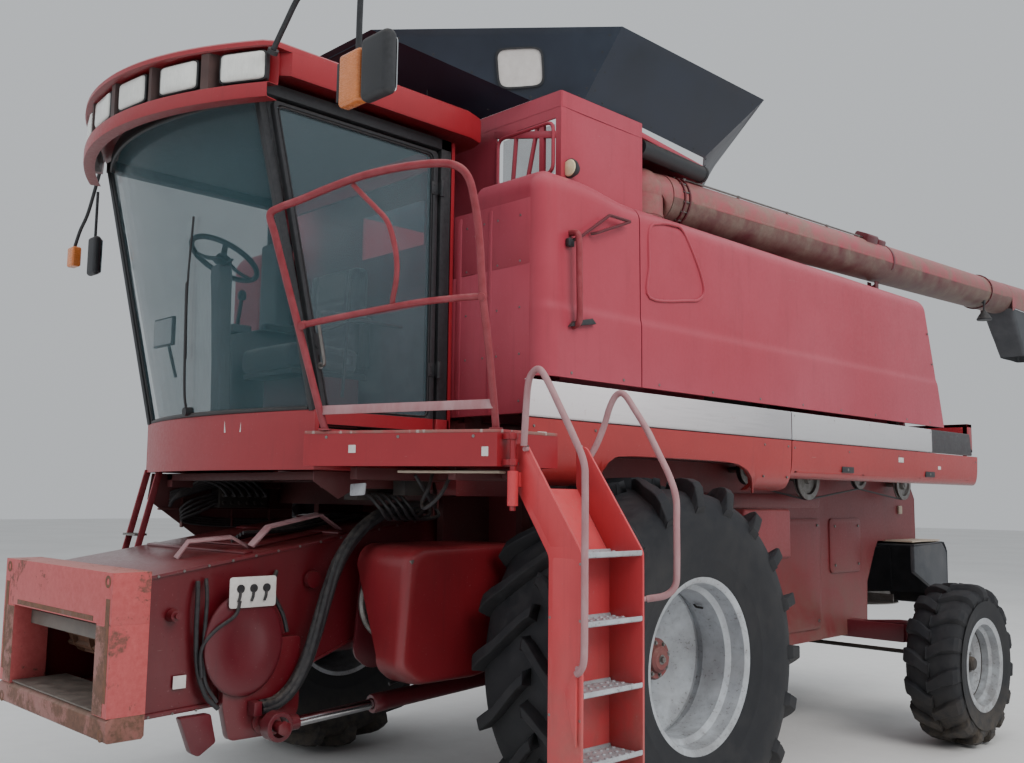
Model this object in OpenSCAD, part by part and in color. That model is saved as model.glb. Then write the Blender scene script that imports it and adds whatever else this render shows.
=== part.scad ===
/* [Wheels] */
// Outside diameter of the drive tyres
front_tyre_d = 1840; // [1740:10:1900]
// Section width of the drive tyres
front_tyre_w = 784; // [600:10:800]
// Distance from the centre plane to the middle of a drive tyre
front_wheel_x = 1482; // [1470:1:1500]
// Outside diameter of the steered tyres
rear_tyre_d = 1138; // [1060:2:1150]
// Section width of the steered tyres
rear_tyre_w = 400; // [300:10:410]
// Distance from the centre plane to the middle of a steered tyre
rear_wheel_x = 1680; // [1670:5:1710]
// Distance between the drive axle and the steered axle
wheelbase = 3440; // [3430:5:3460]

/* [Body] */
// Half width over the big side panels
body_x = 1500; // [1490:1:1510]
// Height of the roll at the top of the side panels
panel_top = 3225; // [3190:5:3230]
// Thickness of a side panel with its stiffening
panel_t = 40; // [20:5:50]
// Radius of the rolled edges of the side panels
roll_r = 100; // [60:10:120]
// Half width of the threshing body
sep_x = 850; // [800:10:850]
// Half width of the grain tank
tank_x = 1380; // [1360:5:1390]
// Height of the grain tank rim
tank_top = 3740; // [3720:5:3745]
// Height of the rim of the tank extension
ext_top = 4100; // [4000:10:4200]

/* [Cab] */
// Half width of the cab at the pillars
cab_x = 830; // [820:5:835]
// Height of the cab floor
cab_floor_z = 1840; // [1830:5:1850]
// Height of the bottom of the glass
glass_z0 = 2050; // [2030:5:2060]
// Height of the top of the glass
glass_z1 = 3460; // [3440:5:3470]
// Outer edge of the work platform
deck_x = 1700; // [1690:5:1700]

/* [Feeder] */
// Half width of the feeder house
feeder_x = 553; // [530:1:560]
// Length of the feeder house in front of its pivot
feeder_len = 1712; // [1700:2:1720]
// Wall thickness of the feeder house
feeder_t = 22; // [10:1:30]

/* [Unloading auger] */
// Outside radius of the auger tube
auger_r = 147; // [140:1:150]
// Length of the auger tube from its pivot to its end housing
auger_len = 5550; // [5400:10:5560]
// Upward slope of the auger tube in degrees
auger_slope = 1.98; // [1.8:0.01:2.1]

/* [Hidden] */
$fn = 48;

red = "firebrick"; dark_red = "brown"; black = "#20242c"; silver = "#d5d8da"; rubber = "#2b2b2c"; steel = "dimgray";

// place of the drawing datum: the drive axle is at y 0 and z axle_z, x 0 is the centre plane
origin_x = -170; origin_y = -2106.5; datum_z = 70;
axle_z = 850;
rear_z = rear_tyre_d / 2 - datum_z;
king_x = 1380; arm_y = 200;
piv_y = -550; piv_z = 1380;
auger_px = 1200; auger_py = 290; auger_z = 3413; tank_in = 1018;
seam_y = 1450;

module placed() translate([origin_x, origin_y, datum_z]) children();
module sides() { children(); mirror([1, 0, 0]) children(); }
// outlines drawn in the (y, z) plane and pushed along x, or in (x, z) and pushed along y
module yz(x0, x1) translate([x0, 0, 0]) rotate([90, 0, 90]) linear_extrude(x1 - x0) children();
module xz(y0, y1) translate([0, y1, 0]) rotate([90, 0, 0]) linear_extrude(y1 - y0) children();
module box(x, y, z) translate([x[0], y[0], z[0]]) cube([x[1] - x[0], y[1] - y[0], z[1] - z[0]]);
module bar(a, b, r) {
  d = b - a; L = norm(d);
  translate(a) rotate([0, acos(d[2] / L), atan2(d[1], d[0])]) cylinder(h = L, r = r, $fn = 24);
}
function unit(v) = v / norm(v);
// path with each corner cut to a short bend of three points
function bent(p, k) = [for (i = [0 : len(p) - 1]) each (i == 0 || i == len(p) - 1) ? [p[i]] : let (a = p[i - 1] - p[i], b = p[i + 1] - p[i], q = min(k, norm(a) * 0.4, norm(b) * 0.4)) [p[i] + unit(a) * q, p[i] + (unit(a) + unit(b)) * q / 4, p[i] + unit(b) * q]];
// round tube along a path; side is square to the plane that the path lies in
module pipe(path, r, side = [0, 1, 0], k = 70, n = 12) {
  p = bent(path, k); m = len(p);
  t = [for (i = [0 : m - 1]) unit(unit(p[min(i + 1, m - 1)] - p[min(i, m - 2)]) + unit(p[max(i, 1)] - p[max(i - 1, 0)]))];
  v = [for (i = [0 : m - 1]) unit(cross(t[i], side))];
  pts = [for (i = [0 : m - 1], j = [0 : n - 1]) p[i] + r * (cos(360 * (j + 0.5) / n) * cross(v[i], t[i]) + sin(360 * (j + 0.5) / n) * v[i])];
  polyhedron(pts, concat([[for (j = [0 : n - 1]) j]], [for (i = [0 : m - 2], j = [0 : n - 1]) [i * n + j, (i + 1) * n + j, (i + 1) * n + (j + 1) % n, i * n + (j + 1) % n]],
    [[for (j = [n - 1 : -1 : 0]) (m - 1) * n + j]]));
}
module beam(a, b, w, h) {
  d = b - a; L = norm(d);
  translate(a) rotate([0, acos(d[2] / L), atan2(d[1], d[0])]) translate([-h / 2, -w / 2, 0]) cube([h, w, L]);
}
module cyl_x(x0, x1, y, z, r) translate([x0, y, z]) rotate([0, 90, 0]) cylinder(h = x1 - x0, r = r);
module cyl_y(y0, y1, x, z, r) translate([x, y1, z]) rotate([90, 0, 0]) cylinder(h = y1 - y0, r = r);
module cyl_z(z0, z1, x, y, r) translate([x, y, z0]) cylinder(h = z1 - z0, r = r);
module turned_x(x, y, z) translate([x, y, z]) rotate([0, 90, 0]) rotate_extrude($fn = 72) children();

// ---------- wheels ----------
// carcass section: [radius, distance from the tyre's middle], one half, tread to bead
function half_tyre(R, w, rb, wb) = [[R, 0], [R - 4, w * 0.30], [R - 16, w * 0.42], [R - 45, w * 0.475],
  [R - 95, w * 0.497], [R - 160, w * 0.5], [rb + 90, w * 0.485], [rb + 38, wb + 12], [rb + 38, wb], [rb, wb - 2],
  [rb, wb - 40], [rb + 60, wb - 45], [R - 150, w * 0.5 - 42], [R - 75, w * 0.36], [R - 62, 0]];
module tyre(R, w, rb, wb) {
  h = half_tyre(R, w, rb, wb);
  polygon(concat(h, [for (i = [len(h) - 2 : -1 : 1]) [h[i][0], -h[i][1]]]));
}
module front_tyre() color(rubber) turned_x(front_wheel_x, 0, axle_z)
  tyre(front_tyre_d / 2, front_tyre_w, 407, 328);
module front_rim() color(silver) difference() {
  turned_x(front_wheel_x, 0, axle_z) union() {
    polygon([[405, -330], [442, -334], [442, -346], [392, -346], [392, 346], [442, 346], [442, 334], [405, 330]]);
    polygon([[62, -60], [200, -60], [240, -78], [330, -78], [392, -30], [392, -8], [322, -58], [245, -58], [205, -35], [62, -35]]);
  }
  for (a = [0 : 36 : 324]) translate([front_wheel_x - 80, 0, axle_z]) rotate([a, 0, 0]) cyl_x(0, 60, 0, 140, 11);
}
module rear_tyre() color(rubber) turned_x(rear_wheel_x, wheelbase, rear_z)
  tyre(rear_tyre_d / 2, rear_tyre_w, 302, 174);
module rear_rim() color(silver) difference() {
  turned_x(rear_wheel_x, wheelbase, rear_z) union() {
    polygon([[300, -172], [330, -176], [330, -186], [290, -186], [290, 186], [330, 186], [330, 176], [300, 172]]);
    polygon([[42, 10], [110, 10], [150, 40], [230, 40], [290, 100], [290, 116], [226, 55], [145, 55], [105, 26], [42, 26]]);
  }
  for (a = [0 : 45 : 315]) translate([rear_wheel_x, wheelbase, rear_z]) rotate([a, 0, 0]) cyl_x(5, 35, 0, 82, 9);
}
module drive_axle() color(steel) {
  cyl_x(-1060, 1060, 0, axle_z, 125);
  sides() {
    box([680, 845], [-140, 190], [axle_z - 150, axle_z + 120]);
    // lugs and pin of the lift cylinder
    for (x = [684, 764]) box([x, x + 12], [-240, -130], [680, 750]);
    cyl_x(684, 776, lift_a[1], lift_a[2], 25);
    difference() { cyl_x(1050, 1395, 0, axle_z, 225); cyl_x(1040, 1055, 0, axle_z, 125); }
    cyl_x(1395, 1500, 0, axle_z, 60);
  }
}
module steering_axle() color(dark_red) {
  difference() {
    box([-1300, 1300], [wheelbase - 70, wheelbase + 70], [600, 735]);
    cyl_y(wheelbase - 80, wheelbase + 80, 0, 668, 31);
  }
  sides() difference() {
    union() {
      cyl_z(560, 780, king_x, wheelbase, 58);
      box([1290, 1345], [wheelbase - 45, wheelbase + 45], [600, 735]);
    }
    cyl_z(550, 790, king_x, wheelbase, 26);
  }
}
module knuckle() color(steel) {
  cyl_z(522, 818, king_x, wheelbase, 25);
  box([king_x - 5, 1450], [wheelbase - 60, wheelbase + 60], [786, 818]);
  box([king_x - 5, 1450], [wheelbase - 60, wheelbase + 60], [522, 554]);
  difference() {
    box([1450, 1475], [wheelbase - 85, wheelbase + 85], [380, 818]);
    cyl_x(1440, 1480, wheelbase, rear_z, 39);
  }
  cyl_x(1450, 1730, wheelbase, rear_z, 40);
  // steering arm with the eye for the tie rod
  difference() {
    union() {
      box([king_x - 30, king_x + 30], [wheelbase + 55, wheelbase + arm_y], [524, 552]);
      cyl_z(524, 552, king_x, wheelbase + arm_y, 30);
    }
    cyl_z(520, 560, king_x, wheelbase + arm_y, 12.5);
  }
}
module tie_rod() color(steel) {
  cyl_x(-king_x + 20, king_x - 20, wheelbase + arm_y, 498, 16);
  sides() {
    cyl_z(482, 516, king_x, wheelbase + arm_y, 26);
    cyl_z(516, 556, king_x, wheelbase + arm_y, 12);
  }
}

// ---------- chassis ----------
module main_frame() color(dark_red) {
  sides() {
    box([855, 930], [-780, 4200], [1900, 2030]);
    box([855, 900], [-330, 330], [980, 1900]);
    for (y = [-740, 1390, 3300]) box([930, 1450], [y, y + 80], [2100, 2180]);
    for (y = [-740, 1390, 3300]) box([880, 930], [y, y + 80], [2030, 2180]);
    for (y = [1400, 3300]) box([1250, 1320], [y, y + 60], [2180, 3060]);
    // cheeks that carry the feeder house pivot
    difference() { box([562, 612], [-640, -302], [1290, 1656]); cyl_x(550, 620, piv_y, piv_z, 40.5); }
  }
  box([635, 715], [-800, -762], [1550, 1655]);
  // pivot lugs of the steered axle and the rear drawbar
  for (y = [wheelbase - 110, wheelbase + 76]) difference() {
    box([-95, 95], [y, y + 34], [600, 795]);
    cyl_y(y - 5, y + 40, 0, 668, 31);
  }
  cyl_y(wheelbase - 120, wheelbase + 116, 0, 668, 30);
  difference() {
    union() { box([-55, 55], [wheelbase + 110, 3860], [700, 735]); cyl_z(700, 735, 0, 3860, 55); }
    cyl_z(690, 740, 0, 3860, 17);
  }
}
module separator_housing() color(red) difference() {
  yz(-sep_x, sep_x) polygon([[-300, 1180], [-300, 1660], [-760, 1660], [-760, 2050], [4380, 2050], [4640, 1680],
    [4640, 1330], [3900, 1330], [3720, 1010], [3700, 620], [1050, 600], [780, 1000], [330, 1180]]);
  // crop inlet behind the feeder
  box([-470, 470], [-310, 60], [1230, 1560]);
  // room for the steered axle
  box([-822, 822], [wheelbase - 190, 3750], [550, 800]);
  box([-900, 900], [wheelbase - 100, wheelbase + 100], [550, 800]);
  // straw outlet at the back
  box([-780, 780], [4100, 4800], [1250, 1600]);
}
module panel_cut() yz(0, 2000) polygon([[3480, 3300], [3480, panel_top - 10], [3790, 2150], [4300, 2150], [4300, 3300]]);
module upper_side_panels() color(red) sides() difference() {
  union() {
    box([body_x - panel_t, body_x], [-800 + roll_r, 3800], [2235, panel_top - roll_r]);
    translate([body_x - roll_r, -800 + roll_r, 2235]) difference() {
      rotate([0, 0, 270]) rotate_extrude(angle = 90) translate([roll_r - panel_t, 0]) square([panel_t, panel_top - roll_r - 2235]);
    }
    translate([0, 3800, panel_top - roll_r]) rotate([90, 0, 0]) linear_extrude(4600 - roll_r) translate([body_x - roll_r, 0])
      intersection() { difference() { circle(roll_r); circle(roll_r - panel_t); } square(roll_r + 5); }
    translate([body_x - roll_r, -800 + roll_r, panel_top - roll_r]) intersection() {
      difference() { sphere(roll_r); sphere(roll_r - panel_t); }
      translate([0, -roll_r - 5, 0]) cube(roll_r + 5);
    }
    box([1250, body_x - roll_r], [-800 + roll_r, 3800], [panel_top - panel_t, panel_top]);
    box([1000, 1260], [-800 + roll_r, -626], [panel_top - panel_t, panel_top]);
    translate([1000, -800 + roll_r, panel_top - roll_r]) rotate([0, 90, 0]) linear_extrude(body_x - roll_r - 1000)
      intersection() { difference() { circle(roll_r); circle(roll_r - panel_t); } translate([-roll_r - 5, -roll_r - 5]) square([roll_r + 5, roll_r + 5]); }
  }
  panel_cut();
  // well in the top for the grain tank and the auger elbow
  box([1200, tank_x + 8], [-626, 1400], [3100, 3300]);
}
module front_bulkhead() color(red) difference() {
  box([-1398, 1398], [-800, -765], [2055, panel_top - roll_r]);
  box([-700, 700], [-810, -750], [2800, 3300]);
}
// lower belt of the side: stripe band above, rolled shield below, with the wheel arch cut out
module belt(y0, y1) {
  box([body_x - 30, body_x], [y0, y1], [2030, 2212]);
  translate([0, y1, 0]) rotate([90, 0, 0]) linear_extrude(y1 - y0)
    polygon([[body_x - 30, 2030], [body_x, 2030], [body_x - 4, 1900], [body_x - 22, 1800], [body_x - 70, 1730],
      [body_x - 140, 1715], [body_x - 140, 1740], [body_x - 84, 1755], [body_x - 52, 1812], [body_x - 34, 1900]]);
}
module front_side_shields() color("orangered") sides() {
  difference() {
    belt(-900, seam_y);
    yz(1000, 1600) polygon([[-372, 1650], [-340, 1800], [-250, 1872], [820, 1872], [1000, 1810], [1090, 1650]]);
  }
  // pin that the rear shield turns on
  cyl_y(seam_y - 20, seam_y + 90, body_x - 15, 2200, 8);
}
module rear_shield() color("orangered") {
  difference() {
    belt(seam_y + 8, 3960);
    cyl_y(seam_y, seam_y + 110, body_x - 15, 2200, 9.5);
  }
  difference() {
    box([body_x - 30, body_x], [3960, 4290], [2030, 2212]);
    translate([0, 4290, 2212]) rotate([45, 0, 0]) translate([1000, -40, -40]) cube([600, 80, 80]);
  }
  translate([0, 4400, 0]) rotate([90, 0, 0]) linear_extrude(440)
    polygon([[body_x - 30, 2030], [body_x, 2030], [body_x - 6, 1880], [body_x - 30, 1800], [body_x - 60, 1790],
      [body_x - 60, 1815], [body_x - 44, 1880]]);
}
module tank_plan(d) polygon([[-tank_x + d, -560 + d], [tank_x - d, -560 + d], [tank_x - d, 110 - d],
  [tank_in - d, 110 - d], [tank_in - d, 1207 - d], [900 - d, 1370 - d], [-tank_x + d, 1370 - d]]);
module grain_tank() color(red) difference() {
  union() {
    translate([0, 0, 2230]) linear_extrude(tank_top - 2230) tank_plan(0);
    translate([0, 0, 3660]) linear_extrude(tank_top - 3660) polygon([[990, 105], [tank_x, 105], [1290, 830], [990, 1245]]);
    cyl_z(2700, 3300, auger_px, auger_py, 82);
    box([1010, 1190], [230, 350], [2700, 2760]);
  }
  difference() {
    union() {
      translate([0, 0, 2600]) linear_extrude(1200) tank_plan(35);
      translate([0, 0, 3695]) linear_extrude(100) polygon([[950, 60], [1343, 60], [1343, 120], [1258, 818], [960, 1180], [950, 1180]]);
    }
    // sloping floor towards the cross augers
    yz(-1500, 1500) polygon([[-700, 2500], [-700, 3100], [-560, 3050], [100, 2640], [500, 2640], [1320, 3050], [1500, 3100], [1500, 2500]]);
  }
  // window in the front wall beside the cab
  box([900, 1340], [-570, -510], [3300, 3600]);
  // window towards the operator
  box([-300, 300], [-570, -510], [3110, 3380]);
}

// plan of the flared extension at its foot and at its rim
function ext_foot(d) = [[-1380 + d, -380], [-1160, -560 + d], [1160, -560 + d], [1380 - d, -380], [1290 - d, 830], [900, 1370 - d], [-1160, 1370 - d], [-1380 + d, 1150]];
function ext_rim(d) = [[-1580 + d, -310], [-600, -1200 + d], [600, -1200 + d], [1580 - d, -310], [1580 - d, 1060], [600, 1950 - d], [-600, 1950 - d], [-1580 + d, 1060]];
module ext_solid(d, z0, z1) hull() {
  translate([0, 0, z0]) linear_extrude(1) polygon(ext_foot(d));
  translate([0, 0, z1 - 1]) linear_extrude(1) polygon(ext_rim(d));
}
module tank_extension() color(black) difference() {
  ext_solid(0, tank_top, ext_top);
  ext_solid(24, tank_top - 1, ext_top + 1);
}
module engine_block() color(steel) box([-560, 560], [1850, 2750], [2230, 3090]);
module engine_deck() color(red) {
  box([-1245, 1245], [1440, 3400], [panel_top - 60, panel_top - 30]);
  // cooling box with its air screen, on the right
  difference() {
    box([-1200, -420], [1700, 2750], [panel_top - 30, 3560]);
    box([-1201, -1170], [1790, 2660], [3240, 3500]);
  }
  box([-300, 700], [1900, 2900], [panel_top - 30, 3380]);
  // exhaust stack and air cleaner
  difference() { cyl_z(3380, 3800, 150, 2650, 60); cyl_z(3390, 3810, 150, 2650, 52); }
  cyl_z(3380, 3640, 480, 2200, 130);
  // back wall of the upper body
  yz(-1245, 1245) polygon([[3440, panel_top - 60], [3400, panel_top - 60], [3640, 2060], [3680, 2060]]);
  // cradle for the auger
  box([1165, 1235], [3200, 3260], [panel_top - 40, 3360]);
}
module spreader_hood() color("#3a3c40") difference() {
  union() {
    yz(-1100, 1100) polygon([[4050, 1300], [4640, 1320], [4700, 1240], [4690, 860], [4560, 800], [4380, 940], [4050, 1080]]);
    box([-1080, 1080], [4060, 4600], [1300, 1328]);
  }
  yz(-1060, 1060) polygon([[4020, 1270], [4600, 1285], [4655, 1225], [4650, 700], [3900, 700]]);
}
module rear_tail() color("#3a1212") {
  // frame of the rear end behind the side shields, with the tail lamps
  sides() difference() {
    box([900, 1462], [4300, 4400], [2065, 2300]);
    box([940, 1422], [4270, 4380], [2090, 2270]);
  }
  sides() box([1300, 1455], [4400, 4425], [2110, 2260]);
  box([-900, 900], [4300, 4380], [2065, 2300]);
  sides() box([853, 900], [4000, 4300], [2065, 2140]);
  sides() box([853, 935], [4200, 4320], [1960, 2062]);
}
module spreader_disc() color(steel) {
  cyl_z(800, 815, 520, 4200, 330);
  difference() { cyl_z(815, 900, 520, 4200, 60); }
  for (a = [0 : 60 : 300]) translate([520, 4200, 0]) rotate([0, 0, a]) box([80, 320], [-6, 6], [815, 880]);
  cyl_z(900, 1265, 520, 4200, 25);
}

// ---------- cab ----------
function bow(y, x, b, n) = [for (i = [0 : n]) let (t = -1 + 2 * i / n) [x * t, y - b * (1 - t * t)]];
module cab_plan(y, x, b, yr) polygon(concat(bow(y, x, b, 16), [[x, yr], [-x, yr]]));
module cab_floor() color(steel) {
  translate([0, 0, cab_floor_z - 40]) linear_extrude(40) cab_plan(-1580, 790, 130, -845);
  box([-240, 240], [-1250, -950], [cab_floor_z, 2288]);
}
module cab_frame() color(red) {
  // sill band under the glass
  difference() {
    translate([0, 0, 1770]) linear_extrude(glass_z0 - 1770) difference() {
      cab_plan(-1630, 850, 140, -810);
      cab_plan(-1590, 800, 130, -845);
    }
    box([780, 900], [-1602, -910], [1965, 2100]);
  }
  sides() {
    beam([822, -1625, glass_z0], [790, -1955, glass_z1 + 10], 56, 56);
    box([768, 850], [-905, -835], [glass_z0 - 5, 3520]);
    box([766, 850], [-1960, -835], [glass_z1, 3520]);
  }
  // back wall with its window cut, and the front header
  difference() {
    box([-775, 775], [-845, -812], [glass_z0, 3520]);
    box([-690, 690], [-860, -800], [2700, 3400]);
  }
  translate([0, 0, glass_z1]) linear_extrude(3520 - glass_z1) difference() {
    cab_plan(-1960, 770, 170, -1900);
    cab_plan(-1910, 760, 165, -1800);
  }
  // small cleaning step under the right front corner
  for (x = [-843, -697]) yz(x, x + 14) polygon([[-1640, 1790], [-1600, 1790], [-1752, 1180], [-1792, 1180]]);
  for (z = [1230, 1420]) box([-839, -687], [-1800 + (z - 1180) * 0.2, -1725 + (z - 1180) * 0.2], [z, z + 14]);
}
module roof_plan(z, y, x, b, yr) translate([0, 0, z]) linear_extrude(1) polygon(concat(bow(y, x, b, 14), [[x, yr], [-x, yr]]));
module cab_roof() color(red) {
  difference() {
    hull() { roof_plan(3530, -2010, 950, 310, -660); roof_plan(3600, -2012, 945, 305, -660); roof_plan(3694, -2040, 720, 260, -700); }
    box([-700, 700], [-1800, -900], [3500, 3560]);
  }
  // lamp fascia under the front of the roof
  difference() {
    translate([0, 0, 3400]) linear_extrude(128) difference() {
      polygon(concat(bow(-2010, 950, 300, 14), [[950, -1970], [-950, -1970]]));
      polygon(concat(bow(-1990, 860, 200, 14), [[860, -1900], [-860, -1900]]));
    }
    for (i = [-2.5 : 1 : 2.5]) translate([i * 265, 0, 0]) rotate([0, 0, i * 5]) box([-105, 105], [-2340, -2210], [3432, 3505]);
  }
}
// windscreen loft between its bottom and top curves
module screen(dy, w) hull() {
  translate([0, dy, glass_z0]) linear_extrude(1) polygon(concat(bow(-1625, w, 140, 14), [[w, -1500], [-w, -1500]]));
  translate([0, dy, glass_z1 - 1]) linear_extrude(1) polygon(concat(bow(-1958, w - 32, 170, 14), [[w - 32, -1800], [32 - w, -1800]]));
}
// the same curve 9 mm further back, carried on past the edges of the screen
module screen_inside() hull() {
  translate([0, 9, glass_z0]) linear_extrude(1) polygon(concat(bow(-1611, 830, 154, 14), [[830, -1500], [-830, -1500]]));
  translate([0, 9, glass_z1 - 1]) linear_extrude(1) polygon(concat(bow(-1940, 798, 188, 14), [[798, -1800], [-798, -1800]]));
}
module cab_glass() color("#6fa3a3", 0.5) {
  difference() { screen(0, 792); screen_inside(); }
  // right side window and rear window
  yz(-846, -838) polygon([[-1560, glass_z0], [-1895, glass_z1], [-905, glass_z1], [-905, glass_z0]]);
  box([-690, 690], [-836, -828], [2700, 3400]);
}
door_out = [[-1568, 1977], [-1588, 2050], [-1912, 3446], [-918, 3446], [-918, 1977]];
door_in = [[-1540, 2085], [-1845, 3390], [-970, 3390], [-970, 2085]];
module cab_door() color(red) {
  difference() { yz(806, 846) polygon(door_out); yz(800, 850) polygon(door_in); }
  // hinge sleeves and the pull handle
  for (z = [2250, 3200]) { cyl_z(z, z + 90, 868, -912, 12); box([842, 868], [-925, -908], [z + 10, z + 80]); }
  pipe([[838, -1607, 2250], [884, -1607, 2250], [884, -1653, 2450], [838, -1653, 2450]], 9, [0, 1, 0.23], 18);
}
module door_glass() color("#6fa3a3", 0.5) yz(822, 830) polygon([[-1539, 2086], [-1844, 3389], [-971, 3389], [-971, 2086]]);
module operator_seat() color("#30343a") {
  hull() { for (x = [-200, 200], y = [-1340, -940]) translate([x, y, 2350]) sphere(60, $fn = 24); for (x = [-200, 200], y = [-1340, -940]) translate([x, y, 2410]) sphere(50, $fn = 24); }
  hull() for (x = [-180, 180], z = [2460, 2880]) translate([x, -925 + (z - 2460) * 0.02, z]) sphere(55, $fn = 24);
  sides() { box([270, 330], [-1250, -900], [2590, 2630]); box([225, 280], [-960, -900], [2590, 2630]); }
}
module steering_column() color(black) {
  beam([0, -1635, cab_floor_z + 8], [0, -1672, 2842], 110, 84);
  translate([0, -1658, 2880]) rotate([-28, 0, 0]) {
    rotate_extrude($fn = 60) translate([185, 0]) circle(14, $fn = 20);
    cylinder(h = 30, r = 40, center = true);
    for (a = [90, 210, 330]) rotate([0, 0, a]) translate([93, 0, 0]) cube([176, 22, 10], center = true);
  }
}
module control_console() color("#3c4046") {
  box([-560, -350], [-1400, -880], [cab_floor_z, 2600]);
  box([-520, -390], [-1380, -1250], [2600, 2640]);
  bar([-455, -1310, 2640], [-455, -1290, 2790], 12);
  translate([-455, -1288, 2805]) sphere(28, $fn = 24);
  box([-760, -560], [-1000, -880], [2300, 3200]);
}

// ---------- platform, rails, ladder ----------
module deck_plan() polygon([[862, -1700], [deck_x, -1290], [deck_x, -912], [862, -912]]);
module work_platform() color(red) {
  translate([0, 0, 1910]) linear_extrude(35) deck_plan();
  translate([0, 0, 1785]) linear_extrude(125) difference() {
    deck_plan();
    polygon([[892, -1652], [deck_x - 25, -1274], [deck_x - 25, -942], [892, -942]]);
  }
  // ladder hinge bracket
  for (z = [1790, 1900]) {
    union() { box([deck_x, 1750], [-1265, -1225], [z, z + 28]); cyl_z(z, z + 28, 1750, -1245, 20); }
  }
  cyl_z(1600, 1920, 1750, -1245, 14);
  box([900, deck_x - 60], [-1160, -1120], [1790, 1912]);
}
// the guard stands in a plane that leans forwards and outwards
rail_a = [952, -1647, 1954]; rail_tl = [1002, -1997, 2856]; rail_b = [1655, -1258, 1954];
module platform_rails() color(red) {
  n = cross(rail_b - rail_a, rail_tl - rail_a);
  pipe([rail_a, rail_tl, [1422, -1808, 2985], [1730, -1635, 3020], [1809, -1569, 2944], [1739, -1422, 2488], [1673, -1290, 2073], rail_b], 17, n / norm(n));
  // middle rail, inner grab bar and kick bar, a little in front of the posts' axes
  pipe([[1002, -1810, 2399], [1450, -1590, 2470], [1735, -1424, 2488]], 14, n / norm(n));
  pipe([[1358, -1822, 2952], [1425, -1755, 2859], [1466, -1706, 2797], [1456, -1663, 2678], [1426, -1635, 2567], [1380, -1612, 2475]], 12, n / norm(n), 40);
  beam([955, -1679, 2034], [1670, -1292, 2052], 16, 40);
}
module ladder() color(red) {
  // front and back stringers as slanting plates, red back sheet between them
  for (y = [-1212, -830]) xz(y, y + 14) polygon([[2110, 330], [2110, 1440], [1790, 1890], [1728, 1890], [1728, 1700], [1925, 1420], [1925, 330]]);
  box([1913, 1925], [-1212, -816], [330, 1440]);
  xz(-1198, -830) polygon([[1925, 1432], [1740, 1700], [1728, 1692], [1913, 1420]]);
  for (z = [340, 610, 880, 1150, 1420]) box([1925, 2110], [-1198, -830], [z, z + 25]);
  // hinge sleeves
  difference() { union() { cyl_z(1620, 1770, 1750, -1245, 24); box([1735, 1768], [-1240, -1205], [1700, 1765]); } cyl_z(1610, 1780, 1750, -1245, 14.6); }
}
module ladder_rails() color("#b87d7d") {
  pipe([[2100, -1232, 980], [2140, -1232, 1030], [2140, -1232, 1810], [1890, -1232, 2200], [1815, -1232, 2130], [1800, -1232, 1870]], 15);
  bar([2100, -1232, 1000], [2100, -1212, 1000], 10);
  bar([1800, -1232, 1850], [1800, -1212, 1850], 10);
  pipe([[2100, -790, 1240], [2205, -720, 1290], [2205, -720, 1690], [2050, -720, 1960], [1910, -720, 2140], [1820, -740, 1980], [1780, -790, 1840]], 15);
  bar([2095, -816, 1240], [2095, -790, 1240], 10);
  bar([1785, -816, 1840], [1785, -790, 1840], 10);
}
module mirrors() color(black) {
  pipe([[953, -1990, 3605], [1200, -2010, 3790], [1520, -2010, 3800], [1640, -2015, 3700], [1640, -2015, 3300]], 13);
  box([1650, 1710], [-2035, -2010], [3320, 3345]);
  box([1700, 1875], [-2060, -1990], [3150, 3410]);
  box([1530, 1690], [-2050, -1985], [3170, 3390]);
  pipe([[-958, -1900, 3560], [-1115, -1870, 3614], [-1410, -1820, 3350], [-1590, -1820, 3150]], 11, [0, 1, 0]);
  box([-1640, -1540], [-1850, -1790], [3050, 3180]);
  pipe([[-1275, -1820, 3470], [-1275, -1820, 3150]], 9, [0, 1, 0]);
  box([-1330, -1215], [-1850, -1795], [2950, 3190]);
}

// ---------- feeder ----------
module drive_shields() color(red) difference() {
  yz(622, 1040) offset(r = 60) offset(delta = -60) polygon([[-1260, 860], [-1210, 1420], [-420, 1420], [-360, 1160], [-360, 1000], [-700, 780], [-1160, 780]]);
  yz(645, 850) polygon([[-1400, 700], [-1400, 1395], [-445, 1395], [-385, 1150], [-385, 1010], [-640, 700]]);
}
feeder_y = piv_y - feeder_len;
module feeder_outline(d) polygon([[feeder_y, 700 + d], [feeder_y, 1300 - d], [piv_y - 60, 1560 - d], [piv_y + 60, 1555 - d], [piv_y + 160, 1450], [piv_y + 165, 1290], [piv_y + 60, 1190 + d], [-1750, 720 + d]]);
module feeder_house() color(red) difference() {
  union() {
    yz(-feeder_x, feeder_x) feeder_outline(0);
    // lift arms under the floor
    sides() box([feeder_x, 600], [-1900, -1500], [560, 1000]);
    sides() cyl_x(598, 800, -1700, 630, 25);
    sides() cyl_x(feeder_x - 2, 612, piv_y, piv_z, 40);
  }
  yz(-feeder_x + feeder_t, feeder_x - feeder_t) polygon([[-2500, 700 + feeder_t], [-2500, 1300 - feeder_t], [piv_y - 60, 1560 - feeder_t],
    [piv_y + 400, 1560 - feeder_t], [piv_y + 400, 1190 + feeder_t], [piv_y + 60, 1190 + feeder_t], [-1750, 720 + feeder_t]]);
}
module feeder_face() color("saddlebrown") difference() {
  box([-620, 620], [feeder_y - 170, feeder_y - 2], [640, 1330]);
  box([-475, 475], [feeder_y - 180, feeder_y + 20], [745, 1110]);
  for (x = [-570, 570], z = [670, 1290]) cyl_y(feeder_y - 175, feeder_y + 5, x, z, 13);
}
module feeder_chain() color(steel) {
  cyl_x(-500, 500, -2070, 968, 110);
  for (i = [0 : 6]) box([-480, 480], [-1930 + i * 186, -1910 + i * 186], [820 + i * 60, 870 + i * 60]);
  for (x = [-400, 0, 400]) beam([x, -1950, 850], [x, -780, 1229], 30, 14);
}
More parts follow.
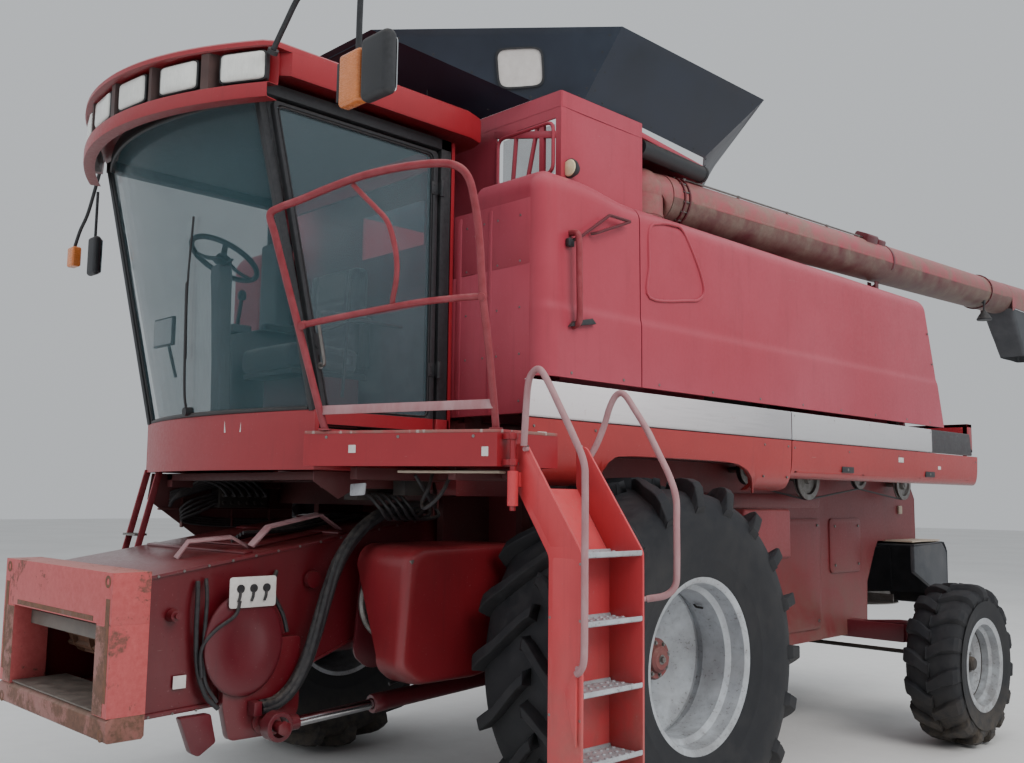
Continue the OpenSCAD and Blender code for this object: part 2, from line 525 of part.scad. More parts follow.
module header_drive() color("maroon") {
  // oval drive cover on the side of the feeder house, with the coupler plate over it
  yz(603, 628) translate([-1810, 985]) scale([1, 1.175]) circle(200);
  box([555, 606], [-1850, -1770], [1008, 1070]);
  box([634, 646], [-1910, -1670], [1146, 1289]);
  box([555, 638], [-1800, -1760], [1235, 1280]);
  // bracket that holds the end of the hose bundle
  box([601, 662], [-1776, -1732], [668, 732]);
  // skid hook under the front corner
  yz(554, 600) polygon([[-2100, 700], [-1950, 700], [-1920, 570], [-2005, 520], [-2040, 540]]);
}
// lift cylinders: s runs along the line from the axle pin to the feeder pin
lift_a = [730, -200, 715]; lift_b = [730, -1700, 630];
lift_tilt = atan2(lift_a[2] - lift_b[2], lift_a[1] - lift_b[1]);
module along_lift() translate(lift_a) rotate([90 + lift_tilt, 0, 0]) children();
lift_len = norm(lift_b - lift_a);
module lift_barrel() color(dark_red) difference() {
  along_lift() difference() {
    union() { translate([0, 0, 56]) cylinder(h = 924, r = 46); translate([0, 0, 30]) cylinder(h = 40, r = 26); rotate([0, 90, 0]) cylinder(h = 58, r = 50, center = true); }
    translate([0, 0, 230]) cylinder(h = 800, r = 27);
  }
  cyl_x(600, 900, lift_a[1], lift_a[2], 26);
}
module lift_rod() color(silver) difference() {
  along_lift() union() { translate([0, 0, 480]) cylinder(h = lift_len - 480 - 50, r = 25); translate([0, 0, lift_len]) rotate([0, 90, 0]) cylinder(h = 70, r = 66, center = true); }
  cyl_x(600, 900, lift_b[1], lift_b[2], 45);
}

// ---------- auger ----------
module along_auger() translate([auger_px, auger_py, auger_z]) rotate([auger_slope - 90, 0, 0]) children();
module end_housing(d, zb) hull() {
  along_auger() translate([0, 0, auger_len - 60]) cylinder(h = 30 + d, r = auger_r + 4 - d, $fn = 32);
  translate([auger_px, 6366, 3636]) sphere(auger_r - 4 - d, $fn = 32);
  box([auger_px - 148 + d, auger_px + 148 - d], [5776 + d, 6516 - d], [zb, zb + 6]);
}
module auger_tube() color(dark_red) {
  difference() {
    union() {
      along_auger() cylinder(h = auger_len, r = auger_r);
      translate([auger_px, auger_py, auger_z]) sphere(auger_r + 7);
      cyl_z(3252, auger_z, auger_px, auger_py, auger_r);
      end_housing(0, 3490);
    }
    end_housing(10, 3430);
    along_auger() translate([0, 0, 4]) cylinder(h = auger_len - 4, r = auger_r - 8);
    cyl_z(3220, auger_z + 30, auger_px, auger_py, auger_r - 18);
  }
  along_auger() for (s = [250, 300, 2600]) translate([0, 0, s]) difference() { cylinder(h = 12, r = auger_r + 14); translate([0, 0, -1]) cylinder(h = 14, r = auger_r - 1); }
}
// rubber boot that hangs from the end housing
module boot(d) hull() {
  box([auger_px - 142 + d, auger_px + 142 - d], [5800 + d, 6506 - d], [3492 + d, 3494 + d]);
  box([auger_px - 125 + d, auger_px + 125 - d], [6135 + d, 6645 - d], [3071 - d / 8, 3073 - d / 8]);
}
module auger_spout() color(rubber) difference() {
  boot(0);
  boot(9);
  end_housing(-1, 3489);
}

// ---------- hose bundle to the header ----------
hose = [[675, -802, 1600], [675, -960, 1600], [672, -1110, 1560], [668, -1240, 1475], [662, -1335, 1350], [655, -1395, 1200],
  [648, -1445, 1040], [641, -1500, 880], [636, -1565, 770], [633, -1645, 712], [632, -1727, 700]];
function tangent(i) = let (a = hose[max(i - 1, 0)], b = hose[min(i + 1, len(hose) - 1)]) (b - a) / norm(b - a);
module header_hose() color(black) {
  n = 8; r = 26;
  pts = [for (i = [0 : len(hose) - 1]) let (t = tangent(i), u = [1, 0, 0], v = cross(t, u)) for (k = [0 : n - 1]) hose[i] + r * (cos(360 * k / n) * u + sin(360 * k / n) * v / norm(v))];
  polyhedron(pts, concat([[for (k = [0 : n - 1]) k]], [for (i = [0 : len(hose) - 2], k = [0 : n - 1]) [i * n + k, (i + 1) * n + k, (i + 1) * n + (k + 1) % n, i * n + (k + 1) % n]],
    [[for (k = [n - 1 : -1 : 0]) (len(hose) - 1) * n + k]]));
}

placed() main_frame();
placed() drive_axle();
placed() separator_housing();
placed() upper_side_panels();
placed() front_side_shields();
placed() front_bulkhead();
placed() grain_tank();
placed() tank_extension();
placed() engine_block();
placed() engine_deck();
placed() spreader_hood();
placed() rear_tail();
placed() steering_axle();
placed() cab_floor();
placed() cab_frame();
placed() cab_roof();
placed() cab_glass();
placed() operator_seat();
placed() steering_column();
placed() control_console();
placed() work_platform();
placed() platform_rails();
placed() mirrors();
placed() drive_shields();
placed() header_hose();
placed() cab_door();
placed() door_glass();
placed() ladder();
placed() ladder_rails();
placed() feeder_house();
placed() feeder_face();
placed() feeder_chain();
placed() header_drive();
placed() lift_barrel();  // lift_barrel_left
placed() mirror([1, 0, 0]) lift_barrel();  // lift_barrel_right
placed() lift_rod();  // lift_rod_left
placed() mirror([1, 0, 0]) lift_rod();  // lift_rod_right
placed() auger_tube();
placed() auger_spout();
placed() front_tyre();  // front_tyre_left
placed() front_rim();  // front_rim_left
placed() mirror([1, 0, 0]) front_tyre();  // front_tyre_right
placed() mirror([1, 0, 0]) front_rim();  // front_rim_right
placed() rear_tyre();  // rear_tyre_left
placed() rear_rim();  // rear_rim_left
placed() mirror([1, 0, 0]) rear_tyre();  // rear_tyre_right
placed() mirror([1, 0, 0]) rear_rim();  // rear_rim_right
placed() knuckle();  // knuckle_left
placed() mirror([1, 0, 0]) knuckle();  // knuckle_right
placed() tie_rod();
placed() rear_shield();  // rear_shield_left
placed() mirror([1, 0, 0]) rear_shield();  // rear_shield_right
placed() spreader_disc();  // spreader_disc_left
placed() mirror([1, 0, 0]) spreader_disc();  // spreader_disc_right
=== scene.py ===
import math
import random
import bpy
import bmesh
from mathutils import Vector, Matrix, noise


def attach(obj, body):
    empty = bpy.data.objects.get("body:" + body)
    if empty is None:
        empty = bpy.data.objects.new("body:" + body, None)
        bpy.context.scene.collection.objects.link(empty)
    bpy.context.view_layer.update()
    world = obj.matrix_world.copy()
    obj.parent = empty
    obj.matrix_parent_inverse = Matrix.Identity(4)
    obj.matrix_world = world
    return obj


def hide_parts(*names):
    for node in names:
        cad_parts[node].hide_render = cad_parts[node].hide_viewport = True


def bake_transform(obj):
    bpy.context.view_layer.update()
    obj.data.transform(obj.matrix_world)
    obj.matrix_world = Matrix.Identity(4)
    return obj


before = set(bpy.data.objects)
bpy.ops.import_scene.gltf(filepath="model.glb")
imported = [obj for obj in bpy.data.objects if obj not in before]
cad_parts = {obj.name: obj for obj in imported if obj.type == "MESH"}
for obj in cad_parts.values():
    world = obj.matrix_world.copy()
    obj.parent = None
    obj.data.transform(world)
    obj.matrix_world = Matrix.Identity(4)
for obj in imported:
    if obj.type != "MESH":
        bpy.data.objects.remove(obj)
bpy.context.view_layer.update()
random.seed(7)

# drawing datum of the machine in the row frame: drive axle at y 0, centre plane at x 0
OFF = Vector((-0.170, -2.1065, 0.070))
scene = bpy.context.scene


# ------------------------------------------------------------------ camera
def make_camera():
    yaw, pitch, roll = 0.79144624, 0.11154483, 0.01205136
    f = Vector((-math.sin(yaw) * math.cos(pitch), math.cos(yaw) * math.cos(pitch), math.sin(pitch)))
    r = Vector((math.cos(yaw), math.sin(yaw), 0))
    u = r.cross(f)
    c, s = math.cos(roll), math.sin(roll)
    r2, u2 = c * r + s * u, -s * r + c * u
    m = Matrix((r2, u2, -f)).transposed()
    data = bpy.data.cameras.new("camera")
    data.sensor_fit = "HORIZONTAL"
    data.sensor_width = 36.0
    data.lens = 36.0 * 1022.675 / 1024.0
    data.clip_start, data.clip_end = 0.05, 200
    cam = bpy.data.objects.new("camera", data)
    cam.location = Vector((4.80447, -4.27474, 1.66328)) + OFF
    cam.rotation_mode = "QUATERNION"
    cam.rotation_quaternion = m.to_quaternion()
    scene.collection.objects.link(cam)
    scene.camera = cam


make_camera()


# ------------------------------------------------------------------ materials
class Tree:
    """Small helper that adds shader nodes and links them."""

    def __init__(self, name):
        self.mat = bpy.data.materials.new(name)
        self.mat.use_nodes = True
        self.n, self.l = self.mat.node_tree.nodes, self.mat.node_tree.links
        self.n.clear()
        self.out = self.n.new("ShaderNodeOutputMaterial")
        self.bsdf = self.n.new("ShaderNodeBsdfPrincipled")
        self.l.new(self.bsdf.outputs[0], self.out.inputs[0])
        self.co = self.n.new("ShaderNodeTexCoord").outputs["Object"]

    def put(self, sock, v):
        if isinstance(v, bpy.types.NodeSocket):
            self.l.new(v, sock)
        elif isinstance(v, (tuple, list)) and len(v) == 3 and sock.type == "RGBA":
            sock.default_value = (*v, 1)
        else:
            sock.default_value = v

    def noise(self, scale, detail=4, rough=0.6, dist=0.0, stretch=None, out="Fac"):
        n = self.n.new("ShaderNodeTexNoise")
        n.inputs["Scale"].default_value = scale
        n.inputs["Detail"].default_value = detail
        n.inputs["Roughness"].default_value = rough
        n.inputs["Distortion"].default_value = dist
        self.l.new(self.scaled(stretch) if stretch else self.co, n.inputs["Vector"])
        return n.outputs[out]

    def scaled(self, s, loc=(0, 0, 0)):
        m = self.n.new("ShaderNodeMapping")
        m.inputs["Scale"].default_value = s
        m.inputs["Location"].default_value = loc
        self.l.new(self.co, m.inputs["Vector"])
        return m.outputs[0]

    def voronoi(self, scale, feature="F1", out="Distance", stretch=None):
        n = self.n.new("ShaderNodeTexVoronoi")
        n.feature = feature
        n.inputs["Scale"].default_value = scale
        self.l.new(self.scaled(stretch) if stretch else self.co, n.inputs["Vector"])
        return n.outputs[out]

    def ramp(self, fac, lo, hi, a=0.0, b=1.0):
        n = self.n.new("ShaderNodeMapRange")
        n.inputs["From Min"].default_value = lo
        n.inputs["From Max"].default_value = hi
        n.inputs["To Min"].default_value = a
        n.inputs["To Max"].default_value = b
        self.put(n.inputs["Value"], fac)
        return n.outputs[0]

    def math(self, op, a, b=0.0, clamp=False):
        n = self.n.new("ShaderNodeMath")
        n.operation = op
        n.use_clamp = clamp
        self.put(n.inputs[0], a)
        self.put(n.inputs[1], b)
        return n.outputs[0]

    def mix(self, fac, a, b, mode="MIX"):
        n = self.n.new("ShaderNodeMix")
        n.data_type = "RGBA"
        n.blend_type = mode
        self.put(n.inputs[0], fac)
        self.put(n.inputs[6], a)
        self.put(n.inputs[7], b)
        return n.outputs[2]

    def axis(self, k, vec=None):
        n = self.n.new("ShaderNodeSeparateXYZ")
        self.l.new(vec or self.co, n.inputs[0])
        return n.outputs[k]

    def normal_z(self):
        g = self.n.new("ShaderNodeNewGeometry")
        return self.axis(2, g.outputs["Normal"])

    def attr(self, name):
        a = self.n.new("ShaderNodeAttribute")
        a.attribute_name = name
        return a.outputs["Fac"]

    def attr_col(self, name):
        a = self.n.new("ShaderNodeAttribute")
        a.attribute_name = name
        return a.outputs["Color"]

    def bump(self, height, strength=0.3, distance=0.01, prev=None):
        b = self.n.new("ShaderNodeBump")
        b.inputs["Strength"].default_value = strength
        b.inputs["Distance"].default_value = distance
        self.put(b.inputs["Height"], height)
        if prev:
            self.l.new(prev, b.inputs["Normal"])
        return b.outputs[0]

    def done(self, color, rough, normal=None, metallic=0.0, **sock):
        self.put(self.bsdf.inputs["Base Color"], color)
        self.put(self.bsdf.inputs["Roughness"], rough)
        self.put(self.bsdf.inputs["Metallic"], metallic)
        if normal is not None:
            self.l.new(normal, self.bsdf.inputs["Normal"])
        for k, v in sock.items():
            self.bsdf.inputs[k.replace("_", " ")].default_value = v
        return self.mat


DUST = (0.30, 0.24, 0.19)
MUD = (0.055, 0.042, 0.033)
RUST = (0.16, 0.06, 0.03)


def paint(name, base, faded, deep, dust=0.35, mud_top=1.2, chips=0.35, gloss=0.36, coat=0.25, fine=1.0):
    """Old painted steel: large bleached areas, blotches, painted shade on what faces down, dust on what faces up, mud
    low down, chips and scratches.
    """
    t = Tree(name)
    big = t.noise(0.55, 3, 0.5, 0.4)
    mid = t.noise(5.5, 6, 0.65, 0.3)
    small = t.noise(46 * fine, 5, 0.7)
    streak = t.noise(3.0, 6, 0.7, 0.1, stretch=(9, 9, 0.55))
    up = t.ramp(t.normal_z(), -0.25, 0.75)
    down = t.ramp(t.normal_z(), -0.2, -0.9)
    fade = t.math("ADD", t.math("MULTIPLY", up, 0.42), t.ramp(big, 0.38, 0.70, 0.0, 0.34), True)
    col = t.mix(fade, base, faded)
    col = t.mix(t.math("MULTIPLY", t.ramp(mid, 0.44, 0.74), 0.16), col, deep)
    # painted shade: faces turned downwards are mixed towards the deep tone
    col = t.mix(t.math("MULTIPLY", down, 0.6), col, deep)
    col = t.mix(t.math("MULTIPLY", t.ramp(streak, 0.55, 0.80), 0.28), col, (deep[0] * 0.6, deep[1] * 0.7 + 0.01, deep[2] * 0.7 + 0.01))
    dustm = t.math("MULTIPLY", t.math("MULTIPLY", t.ramp(small, 0.40, 0.72), t.ramp(t.normal_z(), 0.1, 0.95)), dust)
    col = t.mix(dustm, col, DUST)
    # scratches and stone chips
    scr = t.noise(30, 3, 0.5, 0.0, stretch=(1, 0.22, 3.4))
    chip = t.math("MULTIPLY", t.ramp(scr, 0.735, 0.76), t.ramp(mid, 0.5, 0.6))
    rough_spot = t.math("MULTIPLY", t.ramp(t.noise(110 * fine, 2, 0.5), 0.70, 0.74), t.ramp(big, 0.46, 0.6))
    worn = t.math("MULTIPLY", t.math("MAXIMUM", chip, rough_spot), chips)
    col = t.mix(worn, col, (0.34, 0.26, 0.24))
    # mud and dust rising from the ground
    low = t.ramp(t.axis(2), mud_top, 0.12)
    mudm = t.math("MULTIPLY", t.math("MULTIPLY", low, t.ramp(mid, 0.30, 0.62)), 0.75)
    col = t.mix(mudm, col, t.mix(small, MUD, DUST))
    r = t.ramp(small, 0.3, 0.8, gloss, gloss + 0.22)
    r = t.math("ADD", r, t.math("MULTIPLY", t.math("ADD", dustm, mudm), 0.35), True)
    nb = t.bump(t.noise(1.6, 2, 0.5), 0.5, 0.02)
    nb = t.bump(t.noise(240 * fine, 2, 0.5), 0.06, 0.001, nb)
    nb = t.bump(t.math("ADD", worn, t.math("MULTIPLY", mudm, t.noise(60, 4, 0.7))), 0.25, 0.002, nb)
    return t.done(col, r, nb, 0.0, Coat_Weight=coat, Coat_Roughness=0.32)


def simple(name, base, base2, rough=(0.4, 0.7), scale=20, bump=0.15, dist=0.002, metallic=0.0, dust=0.3, mud_top=0.0, stretch=None, **k):
    """Plain material with two mixed tones, dust above, uneven gloss and a fine relief."""
    t = Tree(name)
    a = t.noise(scale, 6, 0.65, 0.2, stretch=stretch)
    b = t.noise(scale * 0.13, 4, 0.6)
    col = t.mix(t.ramp(a, 0.3, 0.7), base, base2)
    col = t.mix(t.math("MULTIPLY", t.ramp(b, 0.4, 0.7), 0.3), col, (base[0] * 0.5, base[1] * 0.5, base[2] * 0.5))
    dm = t.math("MULTIPLY", t.math("MULTIPLY", t.ramp(t.normal_z(), 0.0, 1.0), t.ramp(a, 0.35, 0.75)), dust)
    col = t.mix(dm, col, DUST)
    if mud_top:
        mm = t.math("MULTIPLY", t.math("MULTIPLY", t.ramp(t.axis(2), mud_top, 0.1), t.ramp(b, 0.3, 0.6)), 0.7)
        col = t.mix(mm, col, MUD)
    r = t.math("ADD", t.ramp(a, 0.25, 0.8, rough[0], rough[1]), t.math("MULTIPLY", dm, 0.3), True)
    nb = t.bump(t.noise(scale * 4, 4, 0.6), bump, dist)
    return t.done(col, r, nb, metallic, **k)


def rubber_mat(name):
    t = Tree(name)
    a = t.noise(14, 8, 0.7)
    b = t.noise(2.2, 4, 0.6, 0.5)
    c = t.noise(120, 3, 0.6)
    col = t.mix(t.ramp(a, 0.3, 0.7), (0.009, 0.0095, 0.012), (0.019, 0.020, 0.023))
    dustm = t.math("MULTIPLY", t.ramp(t.math("ADD", t.math("MULTIPLY", b, 0.5), t.math("MULTIPLY", a, 0.5)), 0.45, 0.72), 0.26)
    col = t.mix(dustm, col, (0.075, 0.068, 0.062))
    low = t.math("MULTIPLY", t.ramp(t.axis(2), 0.42, 0.02), t.ramp(a, 0.34, 0.6))
    col = t.mix(t.math("MULTIPLY", low, 0.85), col, (0.105, 0.085, 0.065))
    r = t.ramp(a, 0.3, 0.75, 0.62, 0.9)
    nb = t.bump(a, 0.35, 0.004)
    nb = t.bump(c, 0.25, 0.0012, nb)
    return t.done(col, r, nb, 0.0)


def rim_mat(name):
    t = Tree(name)
    a = t.noise(9, 6, 0.65, 0.3)
    b = t.noise(70, 4, 0.6)
    c = t.noise(2.5, 4, 0.6)
    col = t.mix(t.ramp(a, 0.35, 0.7), (0.50, 0.53, 0.56), (0.36, 0.38, 0.41))
    col = t.mix(t.math("MULTIPLY", t.ramp(c, 0.42, 0.66), 0.5), col, (0.20, 0.19, 0.185))
    stain = t.math("MULTIPLY", t.ramp(b, 0.58, 0.70), t.ramp(a, 0.42, 0.56))
    col = t.mix(t.math("MULTIPLY", stain, 0.65), col, (0.12, 0.085, 0.06))
    low = t.math("MULTIPLY", t.ramp(t.axis(2), 0.75, 0.25), t.ramp(a, 0.35, 0.55))
    col = t.mix(t.math("MULTIPLY", low, 0.5), col, (0.13, 0.105, 0.08))
    r = t.math("ADD", t.ramp(b, 0.3, 0.7, 0.34, 0.52), t.math("MULTIPLY", stain, 0.3), True)
    nb = t.bump(t.noise(200, 2, 0.5), 0.08, 0.001)
    nb = t.bump(stain, 0.2, 0.002, nb)
    return t.done(col, r, nb, 0.35)


def glass_mat(name, tint=(0.42, 0.66, 0.68), alpha=0.30):
    """Tinted cab glass: a smoky transparent pane with a clear reflection and patches of dust."""
    t = Tree(name)
    dustn = t.math("MULTIPLY", t.ramp(t.noise(2.2, 5, 0.6, 0.4), 0.45, 0.80), 0.07)
    fine = t.ramp(t.noise(60, 3, 0.6), 0.5, 0.9, 0, 0.02)
    film = t.math("ADD", dustn, fine, True)
    col = t.mix(film, (tint[0] * 0.035, tint[1] * 0.15, tint[2] * 0.18), (0.55, 0.60, 0.60))
    t.done(col, t.ramp(film, 0, 0.25, 0.03, 0.22), None, 0.0, IOR=1.5, Specular_IOR_Level=0.5)
    t.put(t.bsdf.inputs["Alpha"], t.ramp(film, 0.0, 0.3, alpha, min(1, alpha + 0.3)))
    t.mat.surface_render_method = "BLENDED"
    return t.mat


def stripe_mat(name):
    """Reflective stripe along the belt: white in front, worn to grey, then black, by distance along the machine."""
    t = Tree(name)
    y = t.math("SUBTRACT", t.axis(1), OFF.y)
    a = t.noise(26, 6, 0.7, 0.2)
    s = t.noise(12, 5, 0.7, 0.1, stretch=(1, 0.25, 6))
    white, grey, lead, black = (0.62, 0.585, 0.60), (0.33, 0.325, 0.34), (0.40, 0.40, 0.415), (0.022, 0.019, 0.022)
    col = t.mix(t.ramp(t.math("ADD", y, t.math("MULTIPLY", t.math("SUBTRACT", s, 0.5), 0.8)), -0.30, 1.25), white, grey)
    col = t.mix(t.ramp(y, 1.452, 1.456), col, lead)
    col = t.mix(t.ramp(y, 3.515, 3.525), col, black)
    dirt = t.math("MULTIPLY", t.ramp(s, 0.55, 0.85), 0.22)
    col = t.mix(dirt, col, (0.16, 0.13, 0.13))
    col = t.mix(t.math("MULTIPLY", t.ramp(a, 0.62, 0.70), 0.3), col, (0.30, 0.10, 0.10))
    return t.done(col, t.ramp(a, 0.3, 0.7, 0.28, 0.5), t.bump(t.noise(90, 3, 0.6), 0.1, 0.001), 0.0, Coat_Weight=0.2, Coat_Roughness=0.3)


def rusty(name, base=(0.20, 0.085, 0.06), paintc=(0.36, 0.10, 0.10), amount=0.5):
    """Steel with paint worn off by crop and weather."""
    t = Tree(name)
    a = t.noise(4.5, 8, 0.7, 0.6)
    b = t.noise(38, 6, 0.7)
    m = t.ramp(t.math("ADD", t.math("MULTIPLY", a, 0.75), t.math("MULTIPLY", b, 0.25)), 0.5 - amount * 0.16, 0.56 - amount * 0.1)
    col = t.mix(m, t.mix(t.ramp(b, 0.3, 0.7), paintc, (paintc[0] * 1.25, paintc[1] * 1.6, paintc[2] * 1.6)), t.mix(t.ramp(b, 0.35, 0.7), base, (0.10, 0.055, 0.04)))
    col = t.mix(t.math("MULTIPLY", t.ramp(t.normal_z(), 0.2, 1), 0.35), col, DUST)
    r = t.ramp(m, 0, 1, 0.5, 0.85)
    nb = t.bump(b, 0.4, 0.003)
    nb = t.bump(m, 0.3, 0.002, nb)
    return t.done(col, r, nb, 0.0)


M = {}
M["panel"] = paint("panel_red_paint", (0.310, 0.024, 0.042), (0.42, 0.098, 0.138), (0.17, 0.009, 0.015), dust=0.18, mud_top=0.6)
M["cabred"] = paint("cab_red_paint", (0.235, 0.008, 0.013), (0.31, 0.028, 0.038), (0.12, 0.004, 0.007), dust=0.14, mud_top=0.6, chips=0.3, gloss=0.32, coat=0.35)
# red paint darkened as painted shade, for the drive cover that lies in shade under the cab
M["deepred"] = paint("red_paint_painted_shade", (0.150, 0.006, 0.010), (0.24, 0.020, 0.028), (0.060, 0.003, 0.005), dust=0.14, mud_top=0.45, chips=0.35, gloss=0.30, coat=0.45)
# very dark copy of the red paint for the feeder house, darkened as painted shade under the cab
M["feedred"] = paint("feeder_red_painted_shade", (0.088, 0.003, 0.007), (0.130, 0.008, 0.014), (0.036, 0.002, 0.003), dust=0.16, mud_top=0.40, chips=0.5, gloss=0.26, coat=0.5)
M["shield"] = paint("shield_red_paint", (0.28, 0.012, 0.012), (0.36, 0.042, 0.044), (0.13, 0.005, 0.007), dust=0.22, mud_top=1.0, chips=0.4, gloss=0.30, coat=0.4)
M["body"] = paint("body_red_paint", (0.155, 0.014, 0.018), (0.23, 0.046, 0.052), (0.075, 0.006, 0.009), dust=0.35, mud_top=1.5, chips=0.4, gloss=0.42)
M["ladder"] = paint("ladder_red_paint", (0.50, 0.035, 0.042), (0.50, 0.080, 0.090), (0.28, 0.014, 0.020), dust=0.28, mud_top=1.3, chips=0.7)
M["frame"] = paint("frame_dark_red_paint", (0.075, 0.010, 0.013), (0.12, 0.028, 0.030), (0.035, 0.005, 0.007), dust=0.45, mud_top=2.0, chips=0.35, gloss=0.5, coat=0.1)
M["auger"] = paint("auger_red_paint", (0.285, 0.024, 0.044), (0.36, 0.068, 0.096), (0.14, 0.010, 0.018), dust=0.04, mud_top=0.1, chips=0.3)
# darker copy of the auger paint for the lower half of the tube: painted shade
M["auger_underside_shade"] = paint("auger_underside_painted_shade", (0.092, 0.008, 0.016), (0.120, 0.016, 0.026), (0.055, 0.005, 0.010), dust=0.0, mud_top=0.1, chips=0.12, gloss=0.45)
M["maroon"] = paint("maroon_guard_paint", (0.078, 0.004, 0.009), (0.115, 0.012, 0.019), (0.030, 0.002, 0.004), dust=0.12, mud_top=0.35, gloss=0.3, coat=0.4)
M["ext"] = simple("extension_black_paint", (0.008, 0.012, 0.022), (0.016, 0.023, 0.038), (0.34, 0.55), 3.0, 0.08, 0.003, dust=0.12, Coat_Weight=0.15, Coat_Roughness=0.35)
M["plastic"] = simple("dark_plastic", (0.016, 0.017, 0.019), (0.035, 0.036, 0.040), (0.42, 0.65), 60, 0.2, 0.0008, dust=0.25)
M["grey_plastic"] = simple("grey_plastic", (0.085, 0.09, 0.10), (0.13, 0.135, 0.145), (0.45, 0.65), 70, 0.2, 0.0008, dust=0.2)
M["chassis"] = simple("chassis_black_paint", (0.018, 0.016, 0.016), (0.05, 0.042, 0.036), (0.5, 0.8), 8, 0.3, 0.003, dust=0.5, mud_top=1.2)
M["hood"] = simple("deflector_rubber_sheet", (0.040, 0.044, 0.052), (0.078, 0.082, 0.090), (0.5, 0.75), 9, 0.25, 0.003, dust=0.5)
M["tan"] = simple("bleached_straw_board", (0.42, 0.34, 0.26), (0.55, 0.47, 0.38), (0.6, 0.85), 16, 0.3, 0.002, dust=0.3)
M["tyre"] = rubber_mat("tyre_rubber_dusty")
M["rim"] = rim_mat("rim_silver_paint")
M["throat"] = simple("throat_worn_plate", (0.085, 0.072, 0.062), (0.15, 0.128, 0.112), (0.45, 0.7), 14, 0.2, 0.002, dust=0.3)
M["glass"] = glass_mat("cab_tinted_glass", (0.95, 0.60, 0.60), 0.28)
M["glass_door"] = glass_mat("door_tinted_glass", (2.7, 0.95, 0.92), 0.25)
M["stripe"] = stripe_mat("belt_stripe")
M["rust"] = rusty("feeder_worn_steel")
M["rust2"] = rusty("chain_rusty_steel", (0.17, 0.08, 0.045), (0.12, 0.055, 0.04), 1.0)
M["facepaint"] = rusty("feeder_face_faded_paint", (0.27, 0.085, 0.075), (0.37, 0.062, 0.062), -0.30)
M["sill"] = rusty("feeder_sill_worn_paint", (0.17, 0.085, 0.06), (0.21, 0.075, 0.062), 0.25)
M["steel"] = simple("bare_steel", (0.30, 0.29, 0.28), (0.20, 0.185, 0.17), (0.3, 0.55), 30, 0.15, 0.001, metallic=0.85, dust=0.35)
M["chrome"] = simple("polished_rod", (0.62, 0.62, 0.63), (0.52, 0.52, 0.53), (0.12, 0.22), 30, 0.03, 0.0005, metallic=1.0, dust=0.1)
M["rail"] = simple("handrail_worn_paint", (0.30, 0.135, 0.145), (0.38, 0.235, 0.245), (0.36, 0.6), 18, 0.2, 0.001, dust=0.2, stretch=(1, 1, 0.3))
M["railred"] = simple("rail_red_paint", (0.20, 0.018, 0.026), (0.26, 0.048, 0.060), (0.35, 0.55), 22, 0.15, 0.001, dust=0.3)
M["hose"] = simple("hose_rubber", (0.012, 0.012, 0.014), (0.030, 0.030, 0.033), (0.38, 0.6), 40, 0.2, 0.001, dust=0.35)
M["lens"] = simple("lamp_lens_clear", (0.62, 0.63, 0.60), (0.78, 0.78, 0.74), (0.12, 0.28), 50, 0.4, 0.002, dust=0.12, stretch=(6, 6, 0.4), Coat_Weight=0.6)
M["lens_warm"] = simple("lamp_lens_warm", (0.60, 0.50, 0.30), (0.74, 0.64, 0.42), (0.12, 0.28), 50, 0.4, 0.002, dust=0.12, stretch=(6, 6, 0.4), Coat_Weight=0.6)
M["amber"] = simple("amber_lens", (0.50, 0.13, 0.025), (0.62, 0.20, 0.05), (0.18, 0.35), 60, 0.5, 0.002, dust=0.2, stretch=(1, 1, 6), Coat_Weight=0.5)
M["redlens"] = simple("red_lens", (0.30, 0.010, 0.012), (0.42, 0.03, 0.03), (0.15, 0.35), 60, 0.5, 0.002, dust=0.2, stretch=(1, 1, 5), Coat_Weight=0.5)
M["white"] = simple("blank_white_plate", (0.62, 0.60, 0.58), (0.50, 0.47, 0.45), (0.3, 0.5), 22, 0.1, 0.001, dust=0.3)
# brown painted shade for the inside of the lamp recesses
M["recess"] = simple("lamp_recess_painted_shade", (0.048, 0.026, 0.024), (0.075, 0.040, 0.036), (0.4, 0.6), 14, 0.1, 0.001, dust=0.3)
M["mirror"] = simple("mirror_glass", (0.75, 0.77, 0.78), (0.68, 0.70, 0.71), (0.02, 0.08), 9, 0.0, 0.0005, metallic=1.0, dust=0.05)
M["liner"] = simple("cab_headliner", (0.10, 0.11, 0.12), (0.15, 0.16, 0.17), (0.8, 0.95), 120, 0.5, 0.002, dust=0.0)
M["mat"] = simple("floor_mat_rubber", (0.022, 0.022, 0.024), (0.05, 0.046, 0.042), (0.6, 0.85), 40, 0.4, 0.002, dust=0.6)


def fabric_mat():
    """Woven seat cloth: fine crossed threads over a mottled charcoal, lighter in patches."""
    t = Tree("seat_cloth")
    w1 = t.n.new("ShaderNodeTexWave"); w1.inputs["Scale"].default_value = 170; w1.inputs["Distortion"].default_value = 0.4
    t.l.new(t.co, w1.inputs["Vector"]); w1.bands_direction = "X"
    w2 = t.n.new("ShaderNodeTexWave"); w2.inputs["Scale"].default_value = 170; w2.inputs["Distortion"].default_value = 0.4
    t.l.new(t.co, w2.inputs["Vector"]); w2.bands_direction = "Z"
    weave = t.math("MULTIPLY", w1.outputs[1], w2.outputs[1])
    a = t.noise(7, 5, 0.6)
    col = t.mix(weave, (0.022, 0.025, 0.032), (0.085, 0.092, 0.105))
    col = t.mix(t.math("MULTIPLY", t.ramp(a, 0.4, 0.7), 0.4), col, (0.14, 0.13, 0.12))
    return t.done(col, 0.88, t.bump(weave, 0.5, 0.0015), 0.0, Sheen_Weight=0.3, Sheen_Roughness=0.5)


M["cloth"] = fabric_mat()


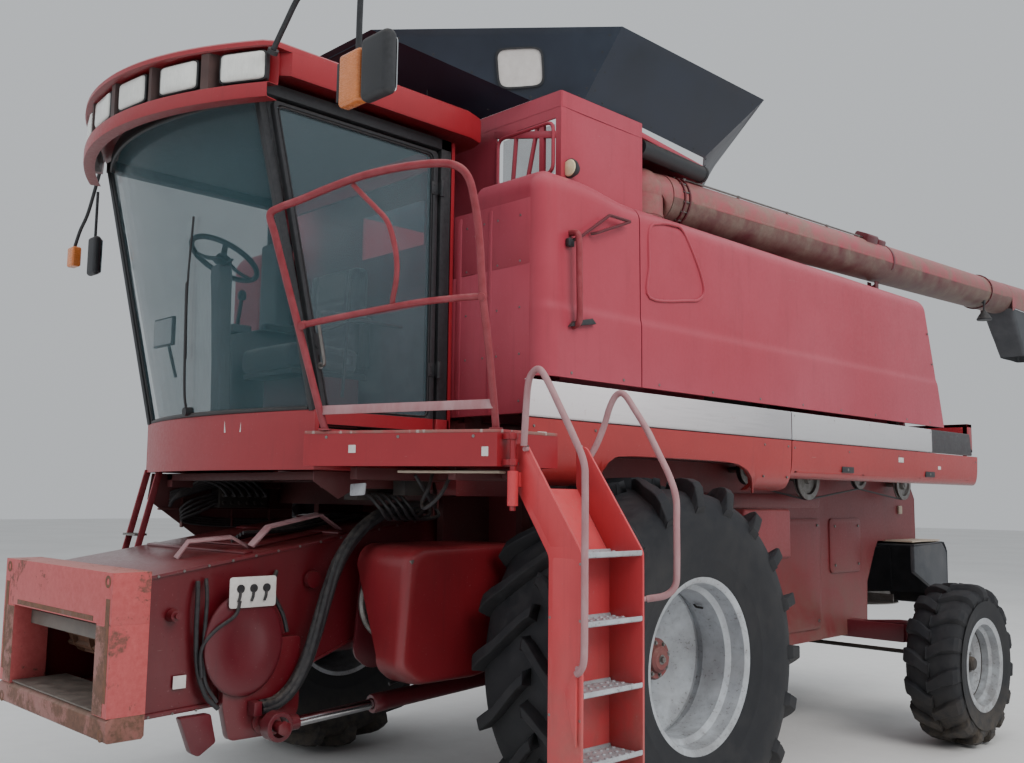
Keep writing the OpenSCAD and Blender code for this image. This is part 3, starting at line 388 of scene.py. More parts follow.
def tread_plate():
    """Punched anti-slip plate: raised diamonds rubbed bare."""
    t = Tree("anti_slip_plate")
    v = t.voronoi(34, "F1", "Distance", stretch=(1, 1, 0.2))
    dots = t.ramp(v, 0.32, 0.18)
    a = t.noise(7, 6, 0.7)
    col = t.mix(t.ramp(a, 0.4, 0.62), (0.30, 0.045, 0.05), (0.20, 0.12, 0.10))
    col = t.mix(t.math("MULTIPLY", dots, 0.6), col, (0.38, 0.33, 0.31))
    return t.done(col, t.ramp(a, 0.3, 0.7, 0.45, 0.75), t.bump(dots, 0.6, 0.004), 0.0)


M["tread"] = tread_plate()


# ------------------------------------------------------------------ shape helpers
def mk(name, verts, faces, mat, body="chassis", smooth=None, bevel=0.0, seg=2, uv=None, solid=0.0, sub=0, offset=-1):
    """Mesh object from points in drawing coordinates; smooth is the angle (degrees) kept soft."""
    me = bpy.data.meshes.new(name)
    me.from_pydata([Vector(v) + OFF for v in verts], [], faces)
    me.validate()
    ob = bpy.data.objects.new(name, me)
    scene.collection.objects.link(ob)
    mats = mat if isinstance(mat, (list, tuple)) else [mat]
    for m in mats:
        me.materials.append(M[m])
    if solid:
        s = ob.modifiers.new("thick", "SOLIDIFY")
        s.thickness = solid
        s.offset = offset
        s.use_even_offset = True
    if bevel:
        b = ob.modifiers.new("bevel", "BEVEL")
        b.width = bevel
        b.segments = seg
        b.limit_method = "ANGLE"
        b.angle_limit = math.radians(40)
        b.use_clamp_overlap = True
    if sub:
        d = ob.modifiers.new("sub", "SUBSURF")
        d.levels = d.render_levels = sub
    apply_all(ob)
    shade(ob, 35 if smooth is None else smooth)
    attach(ob, body)
    return ob


def apply_all(ob):
    if not ob.modifiers:
        return
    dg = bpy.context.evaluated_depsgraph_get()
    me = bpy.data.meshes.new_from_object(ob.evaluated_get(dg), depsgraph=dg)
    old = ob.data
    ob.modifiers.clear()
    ob.data = me
    bpy.data.meshes.remove(old)


def shade(ob, angle):
    me = ob.data
    if angle <= 0:
        return
    me.polygons.foreach_set("use_smooth", [True] * len(me.polygons))
    bm = bmesh.new()
    bm.from_mesh(me)
    lim = math.radians(angle)
    for e in bm.edges:
        if len(e.link_faces) == 2:
            e.smooth = e.calc_face_angle(0) < lim
    bm.to_mesh(me)
    bm.free()


class Buf:
    """Collects several shapes into one mesh, so that a row of bolts is one object."""

    def __init__(self):
        self.v, self.f, self.m = [], [], []

    def add(self, verts, faces, mi=0):
        k = len(self.v)
        self.v += [Vector(v) for v in verts]
        self.f += [tuple(i + k for i in f) for f in faces]
        self.m += [mi] * len(faces)
        return self

    def make(self, name, mat, body="chassis", **k):
        mats = mat if isinstance(mat, (list, tuple)) else [mat]
        ob = mk_multi(name, self.v, self.f, self.m, mats, body, **k)
        return ob


def mk_multi(name, verts, faces, mi, mats, body, smooth=None, bevel=0.0, seg=2, solid=0.0, sub=0, offset=-1):
    me = bpy.data.meshes.new(name)
    me.from_pydata([Vector(v) + OFF for v in verts], [], faces)
    for p, i in zip(me.polygons, mi):
        p.material_index = i
    me.validate()
    ob = bpy.data.objects.new(name, me)
    scene.collection.objects.link(ob)
    for m in mats:
        me.materials.append(M[m])
    if solid:
        s = ob.modifiers.new("thick", "SOLIDIFY")
        s.thickness, s.offset, s.use_even_offset = solid, offset, True
    if bevel:
        b = ob.modifiers.new("bevel", "BEVEL")
        b.width, b.segments, b.limit_method, b.angle_limit = bevel, seg, "ANGLE", math.radians(40)
    if sub:
        d = ob.modifiers.new("sub", "SUBSURF")
        d.levels = d.render_levels = sub
    apply_all(ob)
    shade(ob, 35 if smooth is None else smooth)
    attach(ob, body)
    return ob


def cuboid(x0, x1, y0, y1, z0, z1):
    v = [(x, y, z) for z in (z0, z1) for y in (y0, y1) for x in (x0, x1)]
    f = [(0, 2, 3, 1), (4, 5, 7, 6), (0, 1, 5, 4), (2, 6, 7, 3), (0, 4, 6, 2), (1, 3, 7, 5)]
    return v, f


def frame_of(t, ref):
    t = Vector(t).normalized()
    r = Vector(ref)
    a = r - t * r.dot(t)
    if a.length < 1e-5:
        r = Vector((1, 0, 0)) if abs(t.x) < 0.9 else Vector((0, 1, 0))
        a = r - t * r.dot(t)
    a.normalize()
    return a, t.cross(a)


def disc_prism(c, axis, r, h, n=24, r2=None, ref=(0, 0, 1), cap=True):
    """Closed round bar from point c along axis for h."""
    c, ax = Vector(c), Vector(axis).normalized()
    a, b = frame_of(ax, ref)
    r2 = r if r2 is None else r2
    v = [c + a * (r * math.cos(2 * math.pi * k / n)) + b * (r * math.sin(2 * math.pi * k / n)) for k in range(n)]
    v += [c + ax * h + a * (r2 * math.cos(2 * math.pi * k / n)) + b * (r2 * math.sin(2 * math.pi * k / n)) for k in range(n)]
    f = [(k, (k + 1) % n, n + (k + 1) % n, n + k) for k in range(n)]
    if cap:
        f += [tuple(range(n - 1, -1, -1)), tuple(range(n, 2 * n))]
    return v, f


def spline(p, n=8, closed=False):
    """Catmull-Rom points through p."""
    p = [Vector(q) for q in p]
    out = []
    m = len(p)
    for i in range(m if closed else m - 1):
        a = p[(i - 1) % m] if closed or i else p[0] * 2 - p[1]
        b, c = p[i], p[(i + 1) % m]
        d = p[(i + 2) % m] if closed or i + 2 < m else c * 2 - b
        for k in range(n):
            t = k / n
            out.append(0.5 * ((2 * b) + (c - a) * t + (2 * a - 5 * b + 4 * c - d) * t * t + (3 * b - a - 3 * c + d) * t ** 3))
    if not closed:
        out.append(p[-1])
    return out


def bends(p, q=0.06, n=5):
    """Polyline with each corner rounded by q."""
    p = [Vector(x) for x in p]
    out = [p[0]]
    for i in range(1, len(p) - 1):
        a, b = p[i - 1] - p[i], p[i + 1] - p[i]
        w = min(q, a.length * 0.45, b.length * 0.45)
        s, e = p[i] + a.normalized() * w, p[i] + b.normalized() * w
        for k in range(n + 1):
            t = k / n
            out.append(s * (1 - t) ** 2 + p[i] * 2 * t * (1 - t) + e * t * t)
    out.append(p[-1])
    return out


def sweep(path, prof, ref=(0, 0, 1), cap=True, closed=False):
    """Profile points (a, b) carried along a path with little twist."""
    path = [Vector(q) for q in path]
    n, m = len(prof), len(path)
    tang = []
    for i in range(m):
        if closed:
            t = path[(i + 1) % m] - path[i - 1]
        else:
            t = path[min(i + 1, m - 1)] - path[max(i - 1, 0)]
        tang.append(t.normalized())
    a, b = frame_of(tang[0], ref)
    v = []
    for i in range(m):
        if i:
            a = a - tang[i] * a.dot(tang[i])
            a.normalize()
            b = tang[i].cross(a)
        v += [path[i] + a * x + b * y for x, y in prof]
    f = []
    for i in range(m if closed else m - 1):
        j = (i + 1) % m
        f += [(i * n + k, i * n + (k + 1) % n, j * n + (k + 1) % n, j * n + k) for k in range(n)]
    if cap and not closed:
        f += [tuple(range(n - 1, -1, -1)), tuple(range((m - 1) * n, m * n))]
    return v, f


def ring(r, n=12):
    return [(r * math.cos(2 * math.pi * k / n), r * math.sin(2 * math.pi * k / n)) for k in range(n)]


def tube(buf, path, r, n=12, q=0.06, ref=(0, 0, 1), curve=False, mi=0):
    p = spline(path, 8) if curve else bends(path, q)
    v, f = sweep(p, ring(r, n), ref)
    buf.add(v, f, mi)
    return buf


def prism(poly, h0, h1, plane="yz"):
    """Closed extrusion of a polygon: plane yz goes along x, xz along y, xy along z."""
    put = {"yz": lambda p, h: (h, p[0], p[1]), "xz": lambda p, h: (p[0], h, p[1]), "xy": lambda p, h: (p[0], p[1], h)}[plane]
    n = len(poly)
    v = [put(p, h0) for p in poly] + [put(p, h1) for p in poly]
    area = sum(poly[i][0] * poly[(i + 1) % n][1] - poly[(i + 1) % n][0] * poly[i][1] for i in range(n))
    ccw = area > 0
    side = [(i, (i + 1) % n, n + (i + 1) % n, n + i) for i in range(n)]
    f = side + [tuple(range(n - 1, -1, -1)), tuple(range(n, 2 * n))]
    flip = (plane == "xz") == ccw
    if (h1 < h0):
        flip = not flip
    if flip:
        f = [tuple(reversed(x)) for x in f]
    return v, f


def lathe(prof, axis_point, axis="x", n=96, sign=1):
    """Closed profile (along, radius) turned around an axis through axis_point."""
    c = Vector(axis_point)
    m = len(prof)
    v = []
    for k in range(n):
        t = 2 * math.pi * k / n
        cs, sn = math.cos(t), math.sin(t)
        for x, r in prof:
            x *= sign
            if axis == "x":
                v.append(c + Vector((x, r * cs, r * sn)))
            elif axis == "y":
                v.append(c + Vector((r * sn, x, r * cs)))
            else:
                v.append(c + Vector((r * cs, r * sn, x)))
    f = []
    for k in range(n):
        j = (k + 1) % n
        for i in range(m):
            i2 = (i + 1) % m
            f.append((k * m + i, j * m + i, j * m + i2, k * m + i2))
    return v, f


def fix_normals(ob):
    bm = bmesh.new()
    bm.from_mesh(ob.data)
    bmesh.ops.recalc_face_normals(bm, faces=bm.faces)
    bm.to_mesh(ob.data)
    bm.free()


def hexhead(buf, c, axis, r=0.012, h=0.009, washer=True, mi=0):
    c, ax = Vector(c), Vector(axis).normalized()
    if washer:
        v, f = disc_prism(c, ax, r * 1.55, h * 0.28, 14)
        buf.add(v, f, mi)
    v, f = disc_prism(c + ax * h * 0.2, ax, r, h, 6)
    buf.add(v, f, mi)


def dome(buf, c, axis, r, h, n=14, rings=4, mi=0):
    """Low round head, closed with a flat back."""
    c, ax = Vector(c), Vector(axis).normalized()
    a, b = frame_of(ax, (0, 0, 1))
    v = []
    for j in range(rings):
        t = j / rings
        rr, hh = r * math.cos(t * math.pi / 2), h * math.sin(t * math.pi / 2)
        v += [c + ax * hh + a * (rr * math.cos(2 * math.pi * k / n)) + b * (rr * math.sin(2 * math.pi * k / n)) for k in range(n)]
    v.append(c + ax * h)
    f = [tuple(range(n - 1, -1, -1))]
    for j in range(rings - 1):
        f += [(j * n + k, j * n + (k + 1) % n, (j + 1) * n + (k + 1) % n, (j + 1) * n + k) for k in range(n)]
    f += [((rings - 1) * n + k, (rings - 1) * n + (k + 1) % n, rings * n) for k in range(n)]
    buf.add(v, f, mi)


def rot(path, fn):
    return [fn(Vector(p)) for p in path]


def steer_side(sx, body, extra=""):
    return body + ("_left" if sx > 0 else "_right") + extra


# ------------------------------------------------------------------ wheels
def interp(pts, a):
    for (x0, y0), (x1, y1) in zip(pts, pts[1:]):
        if x0 <= a <= x1:
            return y0 + (y1 - y0) * (a - x0) / (x1 - x0)
    return pts[-1][1]


def tyre(name, c, sx, R, hw, bead_a, bead_r, nlug, h, lug, sweepf, apex, body, node):
    """Lugged tyre: a turned carcass with sidewall rings, and closed bars set on it in a chevron."""
    cx, cy, cz = c
    Rc = R - h
    half = [(0.0, Rc), (hw * 0.3, Rc - 0.002), (hw * 0.55, Rc - 0.008), (hw * 0.74, Rc - 0.020), (hw * 0.86, Rc - 0.040), (hw * 0.93, Rc - 0.075)]
    side = [(hw * 0.972, Rc - 0.13), (hw * 0.990, R - (R - bead_r) * 0.42), (hw * 0.985, R - (R - bead_r) * 0.55), (hw * 0.955, R - (R - bead_r) * 0.68)]
    low = [(hw * 0.925, R - (R - bead_r) * 0.76), (hw * 0.928, R - (R - bead_r) * 0.775), (hw * 0.918, R - (R - bead_r) * 0.79), (bead_a * 1.045, bead_r + 0.048), (bead_a * 1.03, bead_r + 0.030), (bead_a * 1.0, bead_r + 0.012), (bead_a * 0.97, bead_r)]
    full_half = half + side + low
    prof = [(-a, r) for a, r in reversed(full_half)] + full_half[1:]
    inner = [(bead_a * 0.90, bead_r), (hw * 0.86, R - (R - bead_r) * 0.55), (hw * 0.80, Rc - 0.09), (hw * 0.4, Rc - 0.05), (0, Rc - 0.045)]
    prof += inner + [(-a, r) for a, r in reversed(inner[:-1])]
    v, f = lathe(prof, (cx, cy, cz), "x", 120, sx)
    ob = mk(name, v, f, "tyre", body, smooth=38)
    fix_normals(ob)
    buf = Buf()
    for s in (1, -1):
        for i in range(nlug):
            t0 = 2 * math.pi * (i + (0.5 if s < 0 else 0.0)) / nlug
            st = []
            jig = 1 + 0.02 * math.sin(i * 2.3 + s)
            for a, ro, ai, ri, w in lug:
                off = apex * sweepf(max(a, 0)) * jig
                st.append((s * a, ro, s * ai, ri, w, off))
            n = len(st)
            vv = []
            for a, ro, ai, ri, w, off in st:
                wt = w * 0.5
                for (aa, rr, dw) in ((a, ro, -wt), (a, ro, wt), (ai, ri, wt * 1.45), (ai, ri, -wt * 1.45)):
                    ang = t0 + (off + dw) / R
                    vv.append(Vector((cx + sx * aa, cy + rr * math.cos(ang), cz + rr * math.sin(ang))))
            ff = []
            for k in range(n - 1):
                for q in range(4):
                    ff.append((k * 4 + q, (k + 1) * 4 + q, (k + 1) * 4 + (q + 1) % 4, k * 4 + (q + 1) % 4))
            ff += [(3, 2, 1, 0), tuple((n - 1) * 4 + q for q in range(4))]
            buf.add(vv, ff)
    lo = buf.make(name + "_lugs", "tyre", body, smooth=20, bevel=0.0065, seg=2)
    fix_normals(lo)
    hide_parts(node)
    return ob


def front_wheel(side):
    sx = 1 if side == "left" else -1
    body = "wheel_front_" + side
    c = (1.482 * sx, 0.0, 0.850)
    lug = [(-0.012, 0.914, -0.012, 0.852, 0.050), (0.03, 0.9190, 0.03, 0.852, 0.054), (0.12, 0.9190, 0.12, 0.850, 0.056), (0.21, 0.9175, 0.21, 0.845, 0.058),
           (0.29, 0.9105, 0.285, 0.832, 0.062), (0.345, 0.8960, 0.325, 0.810, 0.066), (0.377, 0.8700, 0.345, 0.780, 0.070), (0.3880, 0.8150, 0.362, 0.740, 0.066), (0.3890, 0.7700, 0.368, 0.725, 0.060)]
    tyre("front_tyre_tread_" + side, c, sx, 0.919, 0.391, 0.335, 0.400, 19, 0.058, lug,
         lambda a: 0.93 * a if a < 0.2 else 0.186 + 0.62 * (a - 0.2), 1.0, body, "front_tyre_" + side)
    cx, cy, cz = c
    # one-piece rim: flange, bead seats and well, closed section
    prof = [(0.346, 0.438), (0.340, 0.443), (0.331, 0.440), (0.329, 0.428), (0.331, 0.414), (0.326, 0.405), (0.245, 0.396), (0.225, 0.372), (0.110, 0.368), (0.095, 0.392),
            (-0.30, 0.400), (-0.326, 0.405), (-0.329, 0.428), (-0.340, 0.443), (-0.346, 0.438), (-0.338, 0.402), (-0.30, 0.388), (0.085, 0.380), (0.098, 0.358), (0.235, 0.361), (0.256, 0.386), (0.330, 0.396), (0.338, 0.404)]
    v, f = lathe(prof, c, "x", 112, sx)
    ob = mk("front_rim_barrel_" + side, v, f, "rim", body, smooth=32)
    fix_normals(ob)
    # deep disc: welded rim ring, cone, flat bolt face
    disc = [(0.055, 0.379), (0.040, 0.379), (0.008, 0.345), (-0.010, 0.322), (-0.062, 0.245), (-0.078, 0.215), (-0.078, 0.064), (-0.066, 0.062), (-0.066, 0.205),
            (-0.050, 0.236), (0.004, 0.312), (0.022, 0.338), (0.046, 0.369), (0.056, 0.371)]
    v, f = lathe(disc, c, "x", 112, sx)
    od = mk("front_rim_disc_" + side, v, f, "rim", body, smooth=32)
    fix_normals(od)
    buf = Buf()
    ax = (sx, 0, 0)
    # wheel nuts on the bolt face
    for k in range(10):
        t = 2 * math.pi * k / 10
        p = Vector((cx - sx * 0.066, cy + 0.140 * math.cos(t), cz + 0.140 * math.sin(t)))
        hexhead(buf, p, ax, 0.017, 0.022)
    buf.make("front_wheel_nuts_" + side, "steel", body, smooth=25)
    buf = Buf()
    for k in range(8):
        t = 2 * math.pi * (k + 0.5) / 8
        p = Vector((cx + sx * 0.012, cy + 0.352 * math.cos(t), cz + 0.352 * math.sin(t)))
        v, f = disc_prism(p, ax, 0.010, 0.004, 12)
        buf.add(v, f)
    buf.make("front_rim_weld_spots_" + side, "chassis", body)
    # final-drive flange: red drum with bolts and a drain plug
    hub = [(-0.066, 0.001), (-0.066, 0.116), (-0.020, 0.116), (-0.010, 0.110), (0.060, 0.104), (0.072, 0.096), (0.072, 0.070), (0.088, 0.066), (0.100, 0.050), (0.100, 0.001)]
    v, f = lathe(hub, c, "x", 64, sx)
    oh = mk("front_hub_cover_" + side, v, f, "body", body, smooth=30)
    fix_normals(oh)
    buf = Buf()
    for k in range(8):
        t = 2 * math.pi * k / 8 + 0.2
        hexhead(buf, Vector((cx + sx * 0.070, cy + 0.083 * math.cos(t), cz + 0.083 * math.sin(t))), ax, 0.0085, 0.009)
    hexhead(buf, Vector((cx + sx * 0.098, cy, cz)), ax, 0.016, 0.014)
    buf.make("front_hub_bolts_" + side, "steel", body, smooth=25)
    # valve stem
    buf = Buf()
    p = Vector((cx + sx * 0.12, cy + 0.25, cz + 0.262))
    tube(buf, [p, p + Vector((sx * 0.02, -0.012, -0.012)), p + Vector((sx * 0.065, -0.014, -0.014))], 0.006, 10, 0.01)
    buf.make("front_valve_" + side, "hose", body)
    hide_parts("front_rim_" + side)


def rear_wheel(side):
    sx = 1 if side == "left" else -1
    body = "wheel_rear_" + side
    c = (1.680 * sx, 3.440, 0.499)
    lug = [(-0.010, 0.562, -0.010, 0.524, 0.070), (0.03, 0.5663, 0.03, 0.524, 0.076), (0.09, 0.5665, 0.09, 0.520, 0.082), (0.135, 0.5615, 0.13, 0.510, 0.090),
           (0.170, 0.5450, 0.160, 0.490, 0.096), (0.190, 0.5160, 0.174, 0.462, 0.098), (0.1970, 0.4700, 0.184, 0.432, 0.090)]
    tyre("rear_tyre_tread_" + side, c, sx, 0.568, 0.1985, 0.176, 0.292, 15, 0.034, lug,
         lambda a: 0.75 * a if a < 0.08 else 0.06 + 0.30 * (a - 0.08), -1.0, body, "rear_tyre_" + side)
    cx, cy, cz = c
    prof = [(0.186, 0.326), (0.182, 0.331), (0.176, 0.329), (0.174, 0.318), (0.176, 0.300), (0.172, 0.293), (0.120, 0.287), (0.105, 0.262), (0.045, 0.259), (0.035, 0.282),
            (-0.172, 0.293), (-0.174, 0.318), (-0.182, 0.331), (-0.186, 0.326), (-0.178, 0.288), (0.026, 0.272), (0.036, 0.249), (0.112, 0.252), (0.128, 0.277), (0.178, 0.286)]
    v, f = lathe(prof, c, "x", 96, sx)
    ob = mk("rear_rim_barrel_" + side, v, f, "rim", body, smooth=32)
    fix_normals(ob)
    disc = [(0.062, 0.252), (0.048, 0.256), (0.030, 0.236), (0.014, 0.210), (0.012, 0.190), (0.030, 0.150), (0.030, 0.042), (0.042, 0.042), (0.042, 0.146), (0.026, 0.188), (0.028, 0.208), (0.044, 0.228), (0.060, 0.243)]
    v, f = lathe(disc, c, "x", 96, sx)
    od = mk("rear_rim_disc_" + side, v, f, "rim", body, smooth=32)
    fix_normals(od)
    buf = Buf()
    ax = (sx, 0, 0)
    for k in range(8):
        t = 2 * math.pi * k / 8
        hexhead(buf, Vector((cx + sx * 0.041, cy + 0.082 * math.cos(t), cz + 0.082 * math.sin(t))), ax, 0.013, 0.016)
    buf.make("rear_wheel_nuts_" + side, "steel", body, smooth=25)
    hub = [(0.020, 0.001), (0.020, 0.060), (0.052, 0.060), (0.060, 0.052), (0.100, 0.048), (0.112, 0.036), (0.114, 0.001)]
    v, f = lathe(hub, c, "x", 48, sx)
    oh = mk("rear_hub_cap_" + side, v, f, "chassis", body, smooth=30)
    fix_normals(oh)
    # soft ring of old grease where the disc meets the barrel
    v, f = lathe([(0.063, 0.251), (0.058, 0.247), (0.050, 0.243), (0.066, 0.246)], c, "x", 96, sx)
    og = mk("rear_rim_gap_" + side, v, f, "chassis", body, smooth=30)
    fix_normals(og)
    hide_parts("rear_rim_" + side)


for _s in ("left", "right"):
    front_wheel(_s)
    rear_wheel(_s)
# ------------------------------------------------------------------ body panels
def wav(x, y, z, amp=0.002, s=1.3):
    return amp * noise.noise(Vector((x * s + 3, y * s, z * s)))


def sheet_grid(name, rows, mat, body, thick=0.003, uv=None, side=1, smooth=40, closed=False):
    """Sheet from rows of points; the doubled points at a corner are welded."""
    nr, nc = len(rows), len(rows[0])
    v = [Vector(p) for r in rows for p in r]
    f = []
    for i in range(nr - 1):
        for j in range(nc if closed else nc - 1):
            k = (j + 1) % nc
            f.append((i * nc + j, i * nc + k, (i + 1) * nc + k, (i + 1) * nc + j))
    if side < 0:
        v = [Vector((-p.x, p.y, p.z)) for p in v]
        f = [tuple(reversed(q)) for q in f]
    me = bpy.data.meshes.new(name)
    me.from_pydata([p + OFF for p in v], [], f)
    bm = bmesh.new()
    bm.from_mesh(me)
    bmesh.ops.remove_doubles(bm, verts=bm.verts, dist=0.0002)
    bmesh.ops.dissolve_degenerate(bm, edges=bm.edges, dist=0.0001)
    bm.to_mesh(me)
    bm.free()
    me.materials.append(M[mat])
    ob = bpy.data.objects.new(name, me)
    scene.collection.objects.link(ob)
    if thick:
        s = ob.modifiers.new("thick", "SOLIDIFY")
        s.thickness, s.offset = thick, -1
    apply_all(ob)
    shade(ob, smooth)
    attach(ob, body)
    return ob


PT = 3.225


def y_rear(z):
    """Slanting rear edge of the upper panel."""
    return 3.48 + (3.215 - z) * (3.79 - 3.48) / 1.065 - 0.004


def panel_x(z):
    """Side profile with the long crease."""
    t = min(max((z - 2.56) / 0.05, 0), 1)
    return 1.4985 - 0.009 * t * t * (3 - 2 * t) - 0.004 * min(max((z - 2.70) / 0.4, 0), 1)


def upper_panel(side, y0, y1, front, rear, tag):
    r = 0.098
    zs = [2.237, 2.25, 2.30, 2.38, 2.46, 2.53, 2.555, 2.568, 2.582, 2.597, 2.613, 2.63, 2.68] + [2.68 + 0.0556 * k for k in range(1, 8)] + [PT - r - 0.004]
    rows = []
    ny = max(4, int((y1 - y0) / 0.11))
    for i in range(len(zs) + 7):
        if i < len(zs):
            z, rc, zz = zs[i], r, zs[i]
        else:
            a = math.pi / 2 * (i - len(zs) + 1) / 7
            z, rc, zz = PT - r - 0.002 + r * math.sin(a), r * math.cos(a), PT - r
        px = panel_x(min(zz, PT - r))
        cx = px - r
        row = []
        if front:
            for x in (1.0, 1.13, 1.26, 1.36):
                row.append((x, -0.70 - rc + 0.002 + wav(x, 0, z, 0.0015), z))
            for k in range(0, 8):
                t = math.pi / 2 * k / 7
                row.append((cx + rc * math.sin(t), -0.70 - rc * math.cos(t) + 0.002, z))
            ys = [-0.68 + (y1 + 0.68) * k / ny for k in range(ny + 1)]
        else:
            ys = [y0 + (y1 - y0) * k / ny for k in range(ny + 1)]
            row.append((cx + rc - 0.028, y0, z))
        for k, y in enumerate(ys):
            if rear:
                ye = y_rear(min(z, 3.20))
                y = ys[0] + (ye - ys[0]) * k / ny
            w = wav(0, y, z, 0.0028) - 0.0025 if 0 < k < ny else -0.0025
            row.append((cx + rc + w, y, z))
        ye = row[-1][1]
        row.append((cx + rc - 0.030, ye, z))
        rows.append(row)
    # flat top
    top = []
    for (x, y, z) in rows[-1]:
        top.append((max(min(x, 1.4) - 0.15, 1.0) if x > 1.36 else x, y if x > 1.39 else -0.63, PT - 0.002))
    if front:
        rows.append([(x, (-0.628 if x < 1.39 else y), PT - 0.003) for (x, y, z) in rows[-1]])
    else:
        rows.append([(1.252, y, PT - 0.003) for (x, y, z) in rows[-1]])
    # the front corner rises a little towards the cab
    if front:
        def lift(p):
            a_ = max(0.0, min(1.0, (-0.08 - p[1]) / 0.40))
            b_ = max(0.0, min(1.0, (p[2] - 2.90) / 0.33))
            return (p[0], p[1], p[2] + 0.048 * a_ * a_ * (3 - 2 * a_) * b_)
        rows = [[lift(p) for p in r_] for r_ in rows]
    # turned-in lower edge
    low = [(x - 0.022 if x > 1.42 else x, y + (0.02 if x < 1.42 and front else 0), z) for (x, y, z) in rows[0]]
    rows.insert(0, low)
    return sheet_grid("upper_panel_%s_%s" % (tag, "left" if side > 0 else "right"), rows, "panel", "chassis", 0.003, side=side)


for sd in (1, -1):
    upper_panel(sd, -0.8, -0.054, True, False, "front")
    upper_panel(sd, -0.046, 3.4, False, True, "rear")
    nm = "left" if sd > 0 else "right"
    b = Buf()
    # inner skin of the top edge beside the tank, stiffeners and bracket rail behind the panel
    b.add(*cuboid(1.255 * sd if sd > 0 else -1.40, 1.40 if sd > 0 else -1.255, -0.60, -0.058, PT - 0.012, PT - 0.006))
    for y in (-0.3, 0.5, 1.3, 2.1, 2.9):
        b.add(*cuboid(min(1.440 * sd, 1.468 * sd), max(1.440 * sd, 1.468 * sd), y, y + 0.05, 2.26, 3.08))
    b.make("panel_stiffeners_%s" % nm, "panel", bevel=0.004)
    # pressed outline on the side and a row of fixing screws along the bottom edge
    b = Buf()
    tri = [(0.03, 2.726), (0.38, 2.760), (0.49, 2.785), (0.535, 2.845), (0.475, 2.98), (0.34, 3.150), (0.25, 3.168), (0.12, 3.150), (0.035, 3.10), (0.028, 2.90)]
    path = spline([(sd * (panel_x(z) - 0.0020), y, z) for y, z in tri], 5, True)
    v, f = sweep(path, [(0.009 * math.cos(t * math.pi / 4), 0.0075 * math.sin(t * math.pi / 4)) for t in range(8)], ref=(0, 0, 1), closed=True)
    b.add([Vector((sd * min(abs(p.x), 1.4998), p.y, p.z)) for p in v], f)
    b.make("pressed_outline_%s" % nm, "panel")
    b = Buf()
    for y in [-0.6, -0.2, 0.1, 0.6, 1.1, 1.6, 2.1, 2.6, 3.1, 3.5]:
        v, f = disc_prism((sd * 1.494, y, 2.262), (sd, 0, 0), 0.009, 0.0045, 12, 0.007)
        b.add(v, f)
    for z in (2.3, 2.5, 2.72, 2.95):
        for dy in (-0.03,):
            v, f = disc_prism((sd * 1.488, y_rear(z) + dy, z), (sd, 0, 0), 0.008, 0.0065, 12, 0.006)
            b.add(v, f)
    b.make("panel_screws_%s" % nm, "steel")
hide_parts("upper_side_panels")


# ---- lower belt with the stripe and the wheel arch
BELT = [(1.4985, 2.028), (1.4975, 1.98), (1.4955, 1.92), (1.491, 1.86), (1.482, 1.80), (1.468, 1.762), (1.445, 1.735), (1.415, 1.722), (1.385, 1.717), (1.362, 1.716)]
ARCH = [(-0.372, 1.64), (-0.365, 1.70), (-0.35, 1.775), (-0.315, 1.832), (-0.25, 1.868), (-0.1, 1.876), (0.3, 1.878), (0.7, 1.876), (0.85, 1.866), (0.96, 1.834), (1.04, 1.775), (1.078, 1.70), (1.09, 1.64)]


def interp(tab, v):
    if v <= tab[0][0]:
        return tab[0][1]
    for (a, za), (b, zb) in zip(tab, tab[1:]):
        if v <= b:
            return za + (zb - za) * (v - a) / (b - a)
    return tab[-1][1]


def belt_x(z):
    return interp(sorted([(q[1], q[0]) for q in BELT]), z)


def arch_low(y):
    if y <= ARCH[0][0] or y >= ARCH[-1][0]:
        return None
    return max(1.717, interp(ARCH, y))


def lower_shield(name, side, y0, y1, arch, body, mat, prof=BELT):
    ys = set([y0 + (y1 - y0) * k / int((y1 - y0) / 0.09) for k in range(int((y1 - y0) / 0.09) + 1)])
    if arch:
        for k in range(60):
            ys.add(ARCH[0][0] - 0.01 + (ARCH[-1][0] - ARCH[0][0] + 0.02) * k / 59)
    ys = sorted(ys)
    zmin = prof[-1][1]
    px = sorted([(q[1], q[0]) for q in prof])
    nz = 12
    cols = []
    for y in ys:
        lo = arch_low(y) if arch else None
        col = []
        zl = lo if lo and lo > zmin + 0.004 else None
        if zl:
            for k in range(nz + 1):
                z = 2.028 + (zl - 2.028) * k / nz
                col.append((interp(px, z) + wav(1, y, z, 0.002) - 0.001, y, z))
            xe = col[-1][0]
            for d in (0.004, 0.016, 0.03):
                col.append((xe - d, y, zl + (0.001 if d > 0.005 else -0.001)))
        else:
            n = len(prof) - 1
            for k in range(nz + 4):
                t = k / (nz + 3) * n
                i = min(int(t), n - 1)
                a, c = prof[i], prof[i + 1]
                u = t - i
                x, z = a[0] + (c[0] - a[0]) * u, a[1] + (c[1] - a[1]) * u
                col.append((x + (wav(1, y, z, 0.002) - 0.001 if z > 1.75 else 0), y, z))
        cols.append(col)
    rows = [[c[i] for c in cols] for i in range(len(cols[0]))]
    rows.reverse()
    ob = sheet_grid(name, rows, mat, body, 0.003, side=side)
    return ob


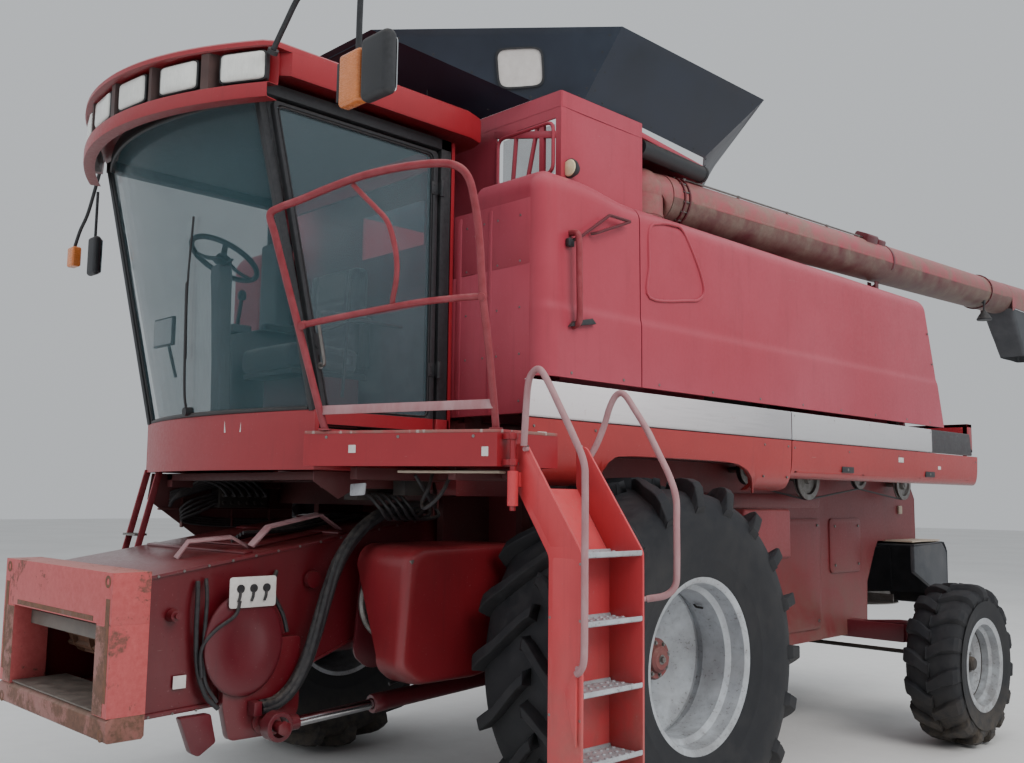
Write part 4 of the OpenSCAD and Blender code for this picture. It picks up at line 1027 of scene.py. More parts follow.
def stripe_band(name, side, y0, y1, body, mat="stripe", slant=False):
    prof = [(1.470, 2.034), (1.492, 2.034), (1.4965, 2.038), (1.4985, 2.045), (1.4985, 2.12), (1.4985, 2.197), (1.4965, 2.206), (1.492, 2.210), (1.470, 2.210)]
    n = int((y1 - y0) / 0.15)
    rows = []
    for (x, z) in prof:
        rows.append([(x + (wav(2, y0 + (y1 - y0) * k / n, z, 0.0012) - 0.0006 if x > 1.495 else 0), y0 + ((y1 - (z - 2.034) * 0.25 * slant) - y0) * k / n, z) for k in range(n + 1)])
    return sheet_grid(name, rows, mat, body, 0.003, side=side)


LOW2 = [(1.4985, 2.028), (1.4970, 1.96), (1.4945, 1.90), (1.488, 1.85), (1.478, 1.815), (1.463, 1.797), (1.445, 1.793), (1.436, 1.800)]
for sd in (1, -1):
    nm = "left" if sd > 0 else "right"
    lower_shield("arch_shield_%s" % nm, sd, -0.898, 1.449, True, "chassis", "shield")
    stripe_band("stripe_band_front_%s" % nm, sd, -0.898, 1.449, "chassis")
    if sd > 0:
        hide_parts("front_side_shields")
    # rolled bead of the arch, hinge pin, tags and fixing screws
    b = Buf()
    edge = [(-0.372, 1.70)] + [(y, max(z, 1.72)) for y, z in ARCH[2:-2]] + [(1.09, 1.70)]
    tube(b, [(sd * (belt_x(max(z, 1.735)) - 0.010), y, z + 0.002) for y, z in edge], 0.0075, 8, curve=True, ref=(1, 0, 0))
    b.make("arch_bead_%s" % nm, "shield")
    b = Buf()
    for y in (-0.86, -0.42, 1.14, 1.41):
        for z in (1.80, 1.99):
            b.add(*disc_prism((sd * (belt_x(z) - 0.002), y, z), (sd, 0, 0), 0.008, 0.005 if z > 1.9 else 0.008, 12, 0.006))
    v, f = disc_prism((sd * 1.485, 1.445, 2.200), (0, 1, 0), 0.0075, 0.09, 14)
    b.add(v, f)
    b.make("belt_screws_%s" % nm, "steel")
    b = Buf()
    b.add(*cuboid(*sorted((sd * 1.495, sd * 1.4990)), -0.835, -0.775, 1.93, 1.965))
    b.add(*cuboid(*sorted((sd * 1.490, sd * 1.4975)), -0.56, -0.52, 1.885, 1.912))
    b.make("blank_tags_front_%s" % nm, "white", bevel=0.001)
    body = "side_shield_%s" % nm
    lower_shield("rear_shield_sheet_%s" % nm, sd, 1.459, 4.398, False, body, "shield", LOW2)
    stripe_band("stripe_band_rear_%s" % nm, sd, 1.459, 4.289, body, slant=True)
    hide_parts("rear_shield_%s" % nm)
    b = Buf()
    # inner frame of the lifting shield
    for z in (1.83, 2.10):
        b.add(*cuboid(*sorted((sd * 1.462, sd * 1.484)), 1.50, 4.22, z, z + 0.03))
    for y in (1.50, 2.4, 3.3, 4.19):
        b.add(*cuboid(*sorted((sd * 1.462, sd * 1.484)), y, y + 0.03, 1.83, 2.19))
    b.make("shield_frame_%s" % nm, "shield", body, bevel=0.003)
    b = Buf()
    for y in (1.49, 2.2, 2.95, 3.7, 4.36):
        b.add(*disc_prism((sd * 1.4925, y, 1.985), (sd, 0, 0), 0.009, 0.006, 12, 0.007))
    for y in (1.49, 2.0, 2.5, 3.0, 3.5, 4.0):
        b.add(*disc_prism((sd * 1.494, y, 2.185), (sd, 0, 0), 0.0065, 0.0045, 12, 0.005))
    b.make("shield_screws_%s" % nm, "steel", body)
    b = Buf()
    for y in (2.1, 3.4):
        v, f = prism([(y, 1.845), (y + 0.16, 1.845), (y + 0.16, 1.885), (y, 1.885)], sd * 1.488, sd * 1.4975)
        b.add(v, f)
        b.add(*disc_prism((sd * 1.490, y + 0.08, 1.865), (sd, 0, 0), 0.012, 0.0085, 16, 0.010), 1)
    b.make("shield_latches_%s" % nm, ["plastic", "steel"], body, bevel=0.002)
    b = Buf()
    b.add(*cuboid(*sorted((sd * 1.490, sd * 1.4992)), 2.94, 3.02, 1.94, 1.975))
    b.add(*cuboid(*sorted((sd * 1.490, sd * 1.4985)), 3.62, 3.67, 1.905, 1.93))
    b.make("blank_tags_rear_%s" % nm, "white", body, bevel=0.001)

# front bulkhead: sheet with a frame, hidden behind the cab
b = Buf()
b.add(*prism([(-1.396, 2.06), (1.396, 2.06), (1.396, 2.79), (-1.396, 2.79)], -0.797, -0.768, "xz"))
for s in (1, -1):
    b.add(*prism([(s * 0.705, 2.79), (s * 1.396, 2.79), (s * 1.396, 3.12), (s * 0.705, 3.12)], -0.797, -0.768, "xz"))
for s in (1, -1):
    b.add(*cuboid(*sorted((s * 0.86, s * 0.90)), -0.7995, -0.790, 2.07, 3.10))
    b.add(*cuboid(*sorted((s * 1.10, s * 1.13)), -0.7995, -0.790, 2.07, 3.10))
ob = b.make("bulkhead_sheet", "panel", bevel=0.004)
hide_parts("front_bulkhead")
b = Buf()
for s in (1, -1):
    for z in (2.12, 2.35, 2.58, 2.81, 3.04):
        for x in (0.94, 1.07, 1.17, 1.33):
            b.add(*disc_prism((s * x, -0.795, z), (0, -1, 0), 0.007, 0.0045, 10, 0.005))
b.make("bulkhead_screws", "steel")


# ------------------------------------------------------------------ grain tank, dark extension
def tank_wall():
    """Outer walls of the tank above the panels, slightly dented."""
    plan = [(1.378, -0.558), (1.378, 0.108), (1.016, 0.112), (1.016, 1.206), (0.899, 1.368), (-1.378, 1.368), (-1.378, -0.558)]
    b = Buf()
    zt = 3.738
    n = len(plan)
    for i in range(n - 1):
        (x0, y0), (x1, y1) = plan[i], plan[i + 1]
        m = max(1, int(math.hypot(x1 - x0, y1 - y0) / 0.16))
        zs = [2.232, 2.6, 3.0, 3.2, 3.3, 3.4, 3.5, 3.6, zt]
        base = len(b.v)
        nx, ny = (y1 - y0), -(x1 - x0)
        L = math.hypot(nx, ny)
        nx, ny = nx / L, ny / L
        vs, fs = [], []
        for z in zs:
            for k in range(m + 1):
                x, y = x0 + (x1 - x0) * k / m, y0 + (y1 - y0) * k / m
                d = (wav(x, y, z, 0.003) - 0.003) if 0 < k < m else 0.0
                vs.append((x + nx * d, y + ny * d, z))
        for a in range(len(zs) - 1):
            for k in range(m):
                p = a * (m + 1) + k
                fs.append((p, p + 1, p + m + 2, p + m + 1))
        b.add(vs, fs)
    return b.make("tank_walls", "panel", solid=0.004)


tw = tank_wall()
# front wall with its two windows
b = Buf()
zt = 3.738
def wall_with_holes(b, xs, holes, y, z0, z1, mi=0, th=0.010):
    xs = sorted(set(xs))
    zs = sorted(set([z0, z1] + [h[2] for h in holes] + [h[3] for h in holes]))
    for xa, xb in zip(xs, xs[1:]):
        for za, zb in zip(zs, zs[1:]):
            mx, mz = (xa + xb) / 2, (za + zb) / 2
            if any(h[0] < mx < h[1] and h[2] < mz < h[3] for h in holes):
                continue
            b.add(*cuboid(xa, xb, y, y + th, za, zb), mi)


wall_with_holes(b, [-1.378, -0.3, 0.3, 0.90, 1.34, 1.378], [(0.90, 1.34, 3.30, 3.60), (-0.3, 0.3, 3.11, 3.38)], -0.558, 2.235, zt)
ob = b.make("tank_front_wall", "panel")
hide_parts("grain_tank")
b = Buf()
# sloping bottom and the shelf over the auger
b.add([(-1.37, -0.55, 3.10), (1.37, -0.55, 3.10), (1.37, 0.10, 2.66), (-1.37, 0.10, 2.66)], [(0, 1, 2, 3)])
b.add([(-1.37, 0.10, 2.66), (1.010, 0.10, 2.66), (1.010, 0.50, 2.66), (-1.37, 0.50, 2.66)], [(0, 1, 2, 3)])
b.add([(-1.37, 0.50, 2.66), (1.010, 0.50, 2.66), (1.010, 1.36, 3.05), (-1.37, 1.36, 3.05)], [(0, 1, 2, 3)])
b.make("tank_floor", "steel", solid=0.005)
b = Buf()
b.add(*prism([(1.0, 0.11), (1.376, 0.11), (1.286, 0.828), (1.0, 1.222)], 3.662, 3.695, "xy"))
b.make("tank_shelf", "panel", bevel=0.006)
# window frame, slanting struts, pressed lip and bar
b = Buf()
win = [(0.915, 3.315), (1.325, 3.315), (1.325, 3.585), (0.915, 3.585)]
path = bends([(x, -0.5595, z) for x, z in win + [win[0], win[1]]], 0.05, 5)[1:-1]
v, f = sweep(path, ring(0.010, 8), ref=(0, 1, 0))
b.add(v, f)
tube(b, [(1.02, -0.548, 3.31), (1.045, -0.548, 3.59)], 0.012, 8)
tube(b, [(1.13, -0.548, 3.31), (1.20, -0.548, 3.59)], 0.012, 8)
b.add(*cuboid(1.225, 1.255, -0.5595, -0.540, 3.31, 3.59))
b.make("tank_window_frame", "panel")
b = Buf()
b.add(*prism([(0.880, 3.600), (1.350, 3.490), (1.350, 3.530), (0.880, 3.642)], -0.5598, -0.545, "xz"))
b.make("tank_window_bar", "panel", bevel=0.005)
b = Buf()
b.add(*cuboid(0.93, 1.31, -0.535, -0.530, 3.32, 3.58))
b.make("tank_sight_glass", "glass")
# skirt between the collar and the extension
b = Buf()
b.add(*prism([(-1.374, 3.655), (1.374, 3.655), (1.374, 3.739), (-1.374, 3.739)], -0.5598, -0.554, "xz"))
b.add(*prism([(-0.552, 3.655), (0.104, 3.655), (0.104, 3.739), (-0.552, 3.739)], 1.3792, 1.374, "yz"))
b.make("tank_skirt", "panel")

FOOT = [(-1.378, -0.38), (-1.16, -0.558), (1.16, -0.558), (1.378, -0.38), (1.289, 0.83), (0.90, 1.368), (-1.16, 1.368), (-1.378, 1.15)]
RIM = [(-1.578, -0.31), (-0.60, -1.198), (0.60, -1.198), (1.578, -0.31), (1.578, 1.06), (0.60, 1.948), (-0.60, 1.948), (-1.578, 1.06)]
Z0, Z1 = 3.7405, 4.0985


def ext_point(i, u, t):
    """Point on panel i of the extension: u along it, t from foot to rim."""
    a, b_, c, d = FOOT[i], FOOT[(i + 1) % 8], RIM[i], RIM[(i + 1) % 8]
    x0, y0 = a[0] + (b_[0] - a[0]) * u, a[1] + (b_[1] - a[1]) * u
    x1, y1 = c[0] + (d[0] - c[0]) * u, c[1] + (d[1] - c[1]) * u
    return Vector((x0 + (x1 - x0) * t, y0 + (y1 - y0) * t, Z0 + (Z1 - Z0) * t))


def ext_normal(i):
    p = ext_point(i, 0.5, 0.5)
    n = (ext_point(i, 0.9, 0.5) - ext_point(i, 0.1, 0.5)).cross(ext_point(i, 0.5, 0.9) - ext_point(i, 0.5, 0.1)).normalized()
    c = Vector((0, 0.4, 3.9))
    return n if n.dot(p - c) > 0 else -n


rows = []
for t in [0, 0.02] + [0.06 + 0.09 * k for k in range(10)] + [0.955, 0.985, 1.0]:
    row = []
    for i in range(8):
        for k in range(9):
            u = k / 9
            p = ext_point(i, u, t)
            n = ext_normal(i)
            edge = min(u, 1 - u)
            bulge = -0.004 + 0.004 * noise.noise(p * 1.6) if 0.05 < edge and 0.05 < t < 0.97 else 0.0
            rib = 0.0
            p = p + n * (bulge + rib)
            row.append(p)
    rows.append(row)
# rolled flange at the rim, turned down on the inside
c = Vector((0, 0.375, 0))
lip = []
for p in rows[-1]:
    q = Vector((p.x, p.y, p.z))
    d = (c - Vector((q.x, q.y, 0))).normalized()
    lip.append(q + d * 0.034)
rows.append(lip)
rows.append([q + Vector((0, 0, -0.022)) for q in lip])
sheet_grid("extension_sheets", rows, "ext", "chassis", 0.004, side=1, smooth=28, closed=True)
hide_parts("tank_extension")
# folded edge strips along each corner are worked out and then dropped; bolts along the corners and the foot
b = Buf()
for i in range(8):
    n0, n1 = ext_normal(i - 1), ext_normal(i)
    p0, p1 = ext_point(i, 0, 0.04), ext_point(i, 0, 0.955)
    d = (n0 + n1).normalized() * -0.001
    along = (ext_point(i, 1, 0.5) - ext_point(i, 0, 0.5)).normalized()
    back = (ext_point(i - 1, 0, 0.5) - ext_point(i - 1, 1, 0.5)).normalized()
    vs = [p0 + along * 0.045, p0 + d * 0, p0 + back * 0.045, p1 + along * 0.045, p1 + d * 0, p1 + back * 0.045]
    off = [n1 * 0.0005, (n0 + n1) * 0.0003, n0 * 0.0005] * 2
    b.add([v - o * 0 - (n0 + n1).normalized() * 0.0008 for v, o in zip(vs, off)], [(0, 1, 4, 3), (1, 2, 5, 4)])
b = Buf()
for i in range(8):
    n1 = ext_normal(i)
    for u in (0.035, 0.965):
        for t in (0.15, 0.4, 0.65, 0.88):
            p = ext_point(i, u, t) - n1 * 0.0055
            b.add(*disc_prism(p, n1, 0.009, 0.0045, 10, 0.007))
    for u in (0.12, 0.3, 0.5, 0.7, 0.88):
        p = ext_point(i, u, 0.05) - n1 * 0.0055
        b.add(*disc_prism(p, n1, 0.008, 0.0045, 10, 0.006))
b.make("extension_bolts", "plastic")
# ------------------------------------------------------------------ cab
def bow(y, x, b, n):
    return [(x * (-1 + 2 * i / n), y - b * (1 - (-1 + 2 * i / n) ** 2)) for i in range(n + 1)]


def plan_loop(y, x, b, yr, rc, n=28):
    """Closed plan of the roof: bowed front, rounded corners, straight sides and back."""
    front = bow(y, x - rc * 0.6, b, n)
    pts = [(px, py) for px, py in front]
    right = [(x, y + rc * 0.8), (x, y + 0.3), (x, (y + yr) / 2), (x, yr - 0.12), (x - 0.03, yr - 0.03), (x - 0.12, yr)]
    back = [(x - 0.12 - (2 * x - 0.24) * k / 8, yr) for k in range(1, 8)]
    left = [(-p[0], p[1]) for p in reversed(right)]
    return pts + right + back + left


def cab_roof():
    lv = [(3.532, -1.930, 0.944, 0.300, -0.664), (3.545, -1.930, 0.9485, 0.300, -0.662), (3.640, -1.930, 0.9485, 0.300, -0.662),
          (3.6425, -2.003, 0.948, 0.306, -0.662), (3.648, -2.010, 0.948, 0.308, -0.663), (3.668, -2.010, 0.944, 0.307, -0.667), (3.680, -2.004, 0.930, 0.303, -0.676),
          (3.687, -1.992, 0.902, 0.296, -0.690), (3.6915, -1.972, 0.850, 0.284, -0.712), (3.6925, -1.950, 0.800, 0.270, -0.735)]
    rows = []
    for z, y, x, b_, yr in lv:
        rows.append([(px, py, z) for px, py in plan_loop(y, x, b_, yr, 0.06)])
    # flat top, set a little lower inside its edge
    last = rows[-1]
    c = (0, -1.4)
    for s in (0.93, 0.90, 0.6, 0.3, 0.0):
        rows.append([(c[0] + (p[0] - c[0]) * s, c[1] + (p[1] - c[1]) * s, 3.6935 - (0.010 if s < 0.93 else 0)) for p in last])
    # underside, a little hollow
    under = [[(p[0] * s, c[1] + (p[1] - c[1]) * s, z) for p in rows[0]] for s, z in ((0.0, 3.556), (0.80, 3.556), (0.95, 3.545), (0.985, 3.532))]
    rows = under + rows
    return sheet_grid("cab_roof_shell", rows, "cabred", "chassis", 0, side=1, smooth=32, closed=True)


ob = cab_roof()
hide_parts("cab_roof")


def fascia():
    """Bowed lamp fascia with six recesses: lips above and below, brown inside as painted shade."""
    n = 96
    def front(z, inset):
        return [(x, y + inset) for x, y in bow(-2.006, 0.946, 0.296, n)]
    def bay(x):
        for i in (-2.5, -1.5, -0.5, 0.5, 1.5, 2.5):
            if abs(x - i * 0.268 * 1.22) < 0.138:
                return True
        return False
    prof = [(3.402, 0.060), (3.4015, 0.010), (3.404, 0.002), (3.414, 0.0), (3.462, 0.0), (3.470, 0.002), (3.474, 0.010), (3.478, 0.064), (3.53, 0.068), (3.60, 0.068),
            (3.634, 0.064), (3.6412, 0.056)]
    v, f, mi = [], [], []
    for z, d in prof:
        for (x, y) in bow(-2.006, 0.946, 0.296, n):
            dd = d
            if z > 3.475 and not bay(x):
                dd = 0.012 if abs(x) < 0.905 else 0.0
            k = 1 - (x / 0.946) ** 2
            yy = y + max(dd, 0)
            xx = x * (1 - max(dd, 0) * 0.25)
            v.append((xx, yy, z))
    m = n + 1
    for i in range(len(prof) - 1):
        for k in range(n):
            f.append((i * m + k, i * m + k + 1, (i + 1) * m + k + 1, (i + 1) * m + k))
            zc = (prof[i][0] + prof[i + 1][0]) / 2
            # faces inside the recesses get the brown painted shade
            mi.append(1 if zc > 3.475 and abs(-0.946 + 1.892 * (k + 0.5) / n) < 0.915 else 0)
    ob = mk_multi("lamp_fascia", v, f, mi, ["cabred", "recess"], "chassis", smooth=40, solid=0.003, offset=-1)
    return ob


fascia()
b = Buf()
lens = Buf()
def bow_y(x, y=-2.006, w=0.946, bb=0.296):
    return y - bb * (1 - (x / w) ** 2)


for i in (-2.5, -1.5, -0.5, 0.5, 1.5, 2.5):
    x = i * 0.268 * 1.22
    y = bow_y(x) + 0.040
    sl = 2 * 0.296 * x / 0.946 ** 2
    t = Vector((1, sl, 0)).normalized()
    nn = Vector((t.y, -t.x, 0))
    c = Vector((x, y - 0.010, 3.558))
    def q(a, bz, o):
        return c + t * a + Vector((0, 0, bz)) + nn * o
    # lamp body and a domed lens with rounded corners
    loop = [(math.copysign(abs(math.cos(k * math.pi / 12)) ** 0.22, math.cos(k * math.pi / 12)) * 0.114, math.copysign(abs(math.sin(k * math.pi / 12)) ** 0.22, math.sin(k * math.pi / 12)) * 0.066) for k in range(24)]
    lay = [(1.06, -0.022), (1.06, 0.004), (1.0, 0.007)]
    vs, fs = [], []
    for s, o in lay:
        vs += [q(a * s, bz * s, o) for a, bz in loop]
    for r_ in range(len(lay) - 1):
        fs += [(r_ * 24 + k, r_ * 24 + (k + 1) % 24, (r_ + 1) * 24 + (k + 1) % 24, (r_ + 1) * 24 + k) for k in range(24)]
    b.add(vs, fs)
    lay = [(0.98, 0.004), (0.97, 0.010), (0.86, 0.0155), (0.5, 0.0185), (0.0, 0.0195)]
    vs, fs = [], []
    for s, o in lay:
        vs += [q(a * s, bz * s, o) for a, bz in loop]
    for r_ in range(len(lay) - 1):
        fs += [(r_ * 24 + k, r_ * 24 + (k + 1) % 24, (r_ + 1) * 24 + (k + 1) % 24, (r_ + 1) * 24 + k) for k in range(24)]
    lens.add(vs, fs)
b.make("lamp_bodies", "plastic")
ob = lens.make("lamp_lenses", "lens", smooth=60)

# headliner underneath the roof
mk("cab_headliner", *prism([(-0.76, -1.93), (-0.5, -2.02), (0, -2.08), (0.5, -2.02), (0.76, -1.93), (0.76, -0.86), (-0.76, -0.86)], 3.508, 3.5265, "xy"), "liner", bevel=0.006)


def screen_pt(u, t, dy=0.0, x0=0.792, x1=0.760):
    """Point on the windscreen: u from -1 to 1 across, t from 0 to 1 up."""
    w = x0 + (x1 - x0) * t
    z = 2.05 + 1.41 * t
    y = (-1.625 + (-1.958 + 1.625) * t) - (0.140 + 0.030 * t) * (1 - u * u)
    return Vector((w * u, y + dy, z))


# cab frame: sill band, rolled pillars with rubber seals, rear posts, back wall
b = Buf()
rows = []
for x, z in ((0.0, 1.772), (0.0, 1.86), (0.003, 1.95), (0.004, 2.02), (0.0, 2.044), (-0.018, 2.049)):
    row = []
    for px, py in bow(-1.6275, 0.847, 0.138, 32):
        row.append((px * (1 + x * 0.3), py - x * 0.4, z))
    rows.append(row)
sheet_grid("cab_sill_front", rows, "cabred", "chassis", 0.012, side=1, smooth=40)
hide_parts("cab_frame")
b = Buf()
b.add(*prism([(-1.63, 1.772), (-1.632, 2.048), (-1.604, 2.048), (-1.604, 1.963), (-0.905, 1.963), (-0.905, 2.048), (-0.814, 2.048), (-0.814, 1.772)], 0.806, 0.8485, "yz"))
b.add(*prism([(-1.63, 1.772), (-1.632, 2.048), (-0.814, 2.048), (-0.814, 1.772)], -0.8485, -0.806, "yz"))
b.make("cab_sill_sides", "cabred", bevel=0.006)
b = Buf()
for s in (1, -1):
    # front pillar: rounded box section from sill to roof
    p0, p1 = Vector((0.822 * s, -1.625, 2.046)), Vector((0.790 * s, -1.955, 3.47))
    prof = [(-0.016, -0.013), (-0.013, -0.016), (0.013, -0.016), (0.016, -0.013), (0.016, 0.022), (0.013, 0.025), (-0.013, 0.025), (-0.016, 0.022)]
    v, f = sweep([p0 + (p1 - p0) * k / 10 for k in range(11)], prof, ref=(1, 0, 0))
    b.add(v, f)
    b.add(*cuboid(*sorted((s * 0.770, s * 0.848)), -0.903, -0.837, 2.046, 3.518))
    b.add(*cuboid(*sorted((s * 0.768, s * 0.848)), -1.955, -0.837, 3.462, 3.518))
b.make("cab_pillars", "plastic", bevel=0.004)
b = Buf()
b.add(*prism([(-0.774, 2.052), (0.774, 2.052), (0.774, 2.70), (-0.774, 2.70)], -0.844, -0.813, "xz"))
b.add(*prism([(-0.774, 3.40), (0.774, 3.40), (0.774, 3.518), (-0.774, 3.518)], -0.844, -0.813, "xz"))
for s in (1, -1):
    b.add(*prism([(s * 0.690, 2.70), (s * 0.774, 2.70), (s * 0.774, 3.40), (s * 0.690, 3.40)], -0.844, -0.813, "xz"))
b.add(*prism([(-0.75, 2.06), (0.75, 2.06), (0.75, 2.66), (-0.75, 2.66)], -0.852, -0.845, "xz"), 1)
b.make("cab_back_wall", ["panel", "liner"], bevel=0.006)
# red corner skin outside the rear post
b = Buf()
for s in (1, -1):
    pts = bends([(s * 0.8485, -0.832, 0), (s * 0.8485, -0.804, 0), (s * 0.80, -0.803, 0)], 0.03, 5)
    v = [(p.x, p.y, z) for z in (1.78, 2.4, 3.0, 3.515) for p in pts]
    m = len(pts)
    b.add(v, [(i * m + k, i * m + k + 1, (i + 1) * m + k + 1, (i + 1) * m + k) for i in range(3) for k in range(m - 1)])
b.make("cab_rear_corners", "cabred", solid=0.003)
# header over the windscreen and its rubber seal
rows = []
for dy, z in ((0.0, 3.462), (-0.003, 3.475), (-0.003, 3.500), (0.0, 3.516)):
    rows.append([(px, py + dy, z) for px, py in bow(-1.960, 0.768, 0.168, 32)])
sheet_grid("cab_header", rows, "plastic", "chassis", 0.020, side=1)
b = Buf()
for t in (0.004, 0.994):
    v, f = sweep([screen_pt(-1 + k / 16, t, -0.003) for k in range(33)], ring(0.011, 8))
    b.add(v, f)
for s in (1, -1):
    v, f = sweep([screen_pt(s, k / 12, -0.002) + Vector((s * 0.008, 0.006, 0)) for k in range(13)], ring(0.011, 8), ref=(1, 0, 0))
    b.add(v, f)
b.make("screen_seal", "hose")
# wiper
b = Buf()
base = screen_pt(-0.1, 0.015, -0.020)
tip = screen_pt(0.33, 0.60, -0.022)
tube(b, [base, screen_pt(-0.04, 0.10, -0.030), screen_pt(0.16, 0.36, -0.030), screen_pt(0.22, 0.45, -0.026)], 0.007, 8, curve=True)
tube(b, [screen_pt(0.02, 0.20, -0.018), screen_pt(0.20, 0.43, -0.020), screen_pt(0.40, 0.66, -0.018)], 0.006, 6, curve=True)
b.add(*disc_prism(base + Vector((0, -0.014, 0)), (0, 1, 0.1), 0.022, 0.045, 20))
b.make("windscreen_wiper", "plastic")
# small cleaning step under the right front corner
b = Buf()
for x in (-0.843, -0.697):
    b.add(*prism([(-1.640, 1.788), (-1.602, 1.788), (-1.754, 1.182), (-1.790, 1.182)], x + 0.001, x + 0.013, "yz"))
b.make("cleaning_step_sides", "railred", bevel=0.002)
b = Buf()
for z in (1.23, 1.42):
    y = -1.80 + (z - 1.18) * 0.2
    b.add(*cuboid(-0.838, -0.688, y + 0.002, y + 0.073, z + 0.001, z + 0.013))
    for k in range(6):
        b.add(*cuboid(-0.834 + k * 0.025, -0.822 + k * 0.025, y + 0.002, y + 0.073, z + 0.009, z + 0.0135))
b.make("cleaning_steps", "steel", bevel=0.001)
# blank plate on the sill
b = Buf()
b.add(*[(lambda vf: vf[0])(prism([(0, 0), (0.13, 0), (0.13, 0.055), (0, 0.055)], 0, 0.002, "xz")), (lambda vf: vf[1])(prism([(0, 0), (0.13, 0), (0.13, 0.055), (0, 0.055)], 0, 0.002, "xz"))])
vs = []
for p in b.v:
    x = 0.25 + p.x
    vs.append(Vector((x, -1.6285 - 0.138 * (1 - (x / 0.847) ** 2) - 0.0005 + p.y, 1.955 + p.z)))
b.v = vs
b.make("sill_blank_plate", "white")

# ------------------------------------------------------------------ cab door (hinged)
def poly_inset(poly, d):
    n = len(poly)
    out = []
    area = sum(poly[i][0] * poly[(i + 1) % n][1] - poly[(i + 1) % n][0] * poly[i][1] for i in range(n))
    s = 1 if area > 0 else -1
    for i in range(n):
        a, p, c = Vector(poly[i - 1]), Vector(poly[i]), Vector(poly[(i + 1) % n])
        e0, e1 = (p - a).normalized(), (c - p).normalized()
        n0, n1 = Vector((-e0.y, e0.x)) * s, Vector((-e1.y, e1.x)) * s
        m = (n0 + n1).normalized()
        out.append(p + m * (d / max(0.3, m.dot(n0))))
    return out


def frame_band(outer, inner, x0, x1, name, mat, body, bevel=0.004, mi=None):
    n = len(outer)
    v = [(x, p[0], p[1]) for x in (x0, x1) for q in (outer, inner) for p in q]
    f = []
    for k in range(n):
        j = (k + 1) % n
        f += [(k, j, 2 * n + j, 2 * n + k), (n + j, n + k, 3 * n + k, 3 * n + j), (j, k, n + k, n + j), (2 * n + k, 2 * n + j, 3 * n + j, 3 * n + k)]
    ob = mk(name, v, f, mat, body, bevel=bevel)
    fix_normals(ob)
    return ob


def round_poly(poly, r, n=5):
    m = len(poly)
    out = []
    for i in range(m):
        a, p, c = Vector(poly[i - 1]), Vector(poly[i]), Vector(poly[(i + 1) % m])
        u, w = (a - p), (c - p)
        q = min(r, u.length * 0.4, w.length * 0.4)
        s, e = p + u.normalized() * q, p + w.normalized() * q
        for k in range(n + 1):
            t = k / n
            out.append(s * (1 - t) ** 2 + p * 2 * t * (1 - t) + e * t * t)
    return out


DO = [(-1.570, 1.980), (-1.588, 2.050), (-1.911, 3.444), (-0.920, 3.444), (-0.920, 1.980)]
outer = round_poly(DO, 0.03)
inner = round_poly([(-1.560, 2.050), (-1.568, 2.080), (-1.889, 3.428), (-0.952, 3.428), (-0.952, 2.050)], 0.03)
ob = frame_band(outer, inner, 0.808, 0.8445, "door_frame", "plastic", "door", 0.005)
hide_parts("cab_door")
b = Buf()
path = [Vector((0.8400, p.x, p.y)) for p in round_poly([(-1.558, 2.056), (-1.882, 3.421), (-0.960, 3.421), (-0.960, 2.056)], 0.035)]
v, f = sweep(path, ring(0.0048, 8), ref=(1, 0, 0), closed=True)
b.add(v, f)
path = [Vector((0.812, p.x, p.y)) for p in round_poly([(-1.558, 2.056), (-1.882, 3.421), (-0.960, 3.421), (-0.960, 2.056)], 0.035)]
v, f = sweep(path, ring(0.0048, 8), ref=(1, 0, 0), closed=True)
b.add(v, f)
b.make("door_seal", "hose", "door")
b = Buf()
b.add(*prism([(-1.566, 1.984), (-1.580, 2.046), (-0.925, 2.046), (-0.925, 1.984)], 0.8442, 0.8458, "yz"))
b.make("door_foot_panel", "cabred", "door")
# bonded pane that runs almost to the edges of the door, a little bowed outwards
rows = []
GP = [(-1.556, 2.058), (-1.880, 3.419), (-0.962, 3.419), (-0.962, 2.058)]
for i in range(13):
    t = i / 12
    row = []
    for k in range(13):
        u = k / 12
        y = (GP[0][0] + (GP[1][0] - GP[0][0]) * t) * (1 - u) + (GP[3][0] + (GP[2][0] - GP[3][0]) * t) * u
        z = GP[0][1] + (GP[1][1] - GP[0][1]) * t
        row.append((0.8335 + 0.006 * math.sin(math.pi * u) * math.sin(math.pi * t), y, z))
    rows.append(row)
ob = sheet_grid("door_pane", rows, "glass_door", "door", 0.004, smooth=60)
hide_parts("door_glass")
b = Buf()
tube(b, [(0.838, -1.609, 2.252), (0.880, -1.609, 2.252), (0.880, -1.652, 2.448), (0.838, -1.652, 2.448)], 0.0085, 12, 0.02, ref=(0, 1, 0))
for y, z in ((-1.609, 2.252), (-1.652, 2.448)):
    b.add(*disc_prism((0.843, y, z), (1, 0, 0), 0.016, 0.004, 16))
b.make("door_pull", "steel", "door")
b = Buf()
b.add(*prism([(-1.640, 2.30), (-1.600, 2.30), (-1.620, 2.40), (-1.655, 2.40)], 0.8440, 0.8459, "yz"))
b.add(*disc_prism((0.8450, -1.628, 2.34), (1, 0, 0), 0.011, 0.006, 16))
